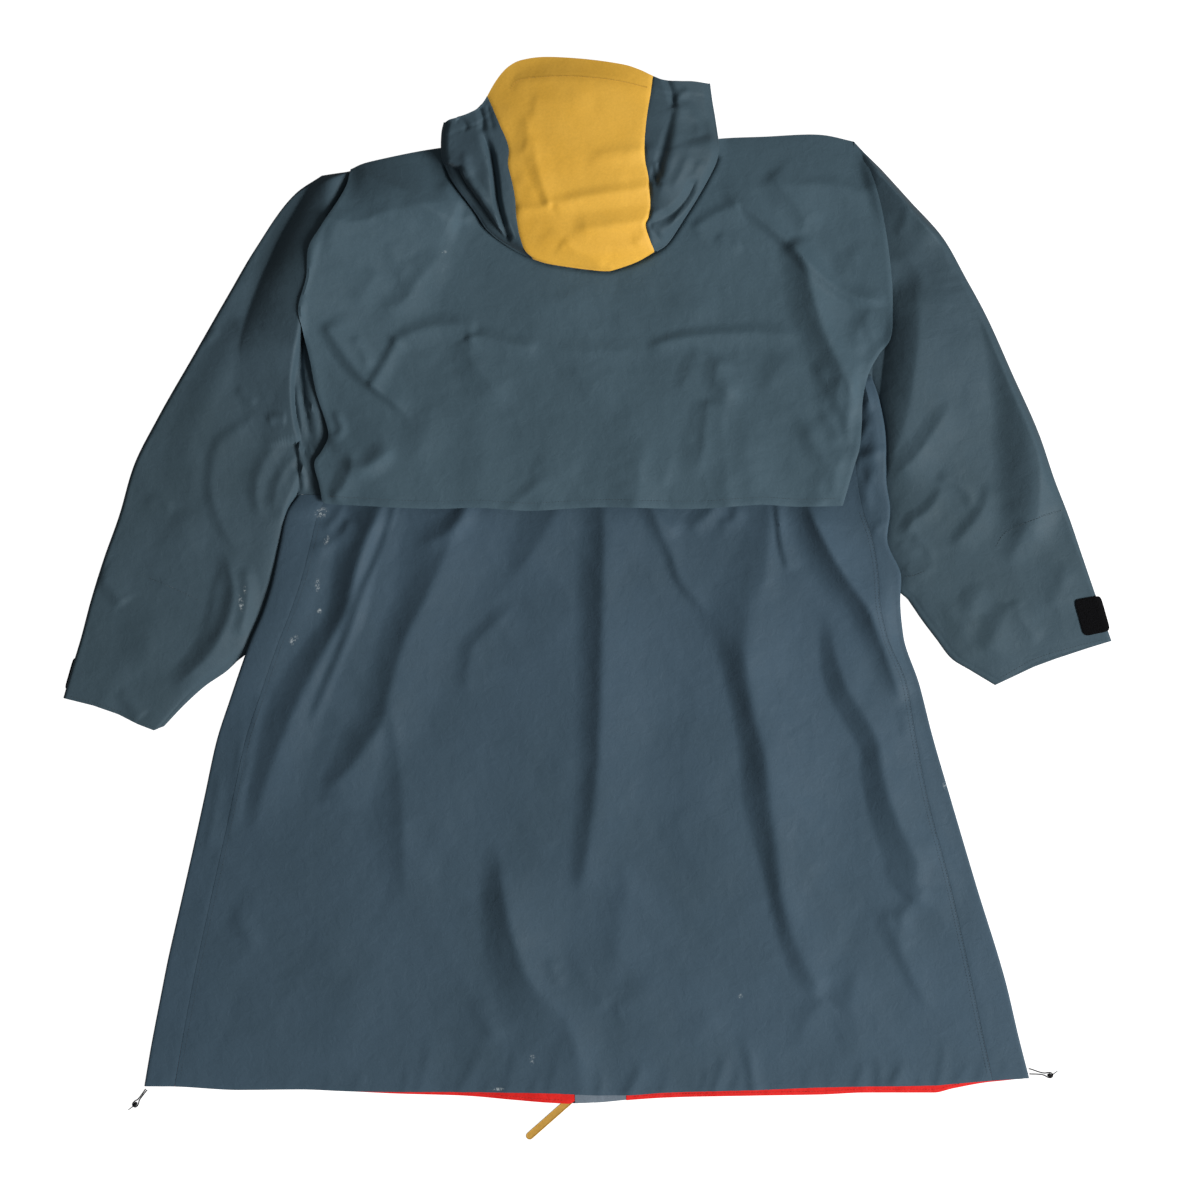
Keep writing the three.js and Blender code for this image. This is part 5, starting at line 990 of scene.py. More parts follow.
LEFT_FOLDS = [
    fold([(352, 172), (344, 192), (333, 216), (318, 252), (308, 290), (303, 316), (299, 346), (295, 388)],
         (28, 32, 35, 40, 47, 54, 58, 52), 3, (14, 19, 23, 25, 23, 19, 12, 4), qs=1.0, crest=1.0, start=0.0, end=0.2,
         dome=3.6),
    fold([(307, 296), (300, 330), (294, 360), (291, 385), (293, 418), (299, 443)], (52, 60, 60, 56, 46, 36), 3,
         (0, 4, 9, 11, 9, 6), q=1.2, qs=1.0, crest=1.0, start=0.12, end=0.05),
    fold([(316, 318), (319, 360), (322, 400), (326, 440), (316, 480)], 13, 30, (8, 8, 8, 6, 4), q=1.0, crest=3,
         start=0.1, end=0.1),
    fold([(256, 318), (238, 350), (216, 395), (196, 440), (186, 482)], (20, 28, 30, 28, 22),
         60, (4, 4.2, 3.6, 2.6, 1.4), crest=2.4, start=0.1, end=0.4, dome=-1),
    fold([(264, 404), (250, 420), (232, 434), (219, 446), (214, 468), (213, 490), (219, 516), (233, 542), (248, 562)],
         (5, 7, 8, 9, 9, 10, 10, 9, 6), (16, 26, 34, 34, 26), (0.6, 1.4, 1.8, 2.0, 2.4, 2.4, 2.0, 1.5, 0.8), q=1.4,
         crest=1.6, start=0.15, end=0.2),
    fold([(288, 438), (272, 452), (262, 470), (257, 492), (262, 522)], (10, 11, 10, 8), 14, (1, 2.0, 2.2, 2, 1), q=1.4,
         crest=1.4, start=0.15, end=0.2),
    fold([(300, 452), (286, 470), (277, 492), (272, 518)], (9, 10, 10, 9), 12, (1.2, 2.4, 2.6, 1.8), q=1.4, crest=1.4, start=0.1,
         end=0.25),
    fold([(268, 424), (276, 418), (288, 420)], 6, 8, 2.0, q=1.3, crest=1.2, start=0.2, end=0.2),
    fold([(300, 470), (288, 500), (278, 528)], (10, 12, 10), 8, (3, 4, 2), q=1.3, crest=1.6, start=0.1, end=0.3),
    fold([(225, 546), (231, 570), (235, 596), (227, 626), (206, 660), (168, 694)], (9, 13, 19, 19, 17, 12),
         (20, 26, 34, 36, 34), (2, 5, 7, 7.4, 6, 3), q=1.3, crest=1.6, start=0.16, end=0.2),
    fold([(246, 566), (249, 590), (246, 616), (238, 640)], (8, 9, 9, 8), 10, (2, 3.4, 3.6, 2.6), q=1.3, crest=1.3, start=0.15,
         end=0.2),
    fold([(222, 556), (219, 585), (211, 616), (196, 646)], 6, 10, 1.4, q=1.4, crest=1.3, start=0.3, end=0.4),
    fold([(98, 576), (112, 588), (123, 606)], (9, 13, 8), 26, 2.6, q=1.3, crest=1.2, start=0.1, end=0.12),
    fold([(258, 404), (246, 396), (236, 388)], 8, 10, 1.4, crest=1.6, start=0.2, end=0.3),
    fold([(150, 577), (176, 588), (200, 600)], 5, 6, 0.8, crest=1.2, start=0.3, end=0.3),
    fold([(145, 506), (160, 500), (176, 512)], 7, 9, 1.0, crest=1.4, start=0.3, end=0.3),
    fold([(205, 345), (212, 336), (222, 332)], 6, 8, 1.0, crest=1.3, start=0.3, end=0.3),
    fold([(176, 508), (186, 530), (184, 556)], 30, 34, 1.6, crest=6, start=0.4, end=0.4),
    fold([(160, 600), (150, 640), (148, 680)], 30, 34, 2.0, crest=6, start=0.4, end=0.3),
    fold([(196, 430), (190, 460), (196, 500)], 24, 20, 1.4, crest=6, start=0.4, end=0.4),
    fold([(118, 690), (130, 702), (142, 718)], 9, 12, 1.6, crest=2, start=0.3, end=0.1),
    # the recess beside the cape
    fold([(303, 338), (306, 372), (311, 402), (318, 440)], 4, 6, (3, 4, 4, 3), q=1.2, crest=1.0, start=0.1, end=0.1),
    fold([(296, 384), (301, 416), (304, 440)], 4, 5, 3.0, q=1.2, crest=1.0, start=0.2, end=0.1),
    fold([(312, 348), (318, 384), (326, 420)], 4, 6, 3.0, q=1.2, crest=1.0, start=0.2, end=0.1),
    fold([(299, 444), (303, 466), (305, 498)], 3.5, 6, (5, 6, 4), q=1.1, crest=0.9, start=0.03, end=0.1),
    fold([(312, 446), (310, 464), (318, 486)], 4, 6, 3.4, q=1.2, crest=1.0, start=0.1, end=0.2),
]
RIGHT_FOLDS = [
    fold([(906, 262), (916, 290), (918, 325), (914, 372), (906, 416), (892, 462), (884, 486)],
         (22, 28, 30, 30, 28, 20, 12), (80, 110, 120, 110, 80), (2, 10, 15, 15, 12, 8, 4), q=1.3, qs=1.3, crest=2.0,
         start=0.2, end=0.12, dome=2.0),
    fold([(862, 156), (888, 180), (910, 204), (934, 236), (944, 252)], (12, 28, 38, 44, 40), 7, (9, 14, 15, 11, 5), q=1.25,
         crest=1.6, start=0.04, end=0.2),
    fold([(950, 249), (920, 257), (896, 262), (878, 266)], (14, 16, 14, 10), 40, (2.2, 2.4, 2.2, 1.6), q=1.4, crest=1.2,
         start=0.1, end=0.1),
    fold([(905, 208), (905, 222), (896, 238)], 8, 12, 1.3, q=1.3, crest=1.2, start=0.1, end=0.2),
    fold([(900, 264), (914, 268), (920, 280), (920, 302)], (6, 9, 10, 8), 10, (0.5, 1.0, 1.0, 0.6), q=1.4, crest=1.4,
         start=0.3, end=0.3),
    fold([(984, 282), (1003, 330), (1020, 380), (1032, 430), (1038, 480), (1034, 525), (1024, 566)],
         (14, 22, 32, 40, 46, 42, 28), 25, (3, 7, 10.5, 12.5, 12.5, 10, 3), q=1.3, crest=2.2, start=0.08, end=0.2, dome=-1),
    fold([(952, 398), (938, 424), (916, 456), (890, 482)], (9, 15, 17, 12), (26, 28, 24), (1.4, 3.4, 4, 2.6), q=1.5, crest=1.8,
         start=0.2, end=0.2),
    fold([(942, 482), (936, 500), (924, 514), (912, 522), (903, 540)], (6, 9, 10, 9), (14, 16, 14), (1, 2.2, 2.6, 2.8, 2), q=1.3,
         crest=1.3, start=0.2, end=0.2),
    fold([(988, 480), (984, 505), (968, 530), (948, 549)], (7, 10, 10, 7), (22, 24, 20), (1.4, 2.8, 3, 1.8), q=1.3, crest=1.3,
         start=0.2, end=0.2),
    fold([(934, 478), (952, 482), (968, 494), (970, 512)], (6, 8, 7), 12, 1.8, q=1.4, crest=1.4, start=0.2, end=0.2),
    fold([(898, 542), (908, 552), (922, 548)], 7, 12, 0.8, q=1.3, crest=1.1, start=0.15, end=0.2),
    fold([(902, 566), (918, 574), (938, 562)], 7, 12, 0.7, q=1.3, crest=1.1, start=0.15, end=0.2),
    fold([(912, 534), (926, 548), (934, 564)], 6, 8, 1.0, q=1.3, crest=1.1, start=0.15, end=0.3),
    fold([(1010, 602), (1001, 620), (992, 640), (985, 656)], (10, 16, 18, 14), (24, 30, 34), (1.4, 2.4, 3, 2.2), q=1.3, crest=1.5,
         start=0.15, end=0.2),
    fold([(1040, 644), (1030, 632), (1018, 612), (1012, 600)], (14, 14, 8), 14, (1.4, 1.8, 1.4), q=1.3, crest=1.5, start=0.2,
         end=0.1),
    fold([(1030, 518), (1018, 545), (1006, 566)], 14, 22, 2.4, crest=2, start=0.2, end=0.3),
    fold([(1066, 560), (1060, 590), (1044, 610)], 20, 26, 2.4, crest=3, start=0.3, end=0.3),
    fold([(960, 590), (970, 600), (976, 616)], 14, 18, 1.4, crest=3, start=0.3, end=0.3),
    fold([(966, 320), (972, 380), (968, 430)], 40, 36, 2.0, crest=10, start=0.3, end=0.3),
    fold([(940, 600), (955, 620), (975, 636)], 14, 16, 1.4, crest=3, start=0.3, end=0.3),
    fold([(986, 580), (974, 600), (958, 612)], 10, 16, 1.0, crest=2, start=0.3, end=0.3),
]


def texture_of_folds(x, d, seed, size=1.0):
    """Slight unevenness of a stiff laminated cloth."""
    facets = np.abs(noise(x, d, 44, seed, 1.5, 25)) - np.abs(noise(x, d, 36, seed + 1, 1.6, -40))
    small = np.abs(noise(x, d, 15, seed + 2, 1.4, 60)) - np.abs(noise(x, d, 12, seed + 3, 1.5, -20))
    return size * (0.30 * noise(x, d, 60, seed + 4, 1.3, 10) + 0.62 * facets + 0.17 * small
                   + 0.045 * noise(x, d, 6.0, seed + 5, 1.2, 35))


def side_inset(x, d):
    left = x - EDGE_L(np.maximum(d, 495))
    right = EDGE_R(np.maximum(d, 376)) - x
    return left, right


def over_sleeve(x, d):
    left, right = side_inset(x, d)
    up = np.where(left < right, 5.4 * ease(486, 514, d) * (1 - ease(640, 730, d)),
                  4.2 * ease(372, 400, d) * (1 - ease(596, 655, d)))
    return up * (1 - ease(6, 56, np.minimum(left, right)))


def back_z(x, d):
    """Middle of the back's wall."""
    x, d = np.broadcast_arrays(np.asarray(x, float), np.asarray(d, float))
    left, right = side_inset(x, d)
    inset = np.minimum(left, right)
    sewn = 1 - ease(1040, 1092, d) * 0.8
    soft = (1 - np.exp(-np.clip(inset, 0, None) / 55.0)) * ease(470, 560, d)
    height = 4.0 + 3.0 * soft * sewn
    shown = np.maximum(ease(478, 526, d), ease(838, 852, x) * ease(350, 372, d))
    height = height + 0.84 * folds_at(BACK_FOLDS, x, d) * shown * (0.35 + 0.65 * ease(0, 16, inset))
    height = height + texture_of_folds(x, d, 11, 1.15) * ease(2, 30, inset) * (0.35 + 0.65 * sewn)
    height = height + over_sleeve(x, d)
    # the hem's tunnel: a slightly thicker band, held by its stitching
    near = HEM_BACK(x) - d
    height = height - 0.5 * np.exp(-((near - 6.5) / 1.1) ** 2) * ease(-1, 1, near)
    height = height - 1.1 * (1 - ease(0, 3.0, near))
    return np.maximum(height, 2.75 + 0.35 * ease(1010, 1040, d)) + back_lift(x, d)


# ------------------------------------------------------------------ back
def seam_dip(away, depth=0.4, wide=1.4):
    return depth * np.exp(-(np.asarray(away) / wide) ** 2)


def left_line(d):
    hole = spline([p[1] for p in HOLE_BACK_L] + [495], [p[0] for p in HOLE_BACK_L] + [330])
    return np.where(d >= 495, SEAM_L(d), hole(d))


def right_line(d):
    hole = spline([p[1] for p in HOLE_BACK_R] + [376], [p[0] for p in HOLE_BACK_R] + [850])
    return np.where(d >= 376, SEAM_R(d), hole(d))


rows = np.concatenate([np.linspace(1086, 1050, 15)[:-1], np.linspace(1050, 486, 178)[:-1],
                       np.linspace(486, 172, 22)])
u = np.linspace(0, 1, 233)
level = rows[None, :] * np.ones_like(u)[:, None]
xl, xr = left_line(rows) + GAP / 2, right_line(rows) - GAP / 2
X = lerp(xl[None, :], xr[None, :], u[:, None])
top_back = along(TOP_BACK, u)[:, 1]
hem_shift = (HEM_BACK(X[:, 0]) - rows[0])[:, None] * ease(760, 1086, level) ** 1.4
top_shift = (top_back - rows[-1])[:, None] * (1 - ease(172, 330, level))
Dm = level + hem_shift + top_shift
X = lerp((left_line(Dm) + GAP / 2), (right_line(Dm) - GAP / 2), u[:, None])
Z = back_z(X, Dm)
Z -= seam_dip(X - left_line(Dm), 0.1, 1.6) + seam_dip(X - right_line(Dm), 0.1, 1.4)
back = shell("back_panel", X, Dm, Z, SLATE)
BACK_GRID = (X, Dm, Z)

# ------------------------------------------------------------------ fronts
FRONTS = {}
for side in ("left", "right"):
    left = side == "left"
    out = -1.0 if left else 1.0
    edge, seam = (EDGE_L, SEAM_L) if left else (EDGE_R, SEAM_R)
    low_d, high_d = (1086.0, 495.0) if left else (1078.0, 376.0)
    hole = HOLE_FRONT_L if left else HOLE_FRONT_R
    top_line = TOP_FRONT_L[::-1] if left else TOP_FRONT_R
    zip_edge = ZIP_X + out * ZIP_HALF
    count = 170 if left else 200
    rows = np.linspace(low_d, high_d, count)
    up_rows = np.array(hole[::-1], float)
    up_rows = along(up_rows, np.linspace(0, 1, 14))
    shares = np.concatenate([np.linspace(0, 0.25, 12)[:-1], np.linspace(0.25, 1, 9)])
    theta = np.linspace(0, math.pi, 11)[1:]
    flap = np.linspace(0, 1, 11)[1:]
    over = OVERHANG * sleeve_under(rows, left)
    rim = edge(rows) - out * CLOTH / 2
    inner_x = rim - out * (EDGE_ROUND + over)
    line_x = np.concatenate([inner_x, up_rows[:, 0]])
    line_d = np.concatenate([rows, up_rows[:, 1]])
    total_rows = len(line_d)
    v = np.clip((low_d - line_d) / (low_d - hole[0][1]), 0, 1)[None, :]
    s = shares[:, None]
    hem0 = HEM_FRONT(zip_edge)
    x_low = lerp(zip_edge, line_x[0], s)
    d_low = HEM_FRONT(x_low)
    high = along(top_line, shares)
    in_d = lerp(hem0, top_line[0][1], v)
    bx = lerp(zip_edge, line_x[None, :], s) + v ** 3 * (high[:, :1] - lerp(zip_edge, hole[0][0], s))
    bd = (lerp(in_d, line_d[None, :], s) + (1 - v) * (d_low - lerp(hem0, line_d[0], s))
          + v ** 3 * (high[:, 1:] - lerp(top_line[0][1], hole[0][1], s)))
    bz = 0.5 + zip_lift(bx, bd)
    top_x = rim - out * EDGE_ROUND
    top_z = back_z(top_x, rows)
    turned = np.where(theta > math.pi / 2, (1 - np.sin(theta)) ** 2.2, 1 - np.sin(theta))
    ax = rim[None, :] - out * (EDGE_ROUND * turned[:, None]
                               + over[None, :] * (1 - ease(0.3 * math.pi, 0.62 * math.pi, theta))[:, None])
    az = lerp(0.5, top_z[None, :], ((1 - np.cos(theta)) / 2)[:, None])
    ad = np.repeat(rows[None, :], len(theta), axis=0)
    fx = lerp(top_x[None, :], (seam(rows) + out * GAP / 2)[None, :], flap[:, None])
    fd = np.repeat(rows[None, :], len(flap), axis=0)
    # the hem of the wrapped part follows the back's hem
    fd = fd + (HEM_BACK(fx[:, 0]) - low_d)[:, None] * ease(760, low_d, fd) ** 1.4
    fx = lerp((edge(fd) - out * (CLOTH / 2 + EDGE_ROUND)), seam(fd) + out * GAP / 2, flap[:, None])
    fz = back_z(fx, fd) - seam_dip(fx - seam(fd), 0.25, 1.5)
    pad = lambda a: np.concatenate([a, np.repeat(a[:, -1:], len(up_rows), axis=1)], axis=1)
    X = np.concatenate([bx, pad(ax), pad(fx)])
    Dm = np.concatenate([bd, pad(ad), pad(fd)])
    Z = np.concatenate([bz, pad(az), pad(fz)])
    keep = np.ones((X.shape[0] - 1, X.shape[1] - 1), bool)
    keep[len(shares) - 1:, count - 1:] = False
    FRONTS[side] = shell(f"front_{side}_panel", X, Dm, Z, SLATE, keep=keep, up=(X.shape[0] - 2, 5))
    FRONTS[side + "_flap"] = (fx, fd, fz)

# ------------------------------------------------------------------ sleeves
SLEEVE_LEFT = [
    (322, 176, 298, 500, 4.5), (297, 193, 293, 507, 6.0), (256, 249, 287, 519, 8.0), (229, 295, 283, 533, 9.0),
    (194, 356, 280, 551, 9.5), (158, 419, 275, 574, 9.5), (134, 467, 268, 597, 9.0), (120, 515, 260, 620, 8.5),
    (104, 560, 250, 644, 8.0), (91, 602, 229, 669, 7.5), (81, 640, 205, 686, 7.0), (72, 670, 184, 705, 6.4),
    (64, 698, 164, 726, 5.8),
]
SLEEVE_RIGHT = [
    (881, 170, 874, 384, 4.5), (909, 201, 879, 398, 6.0), (943, 239, 884, 424, 8.0), (965, 278, 886, 450, 9.0),
    (985, 315, 887, 480, 9.5), (1012, 375, 889, 509, 9.5), (1039, 436, 888, 538, 9.0), (1054, 480, 895, 562, 8.5),
    (1068, 516, 901, 586, 8.0), (1082, 557, 917, 613, 7.5), (1095, 595, 937, 640, 7.0), (1101, 612, 952, 659, 6.6),
    (1105, 624, 970, 670, 6.2),
    (1111, 641, 995, 685, 5.8),
]
UPPER = np.array([0.03, 0.12, 0.24, 0.37, 0.5, 0.63, 0.76, 0.88, 0.97])
SLEEVES = {}


def sleeve(side):
    left = side == "left"
    table = np.array(SLEEVE_LEFT if left else SLEEVE_RIGHT, float)
    out = -1.0 if left else 1.0
    edge, seam = (EDGE_L, SEAM_L) if left else (EDGE_R, SEAM_R)
    pit_d, pit_edge, pit_seam = SIDE_LEFT[0] if left else SIDE_RIGHT[0]
    folds = LEFT_FOLDS if left else RIGHT_FOLDS
    hole_b = HOLE_BACK_L if left else HOLE_BACK_R
    hole_f = HOLE_FRONT_L if left else HOLE_FRONT_R
    # evenly spaced stations along the outer fold
    far = np.concatenate([[0], np.cumsum(np.hypot(np.diff(table[:, 0]), np.diff(table[:, 1])))])
    count = 176
    station = np.linspace(0, far[-1], count)
    out_x, out_d, in_x, in_d, high = (spline(far, table[:, k])(station) for k in range(5))
    gone = 700 if left else 635
    tucked = sleeve_under(in_d, left)
    tuck_x = edge(in_d) - out * lerp(0.6, SLEEVE_TIP, ramp(0, 0.7, tucked))
    leave = (646, 662) if left else (586, 600)
    in_x = lerp(tuck_x, in_x, ease(*leave, in_d))
    span = np.hypot(in_x - out_x, in_d - out_d)
    # shares across: dense near both folds
    a = np.linspace(0, 1, 78)
    a = 0.5 - 0.5 * np.cos(math.pi * a)
    a = lerp(a, np.linspace(0, 1, 78), 0.55)
    ux = lerp(out_x[None, :], in_x[None, :], a[:, None])
    ud = lerp(out_d[None, :], in_d[None, :], a[:, None])
    # the first section runs to the armhole
    upper_line = np.array(hole_b + [(pit_seam, pit_d - GAP), (pit_edge, pit_d - GAP)], float)
    upper_line[0] = (354.5, 171.0) if left else (853.5, 142.8)
    upper_line[:, 0] += out * GAP
    ring = np.stack([np.interp(a, UPPER, upper_line[:, k]) for k in (0, 1)], -1)
    far_in = (far[-1] - station)[None, :]
    if left:
        bend = np.interp(a, [0, 0.3, 0.55, 0.74, 0.9, 1], [0, -1, 0.8, 5.2, 7.0, 0])
    else:
        bend = np.interp(a, [0, 0.2, 0.48, 0.67, 0.85, 0.96, 1], [0, -3.6, -7.2, -7.6, -3.2, -0.6, 0])
    ud = ud + bend[:, None] * (1 - ease(0, 60, far_in))
    extra = 8
    t = np.linspace(0, 1, extra, endpoint=False)[None, :]
    ux = np.concatenate([lerp(ring[:, :1], ux[:, :1], t), ux], axis=1)
    ud = np.concatenate([lerp(ring[:, 1:], ud[:, :1], t), ud], axis=1)
    along_k = np.concatenate([np.linspace(-1, 0, extra, endpoint=False), np.linspace(0, 1, count)])
    span_all = np.concatenate([np.full(extra, span[0]), span])
    high_all = np.concatenate([np.full(extra, high[0]), high])
    near_out = a[:, None] * span_all[None, :]
    near_in = (1 - a[:, None]) * span_all[None, :]
    puff = (1 - np.exp(-near_out / 0.8)) * (1 - np.exp(-near_in / 12.0))
    edge_fade = ease(0, 10, near_out) * ease(0, 12, near_in)
    uz = 2.0 + (high_all[None, :] - 2.0) * puff
    uz = uz + folds_at(folds, ux, ud) * (0.12 + 0.88 * ease(0, 9, near_out)) * (0.1 + 0.9 * ease(0, 12, near_in))
    uz = uz + texture_of_folds(ux, ud, 31 if left else 41, 1.1) * edge_fade
    # cuff: hem band and its stitching
    cuff = (1 - along_k)[None, :] * far[-1]
    uz = uz - 0.5 * np.exp(-((cuff - 5.0) / 1.2) ** 2) * edge_fade
    uz = uz - 0.5 * (1 - ease(0, 3, cuff)) * edge_fade
    uz = uz - 0.45 * np.exp(-((near_in - 6.0) / 1.2) ** 2) * ease(0.74, 0.8, along_k)[None, :]
    at_hole = ease(-1, -0.1, along_k)[None, :]
    uz = lerp(np.maximum(back_z(ux, ud) - 0.3, 3.2), uz, at_hole)
    # lower layer
    b = np.linspace(1, 0, 22)
    lower_line = np.array(hole_f + [(pit_edge - out * (EDGE_ROUND + CLOTH / 2), pit_d - GAP)], float)
    lower_line[0] = (354.5, 171.0) if left else (853.5, 142.8)
    lower_line[:, 0] += out * GAP
    lower_share = np.linspace(0, 1, len(lower_line))
    lx = lerp(out_x[None, :], in_x[None, :], b[:, None])
    ld = lerp(out_d[None, :], in_d[None, :], b[:, None])
    bend_l = bend[::-1] if left else 0.45 * bend[::-1]
    bend_l = np.interp(b[::-1], a, bend_l[::-1])[::-1]
    ld = ld + bend_l[:, None] * (1 - ease(0, 60, far_in))
    ring_l = np.stack([np.interp(b, lower_share, lower_line[:, k]) for k in (0, 1)], -1)
    lx = np.concatenate([lerp(ring_l[:, :1], lx[:, :1], t), lx], axis=1)
    ld = np.concatenate([lerp(ring_l[:, 1:], ld[:, :1], t), ld], axis=1)
    lift = (1.5 * (1 - ease(0.33, 0.55, b))[:, None] * ease(0.86, 0.93, along_k)[None, :]) if left else 0.0
    lz = np.full(lx.shape, 0.5) + lift
    raise_top = (1.5 * (1 - ease(0.33, 0.55, a))[:, None] * ease(0.86, 0.93, along_k)[None, :]) if left else 0.0
    uz = uz + raise_top
    X = np.concatenate([ux, lx[1:-1]])
    Dm = np.concatenate([ud, ld[1:-1]])
    Z = np.concatenate([uz, lz[1:-1]])
    # round the two folds: halfway heights at the folds themselves
    X[0], Dm[0] = ux[0], ud[0]
    Z[0] = 0.5 * (uz[1] + lz[-2])
    Z[len(a) - 1] = 0.5 * (uz[-2] + lz[1])
    piece = shell(f"sleeve_{side}_tube", X, Dm, Z, SLEEVE_SLATE, wrap=True, up=(40, 100), sharp=50)
    SLEEVES[side] = dict(x=ux, d=ud, z=uz, a=a, k=along_k)
    return piece


sleeve_left = sleeve("left")
sleeve_right = sleeve("right")

# ------------------------------------------------------------------ cape
under = empty(3.0)
stamp(under, *BACK_GRID)
for side in ("left", "right"):
    stamp(under, *FRONTS[side + "_flap"])
    g = SLEEVES[side]
    stamp(under, g["x"], g["d"], g["z"])
solid = grow(under, 2.0)
soft = blur(grow(under, 4.0), 5.0)
lying = np.maximum(blur(solid, 2.5, 2), soft)


def cape_grid(nu, nv):
    u, v = np.linspace(0, 1, nu), np.linspace(0, 1, nv)
    A, B = along(CAPE_LEFT, v), along(CAPE_RIGHT, v)
    H, T = along(CAPE_HEM, u), along(CAPE_TOP, u)
    U, V = u[:, None, None], v[None, :, None]
    P = (lerp(A[None], B[None], U) + (1 - V) ** 1.0 * (T[:, None] - lerp(A[0], B[0], U))
         + V * (H[:, None] - lerp(A[-1], B[-1], U)))
    # the top edge's shape fades quickly
    fade = (1 - V) ** 4 - (1 - V)
    P = P + fade * (T[:, None] - lerp(A[0], B[0], U)) * np.array([0.0, 1.0])
    return P[..., 0], P[..., 1], U[..., 0], V[..., 0]


def line_distance(points, x, d):
    line = fine(points, 70)
    best = np.full(np.shape(x), 1e9)
    for n in range(len(line) - 1):
        ex, ed = line[n + 1] - line[n]
        rx, rd = x - line[n, 0], d - line[n, 1]
        t = np.clip((rx * ex + rd * ed) / (ex * ex + ed * ed + 1e-9), 0, 1)
        best = np.minimum(best, np.hypot(rx - t * ex, rd - t * ed))
    return best


X, Dm, U, V = cape_grid(216, 146)
near_left, near_right = line_distance(CAPE_LEFT, X, Dm), line_distance(CAPE_RIGHT, X, Dm)
near_hem, near_top = line_distance(CAPE_HEM, X, Dm), line_distance(CAPE_TOP, X, Dm)
neck = 1 - ease(150, 118, np.abs(X - 580))
inside = ease(0, 16, np.minimum(near_left, near_right))
# it hangs over the sleeve's head at its left, and over the pleats at its hem
stands = np.interp(Dm, [140, 200, 240, 300, 330, 365, 420, 460, 500], [17, 20.5, 21.5, 20.5, 15, 9, 6, 5, 4])
height = (9.2 + stands * np.clip(1 - near_left / 135.0, 0, 1) ** 1.15 + 6.0 * ease(330, 490, Dm)
          + 3.0 * (1 - ease(0, 60, near_right)) * ease(200, 300, Dm) * (1 - ease(360, 430, Dm))
          + folds_at(CAPE_FOLDS, X, Dm) * (0.25 + 0.75 * inside))
height += texture_of_folds(X, Dm, 71, 1.5) * inside
height = height - 6.5 * (1 - ease(0, 64, near_left)) * ease(350, 420, Dm)
height = np.maximum(height, 6.0)
laid = sample(lying, X, Dm) + 2.1
gap = height - laid
height = np.where(gap > 3, height, laid + 3.0 * np.logaddexp(0, gap * 1.2) / 3.6)
height = np.maximum(height, laid)
rim = np.minimum(np.minimum(near_left, near_right), near_hem)
height = np.where(rim < 2.5, height - 0.9 * (1 - (rim / 2.5)) ** 2, height)
shoulder = np.clip(near_top / lerp(54.0, 50.0, ease(660, 770, X)), 0, 1) ** 0.85
# the shoulders turn down over the edge of the body
height = lerp(height, lerp(height, lerp(4.6, 2.2, ease(400, 470, X)), (1 - shoulder) * 0.95), neck)
HOOD_LINE = [
    (447, 166.5), (452, 178), (460, 190), (467, 199), (473, 207), (480, 217), (487, 228), (499, 238.5), (514, 248.5),
    (530.5, 257.5), (544.5, 262.5), (560, 265.4), (587.5, 269.2), (606, 270.5), (615, 269), (636.5, 261.5), (656, 251),
    (667, 242), (682.4, 219), (697.7, 194.6), (711, 170.5), (716, 158),
]
height -= 4.2 * np.exp(-(line_distance(HOOD_LINE, X, Dm) / 2.6) ** 2) * ease(0, 14, near_top)
CAPE_GRID = (X, Dm, height)
cape = shell("cape_panel", X, Dm, height, CAPE_SLATE)

# ------------------------------------------------------------------ hood
field = stamp(under.copy(), *CAPE_GRID)
bed = blur(grow(field, 4.0), 5.0, 2)
SEAM_LEFT = [
    (487.2, 96.2), (493, 108.7), (499.7, 124.8), (506.5, 140), (509, 151), (508, 164.5), (512.2, 182),
    (515.1, 198.2), (516.6, 218.7), (520.2, 238), (525.4, 250.5), (532.7, 257.4),
]
SEAM_RIGHT = [
    (653, 76), (650.3, 95), (647.2, 113.5), (644.7, 138), (645, 159.4), (648, 174.7), (649.7, 190),
    (650.3, 205.3), (648.8, 217), (645.6, 224), (648, 234.3), (654, 250.5),
]
BRIM = [(487.2, 96.2), (494, 84), (501.5, 73.5), (510, 65.5), (522, 60), (545, 57), (584, 59), (621, 64),
        (638, 69), (653, 76)]
CROWN = [(532.7, 257.4), (544.5, 261.3), (560, 264.2), (587.5, 268), (606, 269.5), (615, 268), (636.5, 260.4),
         (654, 250.5)]
OUT_LEFT = [
    (445.4, 122.6), (443.2, 132), (442.5, 146.8), (443.6, 158), (447, 166.5), (452, 178), (460, 190), (467, 199),
    (473, 207), (480, 217), (487, 228), (499, 238.5), (514, 248.5), (530.5, 256.5),
]
TOP_LEFT = [(487.2, 96.2), (482.8, 102.8), (477, 108.7), (466.7, 113.8), (456.4, 117.5), (449, 119.7), (445.4, 122.6)]
OUT_RIGHT = [
    (708.4, 83.6), (710.7, 101.2), (713.8, 119.6), (717.3, 145.6), (716, 158), (711, 170.5), (697.7, 194.6),
    (682.4, 219), (667, 242), (656, 250.3),
]
TOP_RIGHT = [(653, 76), (664, 80), (679.4, 81), (693, 81.3), (708.4, 83.6)]
SEAM_Z = spline([70, 97, 118, 148, 172, 198, 222, 241, 252, 262], [25, 28, 32, 34, 34, 32, 29, 25, 21.5, 18])
MID_Z = spline([50, 62, 80, 110, 150, 190, 220, 245, 262, 275], [27, 30, 34, 37, 38, 37, 34, 30, 22, 18])

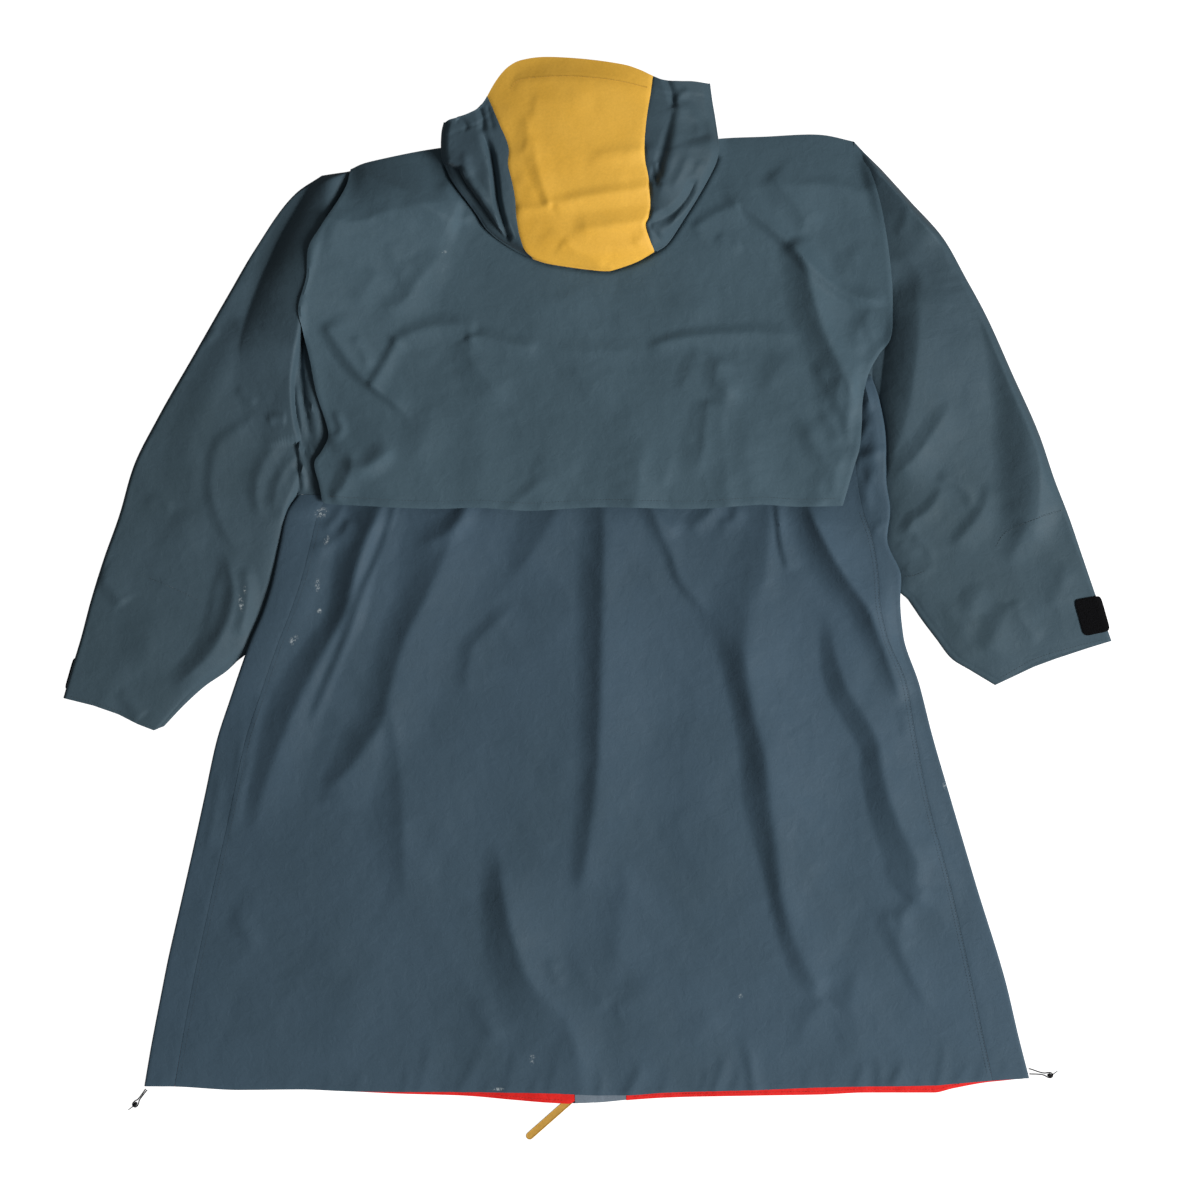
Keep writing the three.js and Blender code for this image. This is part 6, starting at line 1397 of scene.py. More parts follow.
HOOD_FOLDS = [
    # centre panel
    fold([(522, 112), (528, 130), (526, 148), (514, 158)], (10, 14, 12), 16, 2.4, q=1.4, crest=1.4, start=0.3, end=0.3),
    fold([(585, 165), (612, 158), (645, 152)], 10, 22, 1.2, crest=3, start=0.3, end=0.1),
    fold([(516, 210), (534, 206), (551, 205)], 7, 14, 0.8, q=1.3, crest=1.2, start=0.2, end=0.05),
    fold([(570, 245), (562, 236), (548, 228)], 6, 12, 0.6, q=1.3, crest=1.0, start=0.05, end=0.3),
    fold([(540, 92), (536, 106), (534, 122)], 6, 18, 1.0, crest=2, start=0.3, end=0.3),
    fold([(533, 130), (536, 160), (543, 186), (551, 207)], (12, 12, 9, 6), 18, (1.6, 3, 3.6, 3.6), q=1.4, crest=1.3, start=0.3, end=0.06),
    fold([(651, 186), (630, 190), (600, 194), (575, 199), (551, 206)], 9, 15, (2.4, 3, 3.4, 3.6, 3.4), q=1.4, crest=1.2, start=0.0, end=0.08),
    fold([(550, 205), (535, 209), (514, 208)], 6, 10, 1.6, crest=1.8, start=0.0, end=0.2),
    fold([(652, 221), (620, 224), (595, 228), (572, 229)], 15, 16, 5.0, q=1.3, crest=1.5, start=0.0, end=0.2),
    fold([(652, 150), (620, 152), (600, 156), (586, 166)], 9, 18, 1.8, crest=2.5, start=0.0, end=0.4),
    fold([(578, 228), (574, 238), (568, 247)], 9, 14, 1.0, crest=1.8, start=0.3, end=0.1),
    fold([(536, 226), (548, 236), (562, 246)], 16, 14, -1.8, crest=3, start=0.4, end=0.1),
    fold([(534, 232), (552, 240), (572, 249), (592, 258), (606, 266)], 14, 20, 2.4, crest=2.5, start=0.2, end=0.1),
    fold([(632, 246), (642, 238), (650, 228)], 10, 10, 1.8, crest=2, start=0.3, end=0.2),
    fold([(513, 178), (530, 184), (540, 196)], 10, 10, 1.2, crest=3, start=0.3, end=0.3),
    fold([(600, 100), (560, 104), (530, 110)], 20, 26, 1.2, crest=8, start=0.4, end=0.4),
    # left lobe: the deep gap beside the centre panel, the lobe, its pleats
    fold([(480, 126), (490, 150), (493, 164), (495.5, 182), (498, 203), (504, 225), (511, 242)], 4.5, 5, -9.0, q=1.1,
         crest=1.0, start=0.3, end=0.06),
    fold([(472, 128), (480, 148), (486, 170), (488, 192), (494, 214)], 20, 10, 1.6, q=1.3, crest=2, start=0.2, end=0.3),
    fold([(479, 106), (483, 120), (482, 133)], 5, 6, -3.2, q=1.2, crest=1, start=0.1, end=0.2),
    fold([(457, 118), (464, 123), (469, 131)], 4.5, 6, -2.6, q=1.2, crest=1, start=0.1, end=0.3),
    fold([(487, 104), (490, 118), (494, 132)], 4, 5, -1.6, crest=1, start=0.2, end=0.3),
    fold([(462, 150), (466, 162), (474, 178)], 8, 8, 1.8, crest=2, start=0.3, end=0.3),
    fold([(462, 168), (456, 166), (449, 162)], 3.5, 4, -2.6, crest=1, start=0.1, end=0.2),
    fold([(466, 176), (477, 190), (488, 206)], 5, 6, 1.4, crest=1.5, start=0.3, end=0.3),
    fold([(503, 220), (508, 232), (512, 244)], 5, 5, 2.2, crest=1.4, start=0.3, end=0.3),
    # right lobe
    fold([(674, 104), (669, 126), (664, 148), (658, 170), (656, 188)], (5, 5, 6, 8), 6, (-1.6, -2, -2.5, -5.5), q=1.15, crest=1.1, start=0.15, end=0.15),
    fold([(667, 80), (672, 94), (674, 108)], 5, 6, -3.4, q=1.2, crest=1.0, start=0.0, end=0.1),
    fold([(683, 98), (678, 122), (674, 146), (664, 184), (655, 210)], 12, 26, 4.6, q=1.3, crest=2.5, start=0.1, end=0.25),
    fold([(690, 90), (680, 96), (675, 106)], 5, 6, 2.0, crest=1.5, start=0.2, end=0.2),
    fold([(697, 176), (688, 196), (672, 213), (651, 223)], 7, 8, -5.0, q=1.2, crest=1.3, start=0.15, end=0.0),
    fold([(702, 184), (692, 204), (678, 220), (656, 236)], 6, 9, 3.0, crest=2, start=0.2, end=0.1),
    fold([(688, 112), (697, 122), (699, 140)], 7, 8, 1.8, crest=2, start=0.3, end=0.3),
    fold([(690, 150), (682, 172), (670, 192)], 8, 12, 2.6, crest=2, start=0.3, end=0.3),
    fold([(702, 158), (696, 172), (688, 184)], 7, 8, 1.8, crest=2, start=0.3, end=0.2),
    fold([(655, 160), (657, 172), (661, 184)], 3.5, 4, 2.2, crest=1.2, start=0.2, end=0.2),
]
LOBE_EDGE = [(443.4, 150), (444.5, 159), (452, 164.5), (460.8, 167.5), (463, 173), (468, 182), (478.4, 196.7),
             (488.7, 211.4), (499, 227.6), (509, 240), (522, 252)]


def seam_left_x(d):
    return spline([p[1] for p in SEAM_LEFT], [p[0] for p in SEAM_LEFT])(d)


def seam_right_x(d):
    return spline([p[1] for p in SEAM_RIGHT], [p[0] for p in SEAM_RIGHT])(d)


def stand(x, d, z):
    """Moves a raised point so that it is seen from above at its own table place."""
    k = 1 - z / 5000.0
    return 600 + (x - 600) * k, 600 + (d - 600) * k


def coons(top, bottom, left, right, nu, nv, v_of=None):
    u = np.linspace(0, 1, nu)
    v = np.linspace(0, 1, nv) if v_of is None else v_of
    T, B = along(top, u), along(bottom, u)
    L, R = along(left, v), along(right, v)
    U, V = u[:, None, None], v[None, :, None]
    P = (lerp(L[None], R[None], U) + lerp(T[:, None], B[:, None], V)
         - (lerp(lerp(T[0], T[-1], U), lerp(B[0], B[-1], U), V)))
    return P[..., 0], P[..., 1], U[..., 0], V[..., 0]


def hood_bed(x, d):
    return np.maximum(sample(bed, x, d) + 0.8, 6.0)


# centre panel: brim, upper layer, crown fold, lower layer
X, Dm, U, V = coons(BRIM, CROWN, SEAM_LEFT, SEAM_RIGHT, 72, 92)
seam_z = SEAM_Z(Dm)
across = np.sin(np.pi * np.clip(U, 0, 1))
Z = lerp(seam_z, MID_Z(Dm), across ** 0.75)
edge_b = line_distance(BRIM, X, Dm)
edge_c = line_distance(CROWN, X, Dm)
Z = Z - 3.0 * (1 - ease(0, 26, edge_b)) * across
Z = Z - 6.0 * (1 - np.sqrt(np.clip(edge_c / 15.0, 0, 1))) * (0.3 + 0.7 * across)
inner = ease(0, 5, np.minimum(X - seam_left_x(Dm), seam_right_x(Dm) - X) + 2.0)
Z = Z + 0.62 * folds_at(HOOD_FOLDS, X, Dm) * inner
Z = Z + (0.35 * noise(X, Dm, 26, 91, 1.3, 30) + 0.12 * noise(X, Dm, 9, 92)) * ease(0, 8, edge_b)
# hem of the brim: raised band above its stitching
BRIM_STITCH = [(511, 90), (514, 84), (521, 79.5), (535, 77.5), (560, 76), (588, 77), (620, 81), (649.5, 88)]
edge_s = line_distance(BRIM_STITCH, X, Dm)
over_line = Dm < np.interp(X, [p[0] for p in BRIM_STITCH], [p[1] for p in BRIM_STITCH])
Z = Z - 0.5 * over_line * ease(0, 6, edge_s) * ease(505, 516, X) - 0.25 * np.exp(-(edge_s / 1.4) ** 2)
Z = Z - seam_dip(X - seam_left_x(Dm), 0.5, 1.3) * (V > 0) - seam_dip(X - seam_right_x(Dm), 0.5, 1.3)
CENTRE_EDGE_Z = (V[0], Z[0].copy(), Z[-1].copy())
low_z = hood_bed(X[:, -1], Dm[:, -1]) + 0.6
phi = np.linspace(0, math.pi, 12)[1:]
crown_x, crown_d, crown_z = X[:, -1], Dm[:, -1], Z[:, -1]
r = 1.8
cx = np.repeat(crown_x[:, None], len(phi), axis=1)
cd = crown_d[:, None] + r * np.sin(phi)[None, :] - r * 0.25
cz = lerp(crown_z[:, None], low_z[:, None], (1 - np.cos(phi))[None, :] / 2)
under_l = np.array([(505, 150), (508, 163), (511, 180), (514, 198), (516, 214), (519, 230), (523, 242), (529, 252)], float)
under_r = np.array([(668, 146), (664, 161), (660, 178), (657, 195), (655, 211), (653, 226), (653, 239), (653.5, 247.5)], float)
share = np.linspace(1, 0, 14)[1:]
ul, ur = along(under_l, share), along(under_r, share)
uc = np.linspace(0, 1, X.shape[0])
lx = lerp(ul[None, :, 0] + GAP / 2, ur[None, :, 0] - GAP / 2, uc[:, None])
ld = lerp(ul[None, :, 1], ur[None, :, 1], uc[:, None]) + 8 * np.sin(np.pi * uc)[:, None] * (share < 2)
lz = hood_bed(lx, ld) + 0.6
X2, D2, Z2 = (np.concatenate([p, q, s], axis=1) for p, q, s in ((X, cx, lx), (Dm, cd, ld), (Z, cz, lz)))
sx, sd = stand(X2, D2, Z2)
hood_centre = shell("hood_centre_panel", sx, sd, Z2, MUSTARD, up=(30, 40))
CENTRE = (X, Dm, Z)


def hood_side(side):
    left = side == "left"
    if left:
        X, Dm, U, V = coons(TOP_LEFT, [(532.7, 257.4), (531.6, 257.0), (530.5, 256.5)], SEAM_LEFT, OUT_LEFT, 46, 92)
        outline, top, seam_x = OUT_LEFT, TOP_LEFT, seam_left_x
    else:
        X, Dm, U, V = coons(TOP_RIGHT, [(654, 250.5), (655, 250.4), (656, 250.3)], SEAM_RIGHT, OUT_RIGHT, 46, 92)
        outline, top, seam_x = OUT_RIGHT, TOP_RIGHT, seam_right_x
    floor = hood_bed(X, Dm) + 0.6
    edge_o = line_distance(outline, X, Dm)
    edge_t = line_distance(top, X, Dm)
    edge_z = CENTRE_EDGE_Z[1] if left else CENTRE_EDGE_Z[2]
    seam_z = np.interp(V[0], CENTRE_EDGE_Z[0], edge_z)[None, :]
    rim_z = floor + 11.0 * ease(118, 150, Dm) * (1 - ease(205, 250, Dm)) + 4.6 
    if left:
        rim_z = lerp(rim_z, np.maximum(rim_z, 28.0), 1 - ease(180, 240, Dm))
    t = U
    Z = lerp(seam_z, rim_z + 1.5, ease(0, 1, t) * 0.4 + t * 0.6)
    # a round side: it stands a few millimetres above the straight line
    Z = Z + (1.6 if left else 4.5) * np.sin(np.pi * np.clip(t, 0, 1)) ** 0.8 * (1 - 0.75 * ease(200, 250, Dm))
    Z = Z - 6.5 * (1 - np.sqrt(np.clip(edge_o / 6.0, 0, 1)))
    near_seam = np.abs(X - seam_x(np.clip(Dm, 76, 257)))
    Z = Z + folds_at(HOOD_FOLDS, X, Dm) * ease(0, 5, near_seam + 1.0)
    if left:
        # the upper lobe overhangs the band below it
        lobe = fine(LOBE_EDGE, 60)
        best = np.full(X.shape, 1e9)
        sign = np.zeros(X.shape)
        for n in range(len(lobe) - 1):
            ex, ed = lobe[n + 1] - lobe[n]
            rx, rd = X - lobe[n, 0], Dm - lobe[n, 1]
            q = np.clip((rx * ex + rd * ed) / (ex * ex + ed * ed), 0, 1)
            far = np.hypot(rx - q * ex, rd - q * ed)
            hit = far < best
            best = np.where(hit, far, best)
            sign = np.where(hit, np.sign(rx * ed - rd * ex), sign)
        away = best * sign
        beyond = (1 - ease(-2.2, 0.6, away)) * ease(148, 164, Dm) * (1 - ease(236, 254, Dm))
        band = floor + 6.0 + 0.8 * np.sin(np.clip(edge_o / 12.0, 0, 1) * math.pi)
        band = band - 3.0 * (1 - np.sqrt(np.clip(edge_o / 5.0, 0, 1)))
        Z = lerp(Z, np.minimum(Z, band), beyond)
        Z = Z + 2.2 * np.exp(-((away - 4.0) / 4.0) ** 2) * ease(150, 168, Dm) * (1 - ease(228, 246, Dm))
    Z = Z + (0.3 * noise(X, Dm, 16, 95 if left else 97, 1.3, 60) + 0.12 * noise(X, Dm, 7, 96)) * ease(0, 6, near_seam)
    Z = Z + 0.4 * (1 - ease(12, 14, edge_t)) - seam_dip(edge_t - 13.2, 0.4, 1.0)
    Z = np.maximum(Z, floor + 1.6)
    Z[0] = seam_z[0]
    # turn under at the outer fold, then run back below
    low = floor[-1]
    phi = np.linspace(0, math.pi, 9)[1:]
    tangent = np.stack([np.gradient(X[-1]), np.gradient(Dm[-1])], -1)
    tangent /= np.linalg.norm(tangent, axis=1, keepdims=True)
    normal = np.stack([-tangent[:, 1], tangent[:, 0]], -1) * (1 if left else -1)
    radius = 1.6
    ax = X[-1][None, :] + normal[None, :, 0] * radius * (np.sin(phi)[:, None] - 0.2)
    ad = Dm[-1][None, :] + normal[None, :, 1] * radius * (np.sin(phi)[:, None] - 0.2)
    az = lerp(Z[-1][None, :], low[None, :], (1 - np.cos(phi))[:, None] / 2)
    ul = under_l if left else under_r
    uline = along(ul, V[0])
    w = np.linspace(0, 1, 10)[1:, None]
    end_x = uline[:, 0] + (-GAP / 2 if left else GAP / 2)
    lx = lerp(ax[-1][None, :], end_x[None, :], w)
    ld = lerp(ad[-1][None, :], uline[None, :, 1], w)
    lz = hood_bed(lx, ld) + 0.6
    lz[0] = lerp(low, lz[0], 0.5)
    X3, D3, Z3 = (np.concatenate([p, q, s]) for p, q, s in ((X, ax, lx), (Dm, ad, ld), (Z, az, lz)))
    sx, sd = stand(X3, D3, Z3)
    shift = -GAP / 2 if left else GAP / 2
    sx[0] += shift
    return shell(f"hood_{side}_panel", sx, sd, Z3, SLEEVE_SLATE, up=(20, 40)), (X, Dm, Z)


hood_left, HOOD_L = hood_side("left")
hood_right, HOOD_R = hood_side("right")

# ------------------------------------------------------------------ neck stand
neckline = np.array(TOP_FRONT_L + TOP_FRONT_R, float)
NECK_F = spline(neckline[:, 0], neckline[:, 1])
tb = np.array(TOP_BACK, float)
NECK_B = spline(tb[:, 0], tb[:, 1])
levels_c = np.linspace(0, 1, 12)
left_c = np.interp(levels_c, [0, 0.55, 1], [473, 482, 496])
right_c = np.interp(levels_c, [0, 0.55, 1], [697, 692, 682])
front_c = np.interp(levels_c, [0, 0.55, 1], [2, 42, 74])
high_c = np.interp(levels_c, [0, 0.55, 1], [3.0, 4.0, 4.4])
s_top = np.linspace(0, 1, 40)
gx = lerp(left_c[None, :], right_c[None, :], s_top[:, None])
gd_top = NECK_B(gx) - front_c[None, :]
gd_low = NECK_F(gx) - front_c[None, :]
side_d = np.minimum(NECK_F(gx), NECK_B(gx)) - front_c[None, :]
blend = ease(0, 0.10, s_top)[:, None] * (1 - ease(0.90, 1, s_top))[:, None]
gd_top = lerp(side_d, gd_top, blend)
gd_low = lerp(side_d, gd_low, blend)
edge_z = np.sqrt(np.clip(np.minimum(s_top, 1 - s_top) / 0.04, 0, 1))[:, None]
gz_top = lerp(1.6, high_c[None, :] + 0.2, edge_z)
gz_low = lerp(1.6, 0.5, edge_z) * np.ones_like(gz_top)
X = np.concatenate([gx, gx[::-1][1:-1]])
Dm = np.concatenate([gd_top, gd_low[::-1][1:-1]])
Z = np.concatenate([gz_top, gz_low[::-1][1:-1]])
collar = shell("neck_stand", X, Dm, Z, INNER, wrap=True, up=(20, 5))

# ------------------------------------------------------------------ facings, flap
for side in ("left", "right"):
    left = side == "left"
    start, stop = (574.6, 150.0) if left else (626.3, 1023.5)
    u = np.linspace(0, 1, 150)
    v = np.concatenate([np.linspace(0, 0.3, 8)[:-1], np.linspace(0.3, 1, 8)])
    x = lerp(start, stop, u)[:, None] * np.ones_like(v)[None, :]
    hem = HEM_FRONT(x) + 0.35
    d = hem - 44 * v[None, :]
    if left:
        # its end at the zip is rounded
        d = d - (1 - np.sqrt(np.clip((574.6 - x) / 5.0 + 0.02, 0, 1))) * 3.2 * (1 - v[None, :]) ** 4
    x = np.maximum(x, EDGE_L(d) + 5.2) if left else np.minimum(x, EDGE_R(d) - 5.2)
    z = 2.0 + zip_lift(x, d) - 0.8 * (1 - ease(0, 2.2, hem - d))
    z = z + 0.22 * noise(x, d, 9, 121, 0.7, 75) + 0.15 * noise(x, d, 24, 122)
    z = z - 0.18 * np.exp(-((hem - d - 3.2) / 0.7) ** 2)
    z = np.maximum(z, 1.55 + zip_lift(x, d) - 0.7 * (1 - ease(0, 2.2, hem - d)))
    piece = shell(f"facing_{side}", x, d, z, RED, thick=0.7)
    FRONTS[side + "_facing"] = piece

x = np.linspace(575.1, 625.9, 44)[:, None]
d = np.concatenate([np.linspace(1103, 1060, 22)[:-1], np.linspace(1060, 206, 20)])[None, :]
d = np.minimum(d, HEM_FRONT(x) - 0.3 * np.ones_like(d))
x = x * np.ones_like(d)
d = np.minimum.accumulate(d - np.arange(d.shape[1])[None, :] * 1e-3, axis=1)
z = 2.0 + zip_lift(x, d) + 0.25 * np.sin((x - 575) / 7.0) * ease(1020, 1090, d)
z = z + 0.25 * np.exp(-((x - 600) / 2.2) ** 2)
flap = shell("zip_flap_panel", x, d, z, GREY, thick=0.7)

# ------------------------------------------------------------------ stitches
def stitches(name, paths, material, pitch=3.0, length=2.1, radius=0.16, owner="root"):
    """Short threads along paths of (x, d, z)."""
    points, faces, base = [], [], 0
    for path in paths:
        path = np.asarray(path, float)
        far = np.concatenate([[0], np.cumsum(np.linalg.norm(np.diff(path, axis=0), axis=1))])
        spots = np.arange(pitch / 2, far[-1] - length / 2, pitch)
        for ends in ((-0.5, -0.2, 0.2, 0.5),):
            rings = []
            for k, e in enumerate(ends):
                p = np.stack([np.interp(spots + e * length, far, path[:, c]) for c in range(3)], -1)
                p[:, 2] += 0.10 if k in (1, 2) else -0.12
                rings.append(frame_points(p[:, 0], p[:, 1], p[:, 2]))
        along_t = rings[3] - rings[0]
        along_t /= np.linalg.norm(along_t, axis=1, keepdims=True)
        side_t = np.cross(along_t, [0, 0, 1.0])
        side_t /= np.maximum(np.linalg.norm(side_t, axis=1, keepdims=True), 1e-9)
        up_t = np.cross(side_t, along_t)
        r = radius / 1000.0
        body = []
        for k in (0, 1, 2, 3):
            rr = r * (0.55 if k in (0, 3) else 1.0)
            for ang in (0, 90, 180, 270):
                ca, sa = math.cos(math.radians(ang)), math.sin(math.radians(ang))
                body.append(rings[k] + side_t * rr * ca + up_t * rr * sa)
        body = np.stack(body, axis=1)
        count = body.shape[0]
        points.append(body.reshape(-1, 3))
        quads = []
        for k in range(3):
            for m in range(4):
                quads.append((4 * k + m, 4 * k + 4 + m, 4 * k + 4 + (m + 1) % 4, 4 * k + (m + 1) % 4))
        quads.append((0, 1, 2, 3))
        quads.append((15, 14, 13, 12))
        quads = np.array(quads)
        faces.append((quads[None] + (np.arange(count) * 16)[:, None, None]).reshape(-1, 4) + base)
        base += count * 16
    piece = put(name, np.concatenate(points), faces, material, sharp=None)
    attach(piece, owner)
    return piece


def on_grid(grid, x, d, lift=0.0):
    """Heights of a stamped surface along a path."""
    table = stamp(empty(0.0), *grid)
    return sample(table, x, d) + lift


half = CLOTH / 2
d = np.linspace(512, 1076, 400)
seam_paths = []
for shift in (-4.2, -0.9):
    seam_paths.append(np.stack([SEAM_R(d) + shift, d, back_z(SEAM_R(d) + shift, d) + half + 0.02], -1))
    if shift < -2:
        seam_paths.append(np.stack([SEAM_L(d) - shift, d, back_z(SEAM_L(d) - shift, d) + half - 0.06], -1))
x = np.linspace(178, 990, 560)
hem_path = np.stack([x, HEM_BACK(x) - 6.5, back_z(x, HEM_BACK(x) - 6.5) + half], -1)
stitches("stitches_body", seam_paths + [hem_path], THREAD_SLATE)
x = np.linspace(328, 838, 400)
hem_line = along(CAPE_HEM, np.linspace(0.01, 0.99, 400))
cape_table = stamp(empty(0.0), *CAPE_GRID)
hx, hd = hem_line[:, 0], hem_line[:, 1] - 7.5
stitches("stitches_cape", [np.stack([hx, hd, sample(cape_table, hx, hd) + half - 0.1], -1)], THREAD_SLATE)

# ------------------------------------------------------------------ cuff tabs
def tab(name, node, corner_x, corner_d, z_of, thick, material):
    """A rounded rectangle of looped tape on a surface."""
    n = 40
    s = np.linspace(-1, 1, n)
    U, V = np.meshgrid(s, s, indexing="ij")
    # superellipse: round its corners
    k = 0.16
    fx = U * np.sqrt(np.clip(1 - k * V ** 8, 0, 1))
    fy = V * np.sqrt(np.clip(1 - k * U ** 8, 0, 1))
    fx, fy = (fx + 1) / 2, (fy + 1) / 2
    (x00, x10, x11, x01), (d00, d10, d11, d01) = corner_x, corner_d
    X = (x00 * (1 - fx) + x10 * fx) * (1 - fy) + (x01 * (1 - fx) + x11 * fx) * fy
    D = (d00 * (1 - fx) + d10 * fx) * (1 - fy) + (d01 * (1 - fx) + d11 * fx) * fy
    edge = np.minimum(1 - np.abs(U), 1 - np.abs(V))
    Z = z_of(X, D) + thick / 2 - 0.35 * (1 - ease(0, 0.08, edge))
    Z = Z + 0.12 * noise(X, D, 2.2, 140) * ease(0, 0.1, edge)
    piece = shell(name, X, D, Z, material, thick=thick)
    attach(piece, "root")
    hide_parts(node)
    return piece


g = SLEEVES["right"]
right_top = stamp(empty(0.0), g["x"], g["d"], g["z"])
right_top = blur(grow(right_top, 2.0), 2.0, 1)
g = SLEEVES["left"]
left_top = stamp(empty(0.0), g["x"], g["d"], g["z"])
left_top = blur(grow(left_top, 2.0), 2.0, 1)
paths = []
for table, line in ((right_top, [(995, 547), (1004, 534), (1030, 521), (1062, 510)]), (right_top, [(905, 577), (915, 575), (926, 570)]),
                    (left_top, [(150, 578), (174, 588), (199, 600)])):
    line = fine(line, 40)
    paths.append(np.stack([line[:, 0], line[:, 1], sample(table, line[:, 0], line[:, 1]) + half - 0.05], -1))
for side in ("left", "right"):
    g = SLEEVES[side]
    pick = (g["a"] > 0.05) & (g["a"] < 0.95)
    paths.append(np.stack([g["x"][pick, -2], g["d"][pick, -2], g["z"][pick, -2] + half], -1))
stitches("stitches_sleeves", paths, THREAD_SLATE)
line = fine(BRIM_STITCH, 120)
mid_table = stamp(empty(0.0), *CENTRE)
mid_z = sample(blur(grow(mid_table, 2.0), 2.0, 1), line[:, 0], line[:, 1]) + half
sx, sd = stand(line[:, 0], line[:, 1], mid_z)
stitches("stitches_brim", [np.stack([sx, sd, mid_z], -1)], THREAD_MUSTARD, pitch=2.6, length=1.9)
paths = []
for x0, x1 in ((300, 566), (634, 960)):
    x = np.linspace(x0, x1, 300)
    d = HEM_FRONT(x) + 0.35 - 3.2
    paths.append(np.stack([x, d, 2.0 + zip_lift(x, d) + 0.5], -1))
stitches("stitches_facings", paths, THREAD_RED)
tab_right = tab("cuff_tab_right_piece", "cuff_tab_right", (1073.5, 1099.8, 1109.6, 1083.2), (600.2, 595.6, 630.6, 636.2),
                lambda x, d: sample(right_top, x, d) + half + 0.1, 1.3, LOOPED)
tab_left = tab("cuff_tab_left_piece", "cuff_tab_left", (73.9, 101.0, 92.0, 64.4), (656.6, 663.2, 696.0, 689.6),
               lambda x, d: 0.05 + 0 * x, 1.1, LOOPED)

# ------------------------------------------------------------------ zip
parts = []
box_faces = np.array([(0, 3, 2, 1), (4, 5, 6, 7), (0, 1, 5, 4), (1, 2, 6, 5), (2, 3, 7, 6), (3, 0, 4, 7)])


def block(x0, x1, d0, d1, z0, z1, taper=0.0):
    low = frame_points([x0, x1, x1, x0], [d1, d1, d0, d0], [z0] * 4)
    t = taper
    top = frame_points([x0 + t, x1 - t, x1 - t, x0 + t], [d1 - t, d1 - t, d0 + t, d0 + t], [z1] * 4)
    return np.concatenate([low, top]), [box_faces]


count = 0
d = 202.0
while d < 1064.5:
    if count % 2 == 0:
        parts.append(block(583.45, 586.9, d, d + 1.5, 0.05, 1.15, 0.15))
    else:
        parts.append(block(585.1, 588.55, d, d + 1.5, 0.05, 1.15, 0.15))
    d += 1.62
    count += 1
parts.append(block(585.75, 586.25, 200.2, 1065.8, 0.25, 0.85))
chain = put("zip_teeth", *join_parts(parts), TEETH, smooth=False)
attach(chain, "root")
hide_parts("zip_chain")
for name in ("zip_tape_left", "zip_tape_right"):
    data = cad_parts[name].data
    data.materials.clear()
    data.materials.append(TAPE)
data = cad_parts["zip_slider"].data
data.materials.clear()
data.materials.append(METAL)

# puller: eye, neck and a soft-edged grip with a raised rim
turn = math.radians(PULLER_TURN)
pivot = frame_points(ZIP_X, PIVOT_D, 0.0)


def puller_mesh():
    rim_points = []
    half_w = lambda s: np.interp(s, [2.2, 4.5, 14, 19, 75, 78.8], [1.75, 1.7, 1.7, 3.8, 3.8, 3.8])
    # outline of neck and grip, counter-clockwise
    s = np.concatenate([np.linspace(3.0, 14.5, 8), np.linspace(14.5, 20.5, 12), np.linspace(21.5, 75.0, 30)])
    w = 1.7 + 2.1 * ease(14.5, 20.0, s)
    tip = np.linspace(-math.pi / 2, math.pi / 2, 17)[1:-1]
    outline = [(a, -b) for a, b in zip(s, w)] + [(75.0 + 3.8 * math.cos(t), 3.8 * math.sin(t)) for t in tip]
    outline += [(a, b) for a, b in zip(s[::-1], w[::-1])]
    outline = np.array(outline)
    centre = np.stack([np.clip(outline[:, 0], 3.0, 75.0), np.zeros(len(outline))], -1)
    z_low = np.where(outline[:, 0] < 16, 0.65, 0.06)
    rings = []
    for inset, height in ((0.35, 0.0), (0.0, 0.28), (0.0, 0.72), (0.30, 1.0)):
        q = outline + (centre - outline) / np.maximum(np.linalg.norm(centre - outline, axis=1, keepdims=True), 1e-6) * inset
        z = lerp(z_low, 2.0, height)
        rings.append(np.stack([q[:, 0], q[:, 1], z], -1))
    for inset, z_top in ((0.85, 2.0), (1.15, 1.72)):
        q = outline + (centre - outline) / np.maximum(np.linalg.norm(centre - outline, axis=1, keepdims=True), 1e-6) * inset
        rings.append(np.stack([q[:, 0], q[:, 1], np.full(len(q), z_top)], -1))
    rings = np.array(rings)
    n_r, n_p = rings.shape[:2]
    index = np.arange(n_r * n_p).reshape(n_r, n_p)
    nxt = np.roll(index, -1, axis=1)
    quads = np.stack([index[:-1], nxt[:-1], nxt[1:], index[1:]], -1).reshape(-1, 4)
    points = rings.reshape(-1, 3)
    pts = [points]
    faces = [quads]
    # close top and bottom by strips between mirrored points
    half_n = n_p // 2
    def strip(row, up):
        out = []
        for k in range(half_n - 1):
            a, b = index[row, k], index[row, k + 1]
            c, e = index[row, n_p - 2 - k], index[row, n_p - 1 - k]
            out.append((a, b, c, e) if up else (e, c, b, a))
        return np.array(out)
    faces.append(strip(n_r - 1, True))
    faces.append(strip(0, False))
    return points, faces


points, faces = puller_mesh()
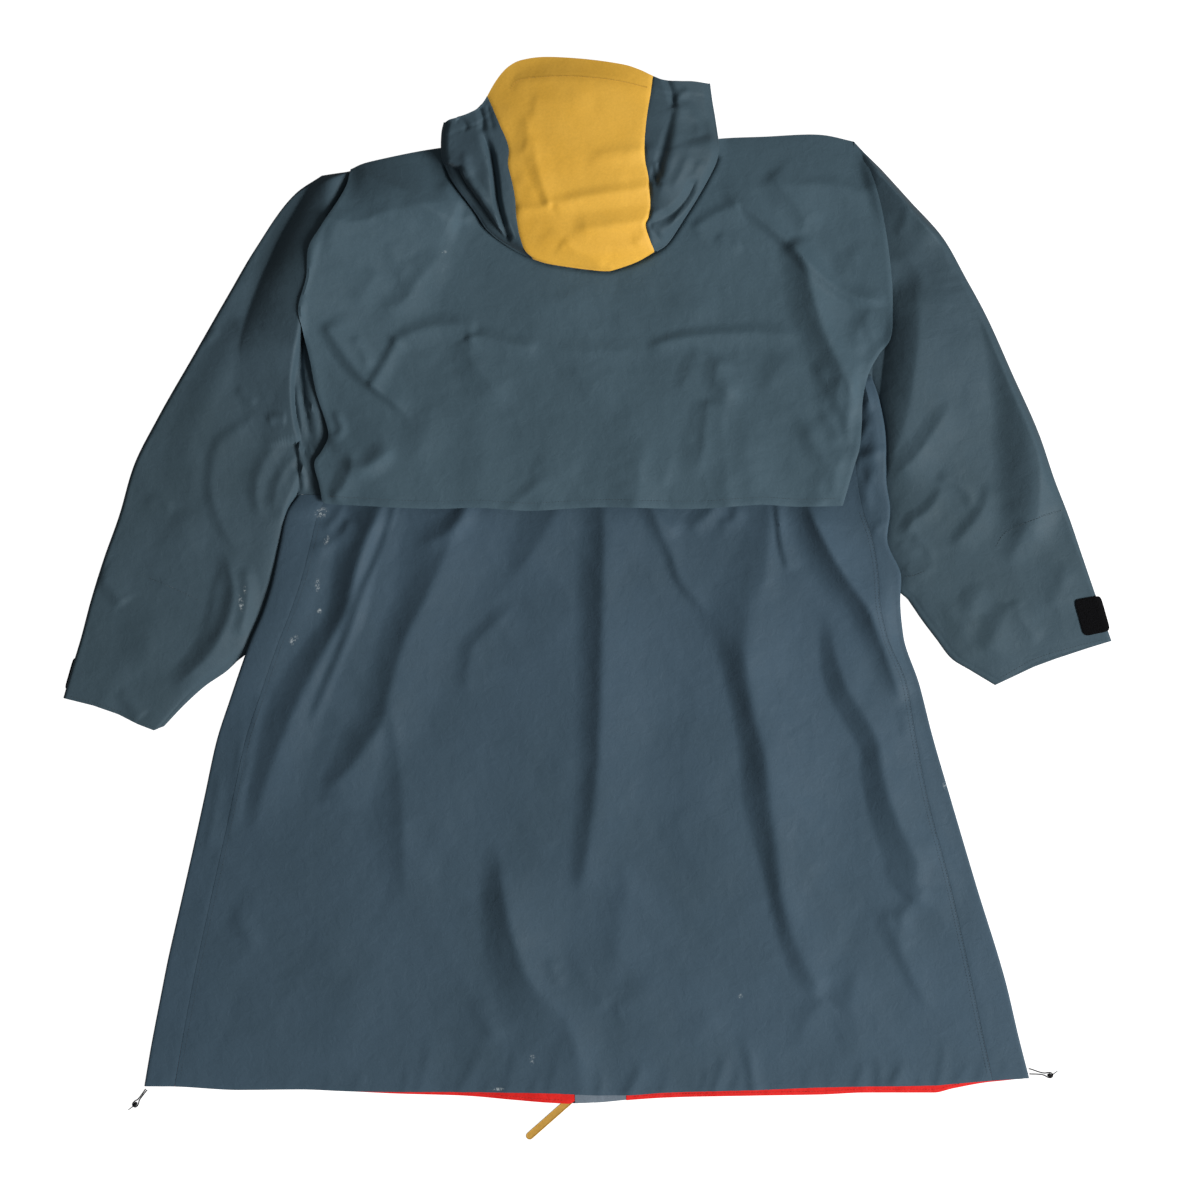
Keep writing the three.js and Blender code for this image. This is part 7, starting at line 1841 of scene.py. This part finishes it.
# the eye: a ring round the post
ring_n, tube_n = 28, 10
ang = np.linspace(0, 2 * math.pi, ring_n, endpoint=False)
sec = np.linspace(0, 2 * math.pi, tube_n, endpoint=False)
er = 2.68 + 0.98 * np.cos(sec)
ez = 1.32 + 0.62 * np.sin(sec)
eye_pts = np.stack([er[None, :] * np.cos(ang)[:, None], er[None, :] * np.sin(ang)[:, None],
                    np.repeat(ez[None, :], ring_n, axis=0)], -1).reshape(-1, 3)
index = np.arange(ring_n * tube_n).reshape(ring_n, tube_n)
a, b = index, np.roll(index, -1, axis=0)
quads = np.stack([a, b, np.roll(b, -1, axis=1), np.roll(a, -1, axis=1)], -1).reshape(-1, 4)
points, faces = join_parts([(points, faces), (eye_pts, [quads])])
c, s = math.cos(turn), math.sin(turn)
world = np.stack([points[:, 0] * c - points[:, 1] * s, points[:, 0] * s + points[:, 1] * c, points[:, 2]], -1) / 1000.0
world[:, :2] += pivot[:2]
puller = put("zip_puller_grip", world, faces, RUBBER)
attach(puller, "puller")
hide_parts("zip_puller")

# ------------------------------------------------------------------ attach the cloth pieces, hide their CAD parts
cloth(back, "back")
cloth(FRONTS["left"], "front_left")
cloth(FRONTS["right"], "front_right")
cloth(cape, "cape")
cloth(sleeve_left, "sleeve_left")
cloth(sleeve_right, "sleeve_right")
cloth(hood_centre, "hood_centre")
cloth(hood_left, "hood_left")
cloth(hood_right, "hood_right")
cloth(collar, "collar")
cloth(FRONTS["left_facing"], "hem_facing_left")
cloth(FRONTS["right_facing"], "hem_facing_right")
cloth(flap, "zip_flap")
for name, area in AREAS.items():
    print("area", name, round(area, 4))

# ------------------------------------------------------------------ floor and light
floor_mesh = bpy.data.meshes.new("floor")
floor_mesh.from_pydata([(-6, -6, -0.0002), (6, -6, -0.0002), (6, 6, -0.0002), (-6, 6, -0.0002)], [], [(0, 1, 2, 3)])
floor = bpy.data.objects.new("floor", floor_mesh)
bpy.context.scene.collection.objects.link(floor)
paper, tree, bsdf = nodes_of("floor_paper")
bsdf.inputs["Base Color"].default_value = (0.25, 0.25, 0.25, 1)
bsdf.inputs["Roughness"].default_value = 0.9
bsdf.inputs["Emission Color"].default_value = (1.0, 1.0, 1.0, 1)
bsdf.inputs["Emission Strength"].default_value = 1.0
floor_mesh.materials.append(paper)
floor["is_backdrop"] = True
# the paper is white to the eye only: it lends the cloth no light
floor.visible_diffuse = False
floor.visible_glossy = False


def area_light(name, place, size, power, colour=(1, 1, 1)):
    data = bpy.data.lights.new(name, "AREA")
    data.shape = "SQUARE"
    data.size = size
    data.energy = power
    data.color = colour
    lamp = bpy.data.objects.new(name, data)
    lamp.location = place
    from mathutils import Vector
    lamp.rotation_euler = (Vector((0, 0, 0)) - Vector(place)).to_track_quat("-Z", "Y").to_euler()
    lamp.visible_camera = False
    bpy.context.scene.collection.objects.link(lamp)
    return lamp


azimuth, elevation, reach = math.radians(-23), math.radians(37), 5.0
area_light("key", (reach * math.cos(azimuth) * math.cos(elevation), reach * math.sin(azimuth) * math.cos(elevation),
                   reach * math.sin(elevation)), 2.2, 325)
world = bpy.data.worlds.new("world")
world.use_nodes = True
world.node_tree.nodes["Background"].inputs[0].default_value = (1.0, 1.0, 1.0, 1)
world.node_tree.nodes["Background"].inputs[1].default_value = 0.14
bpy.context.scene.world = world

low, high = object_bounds()
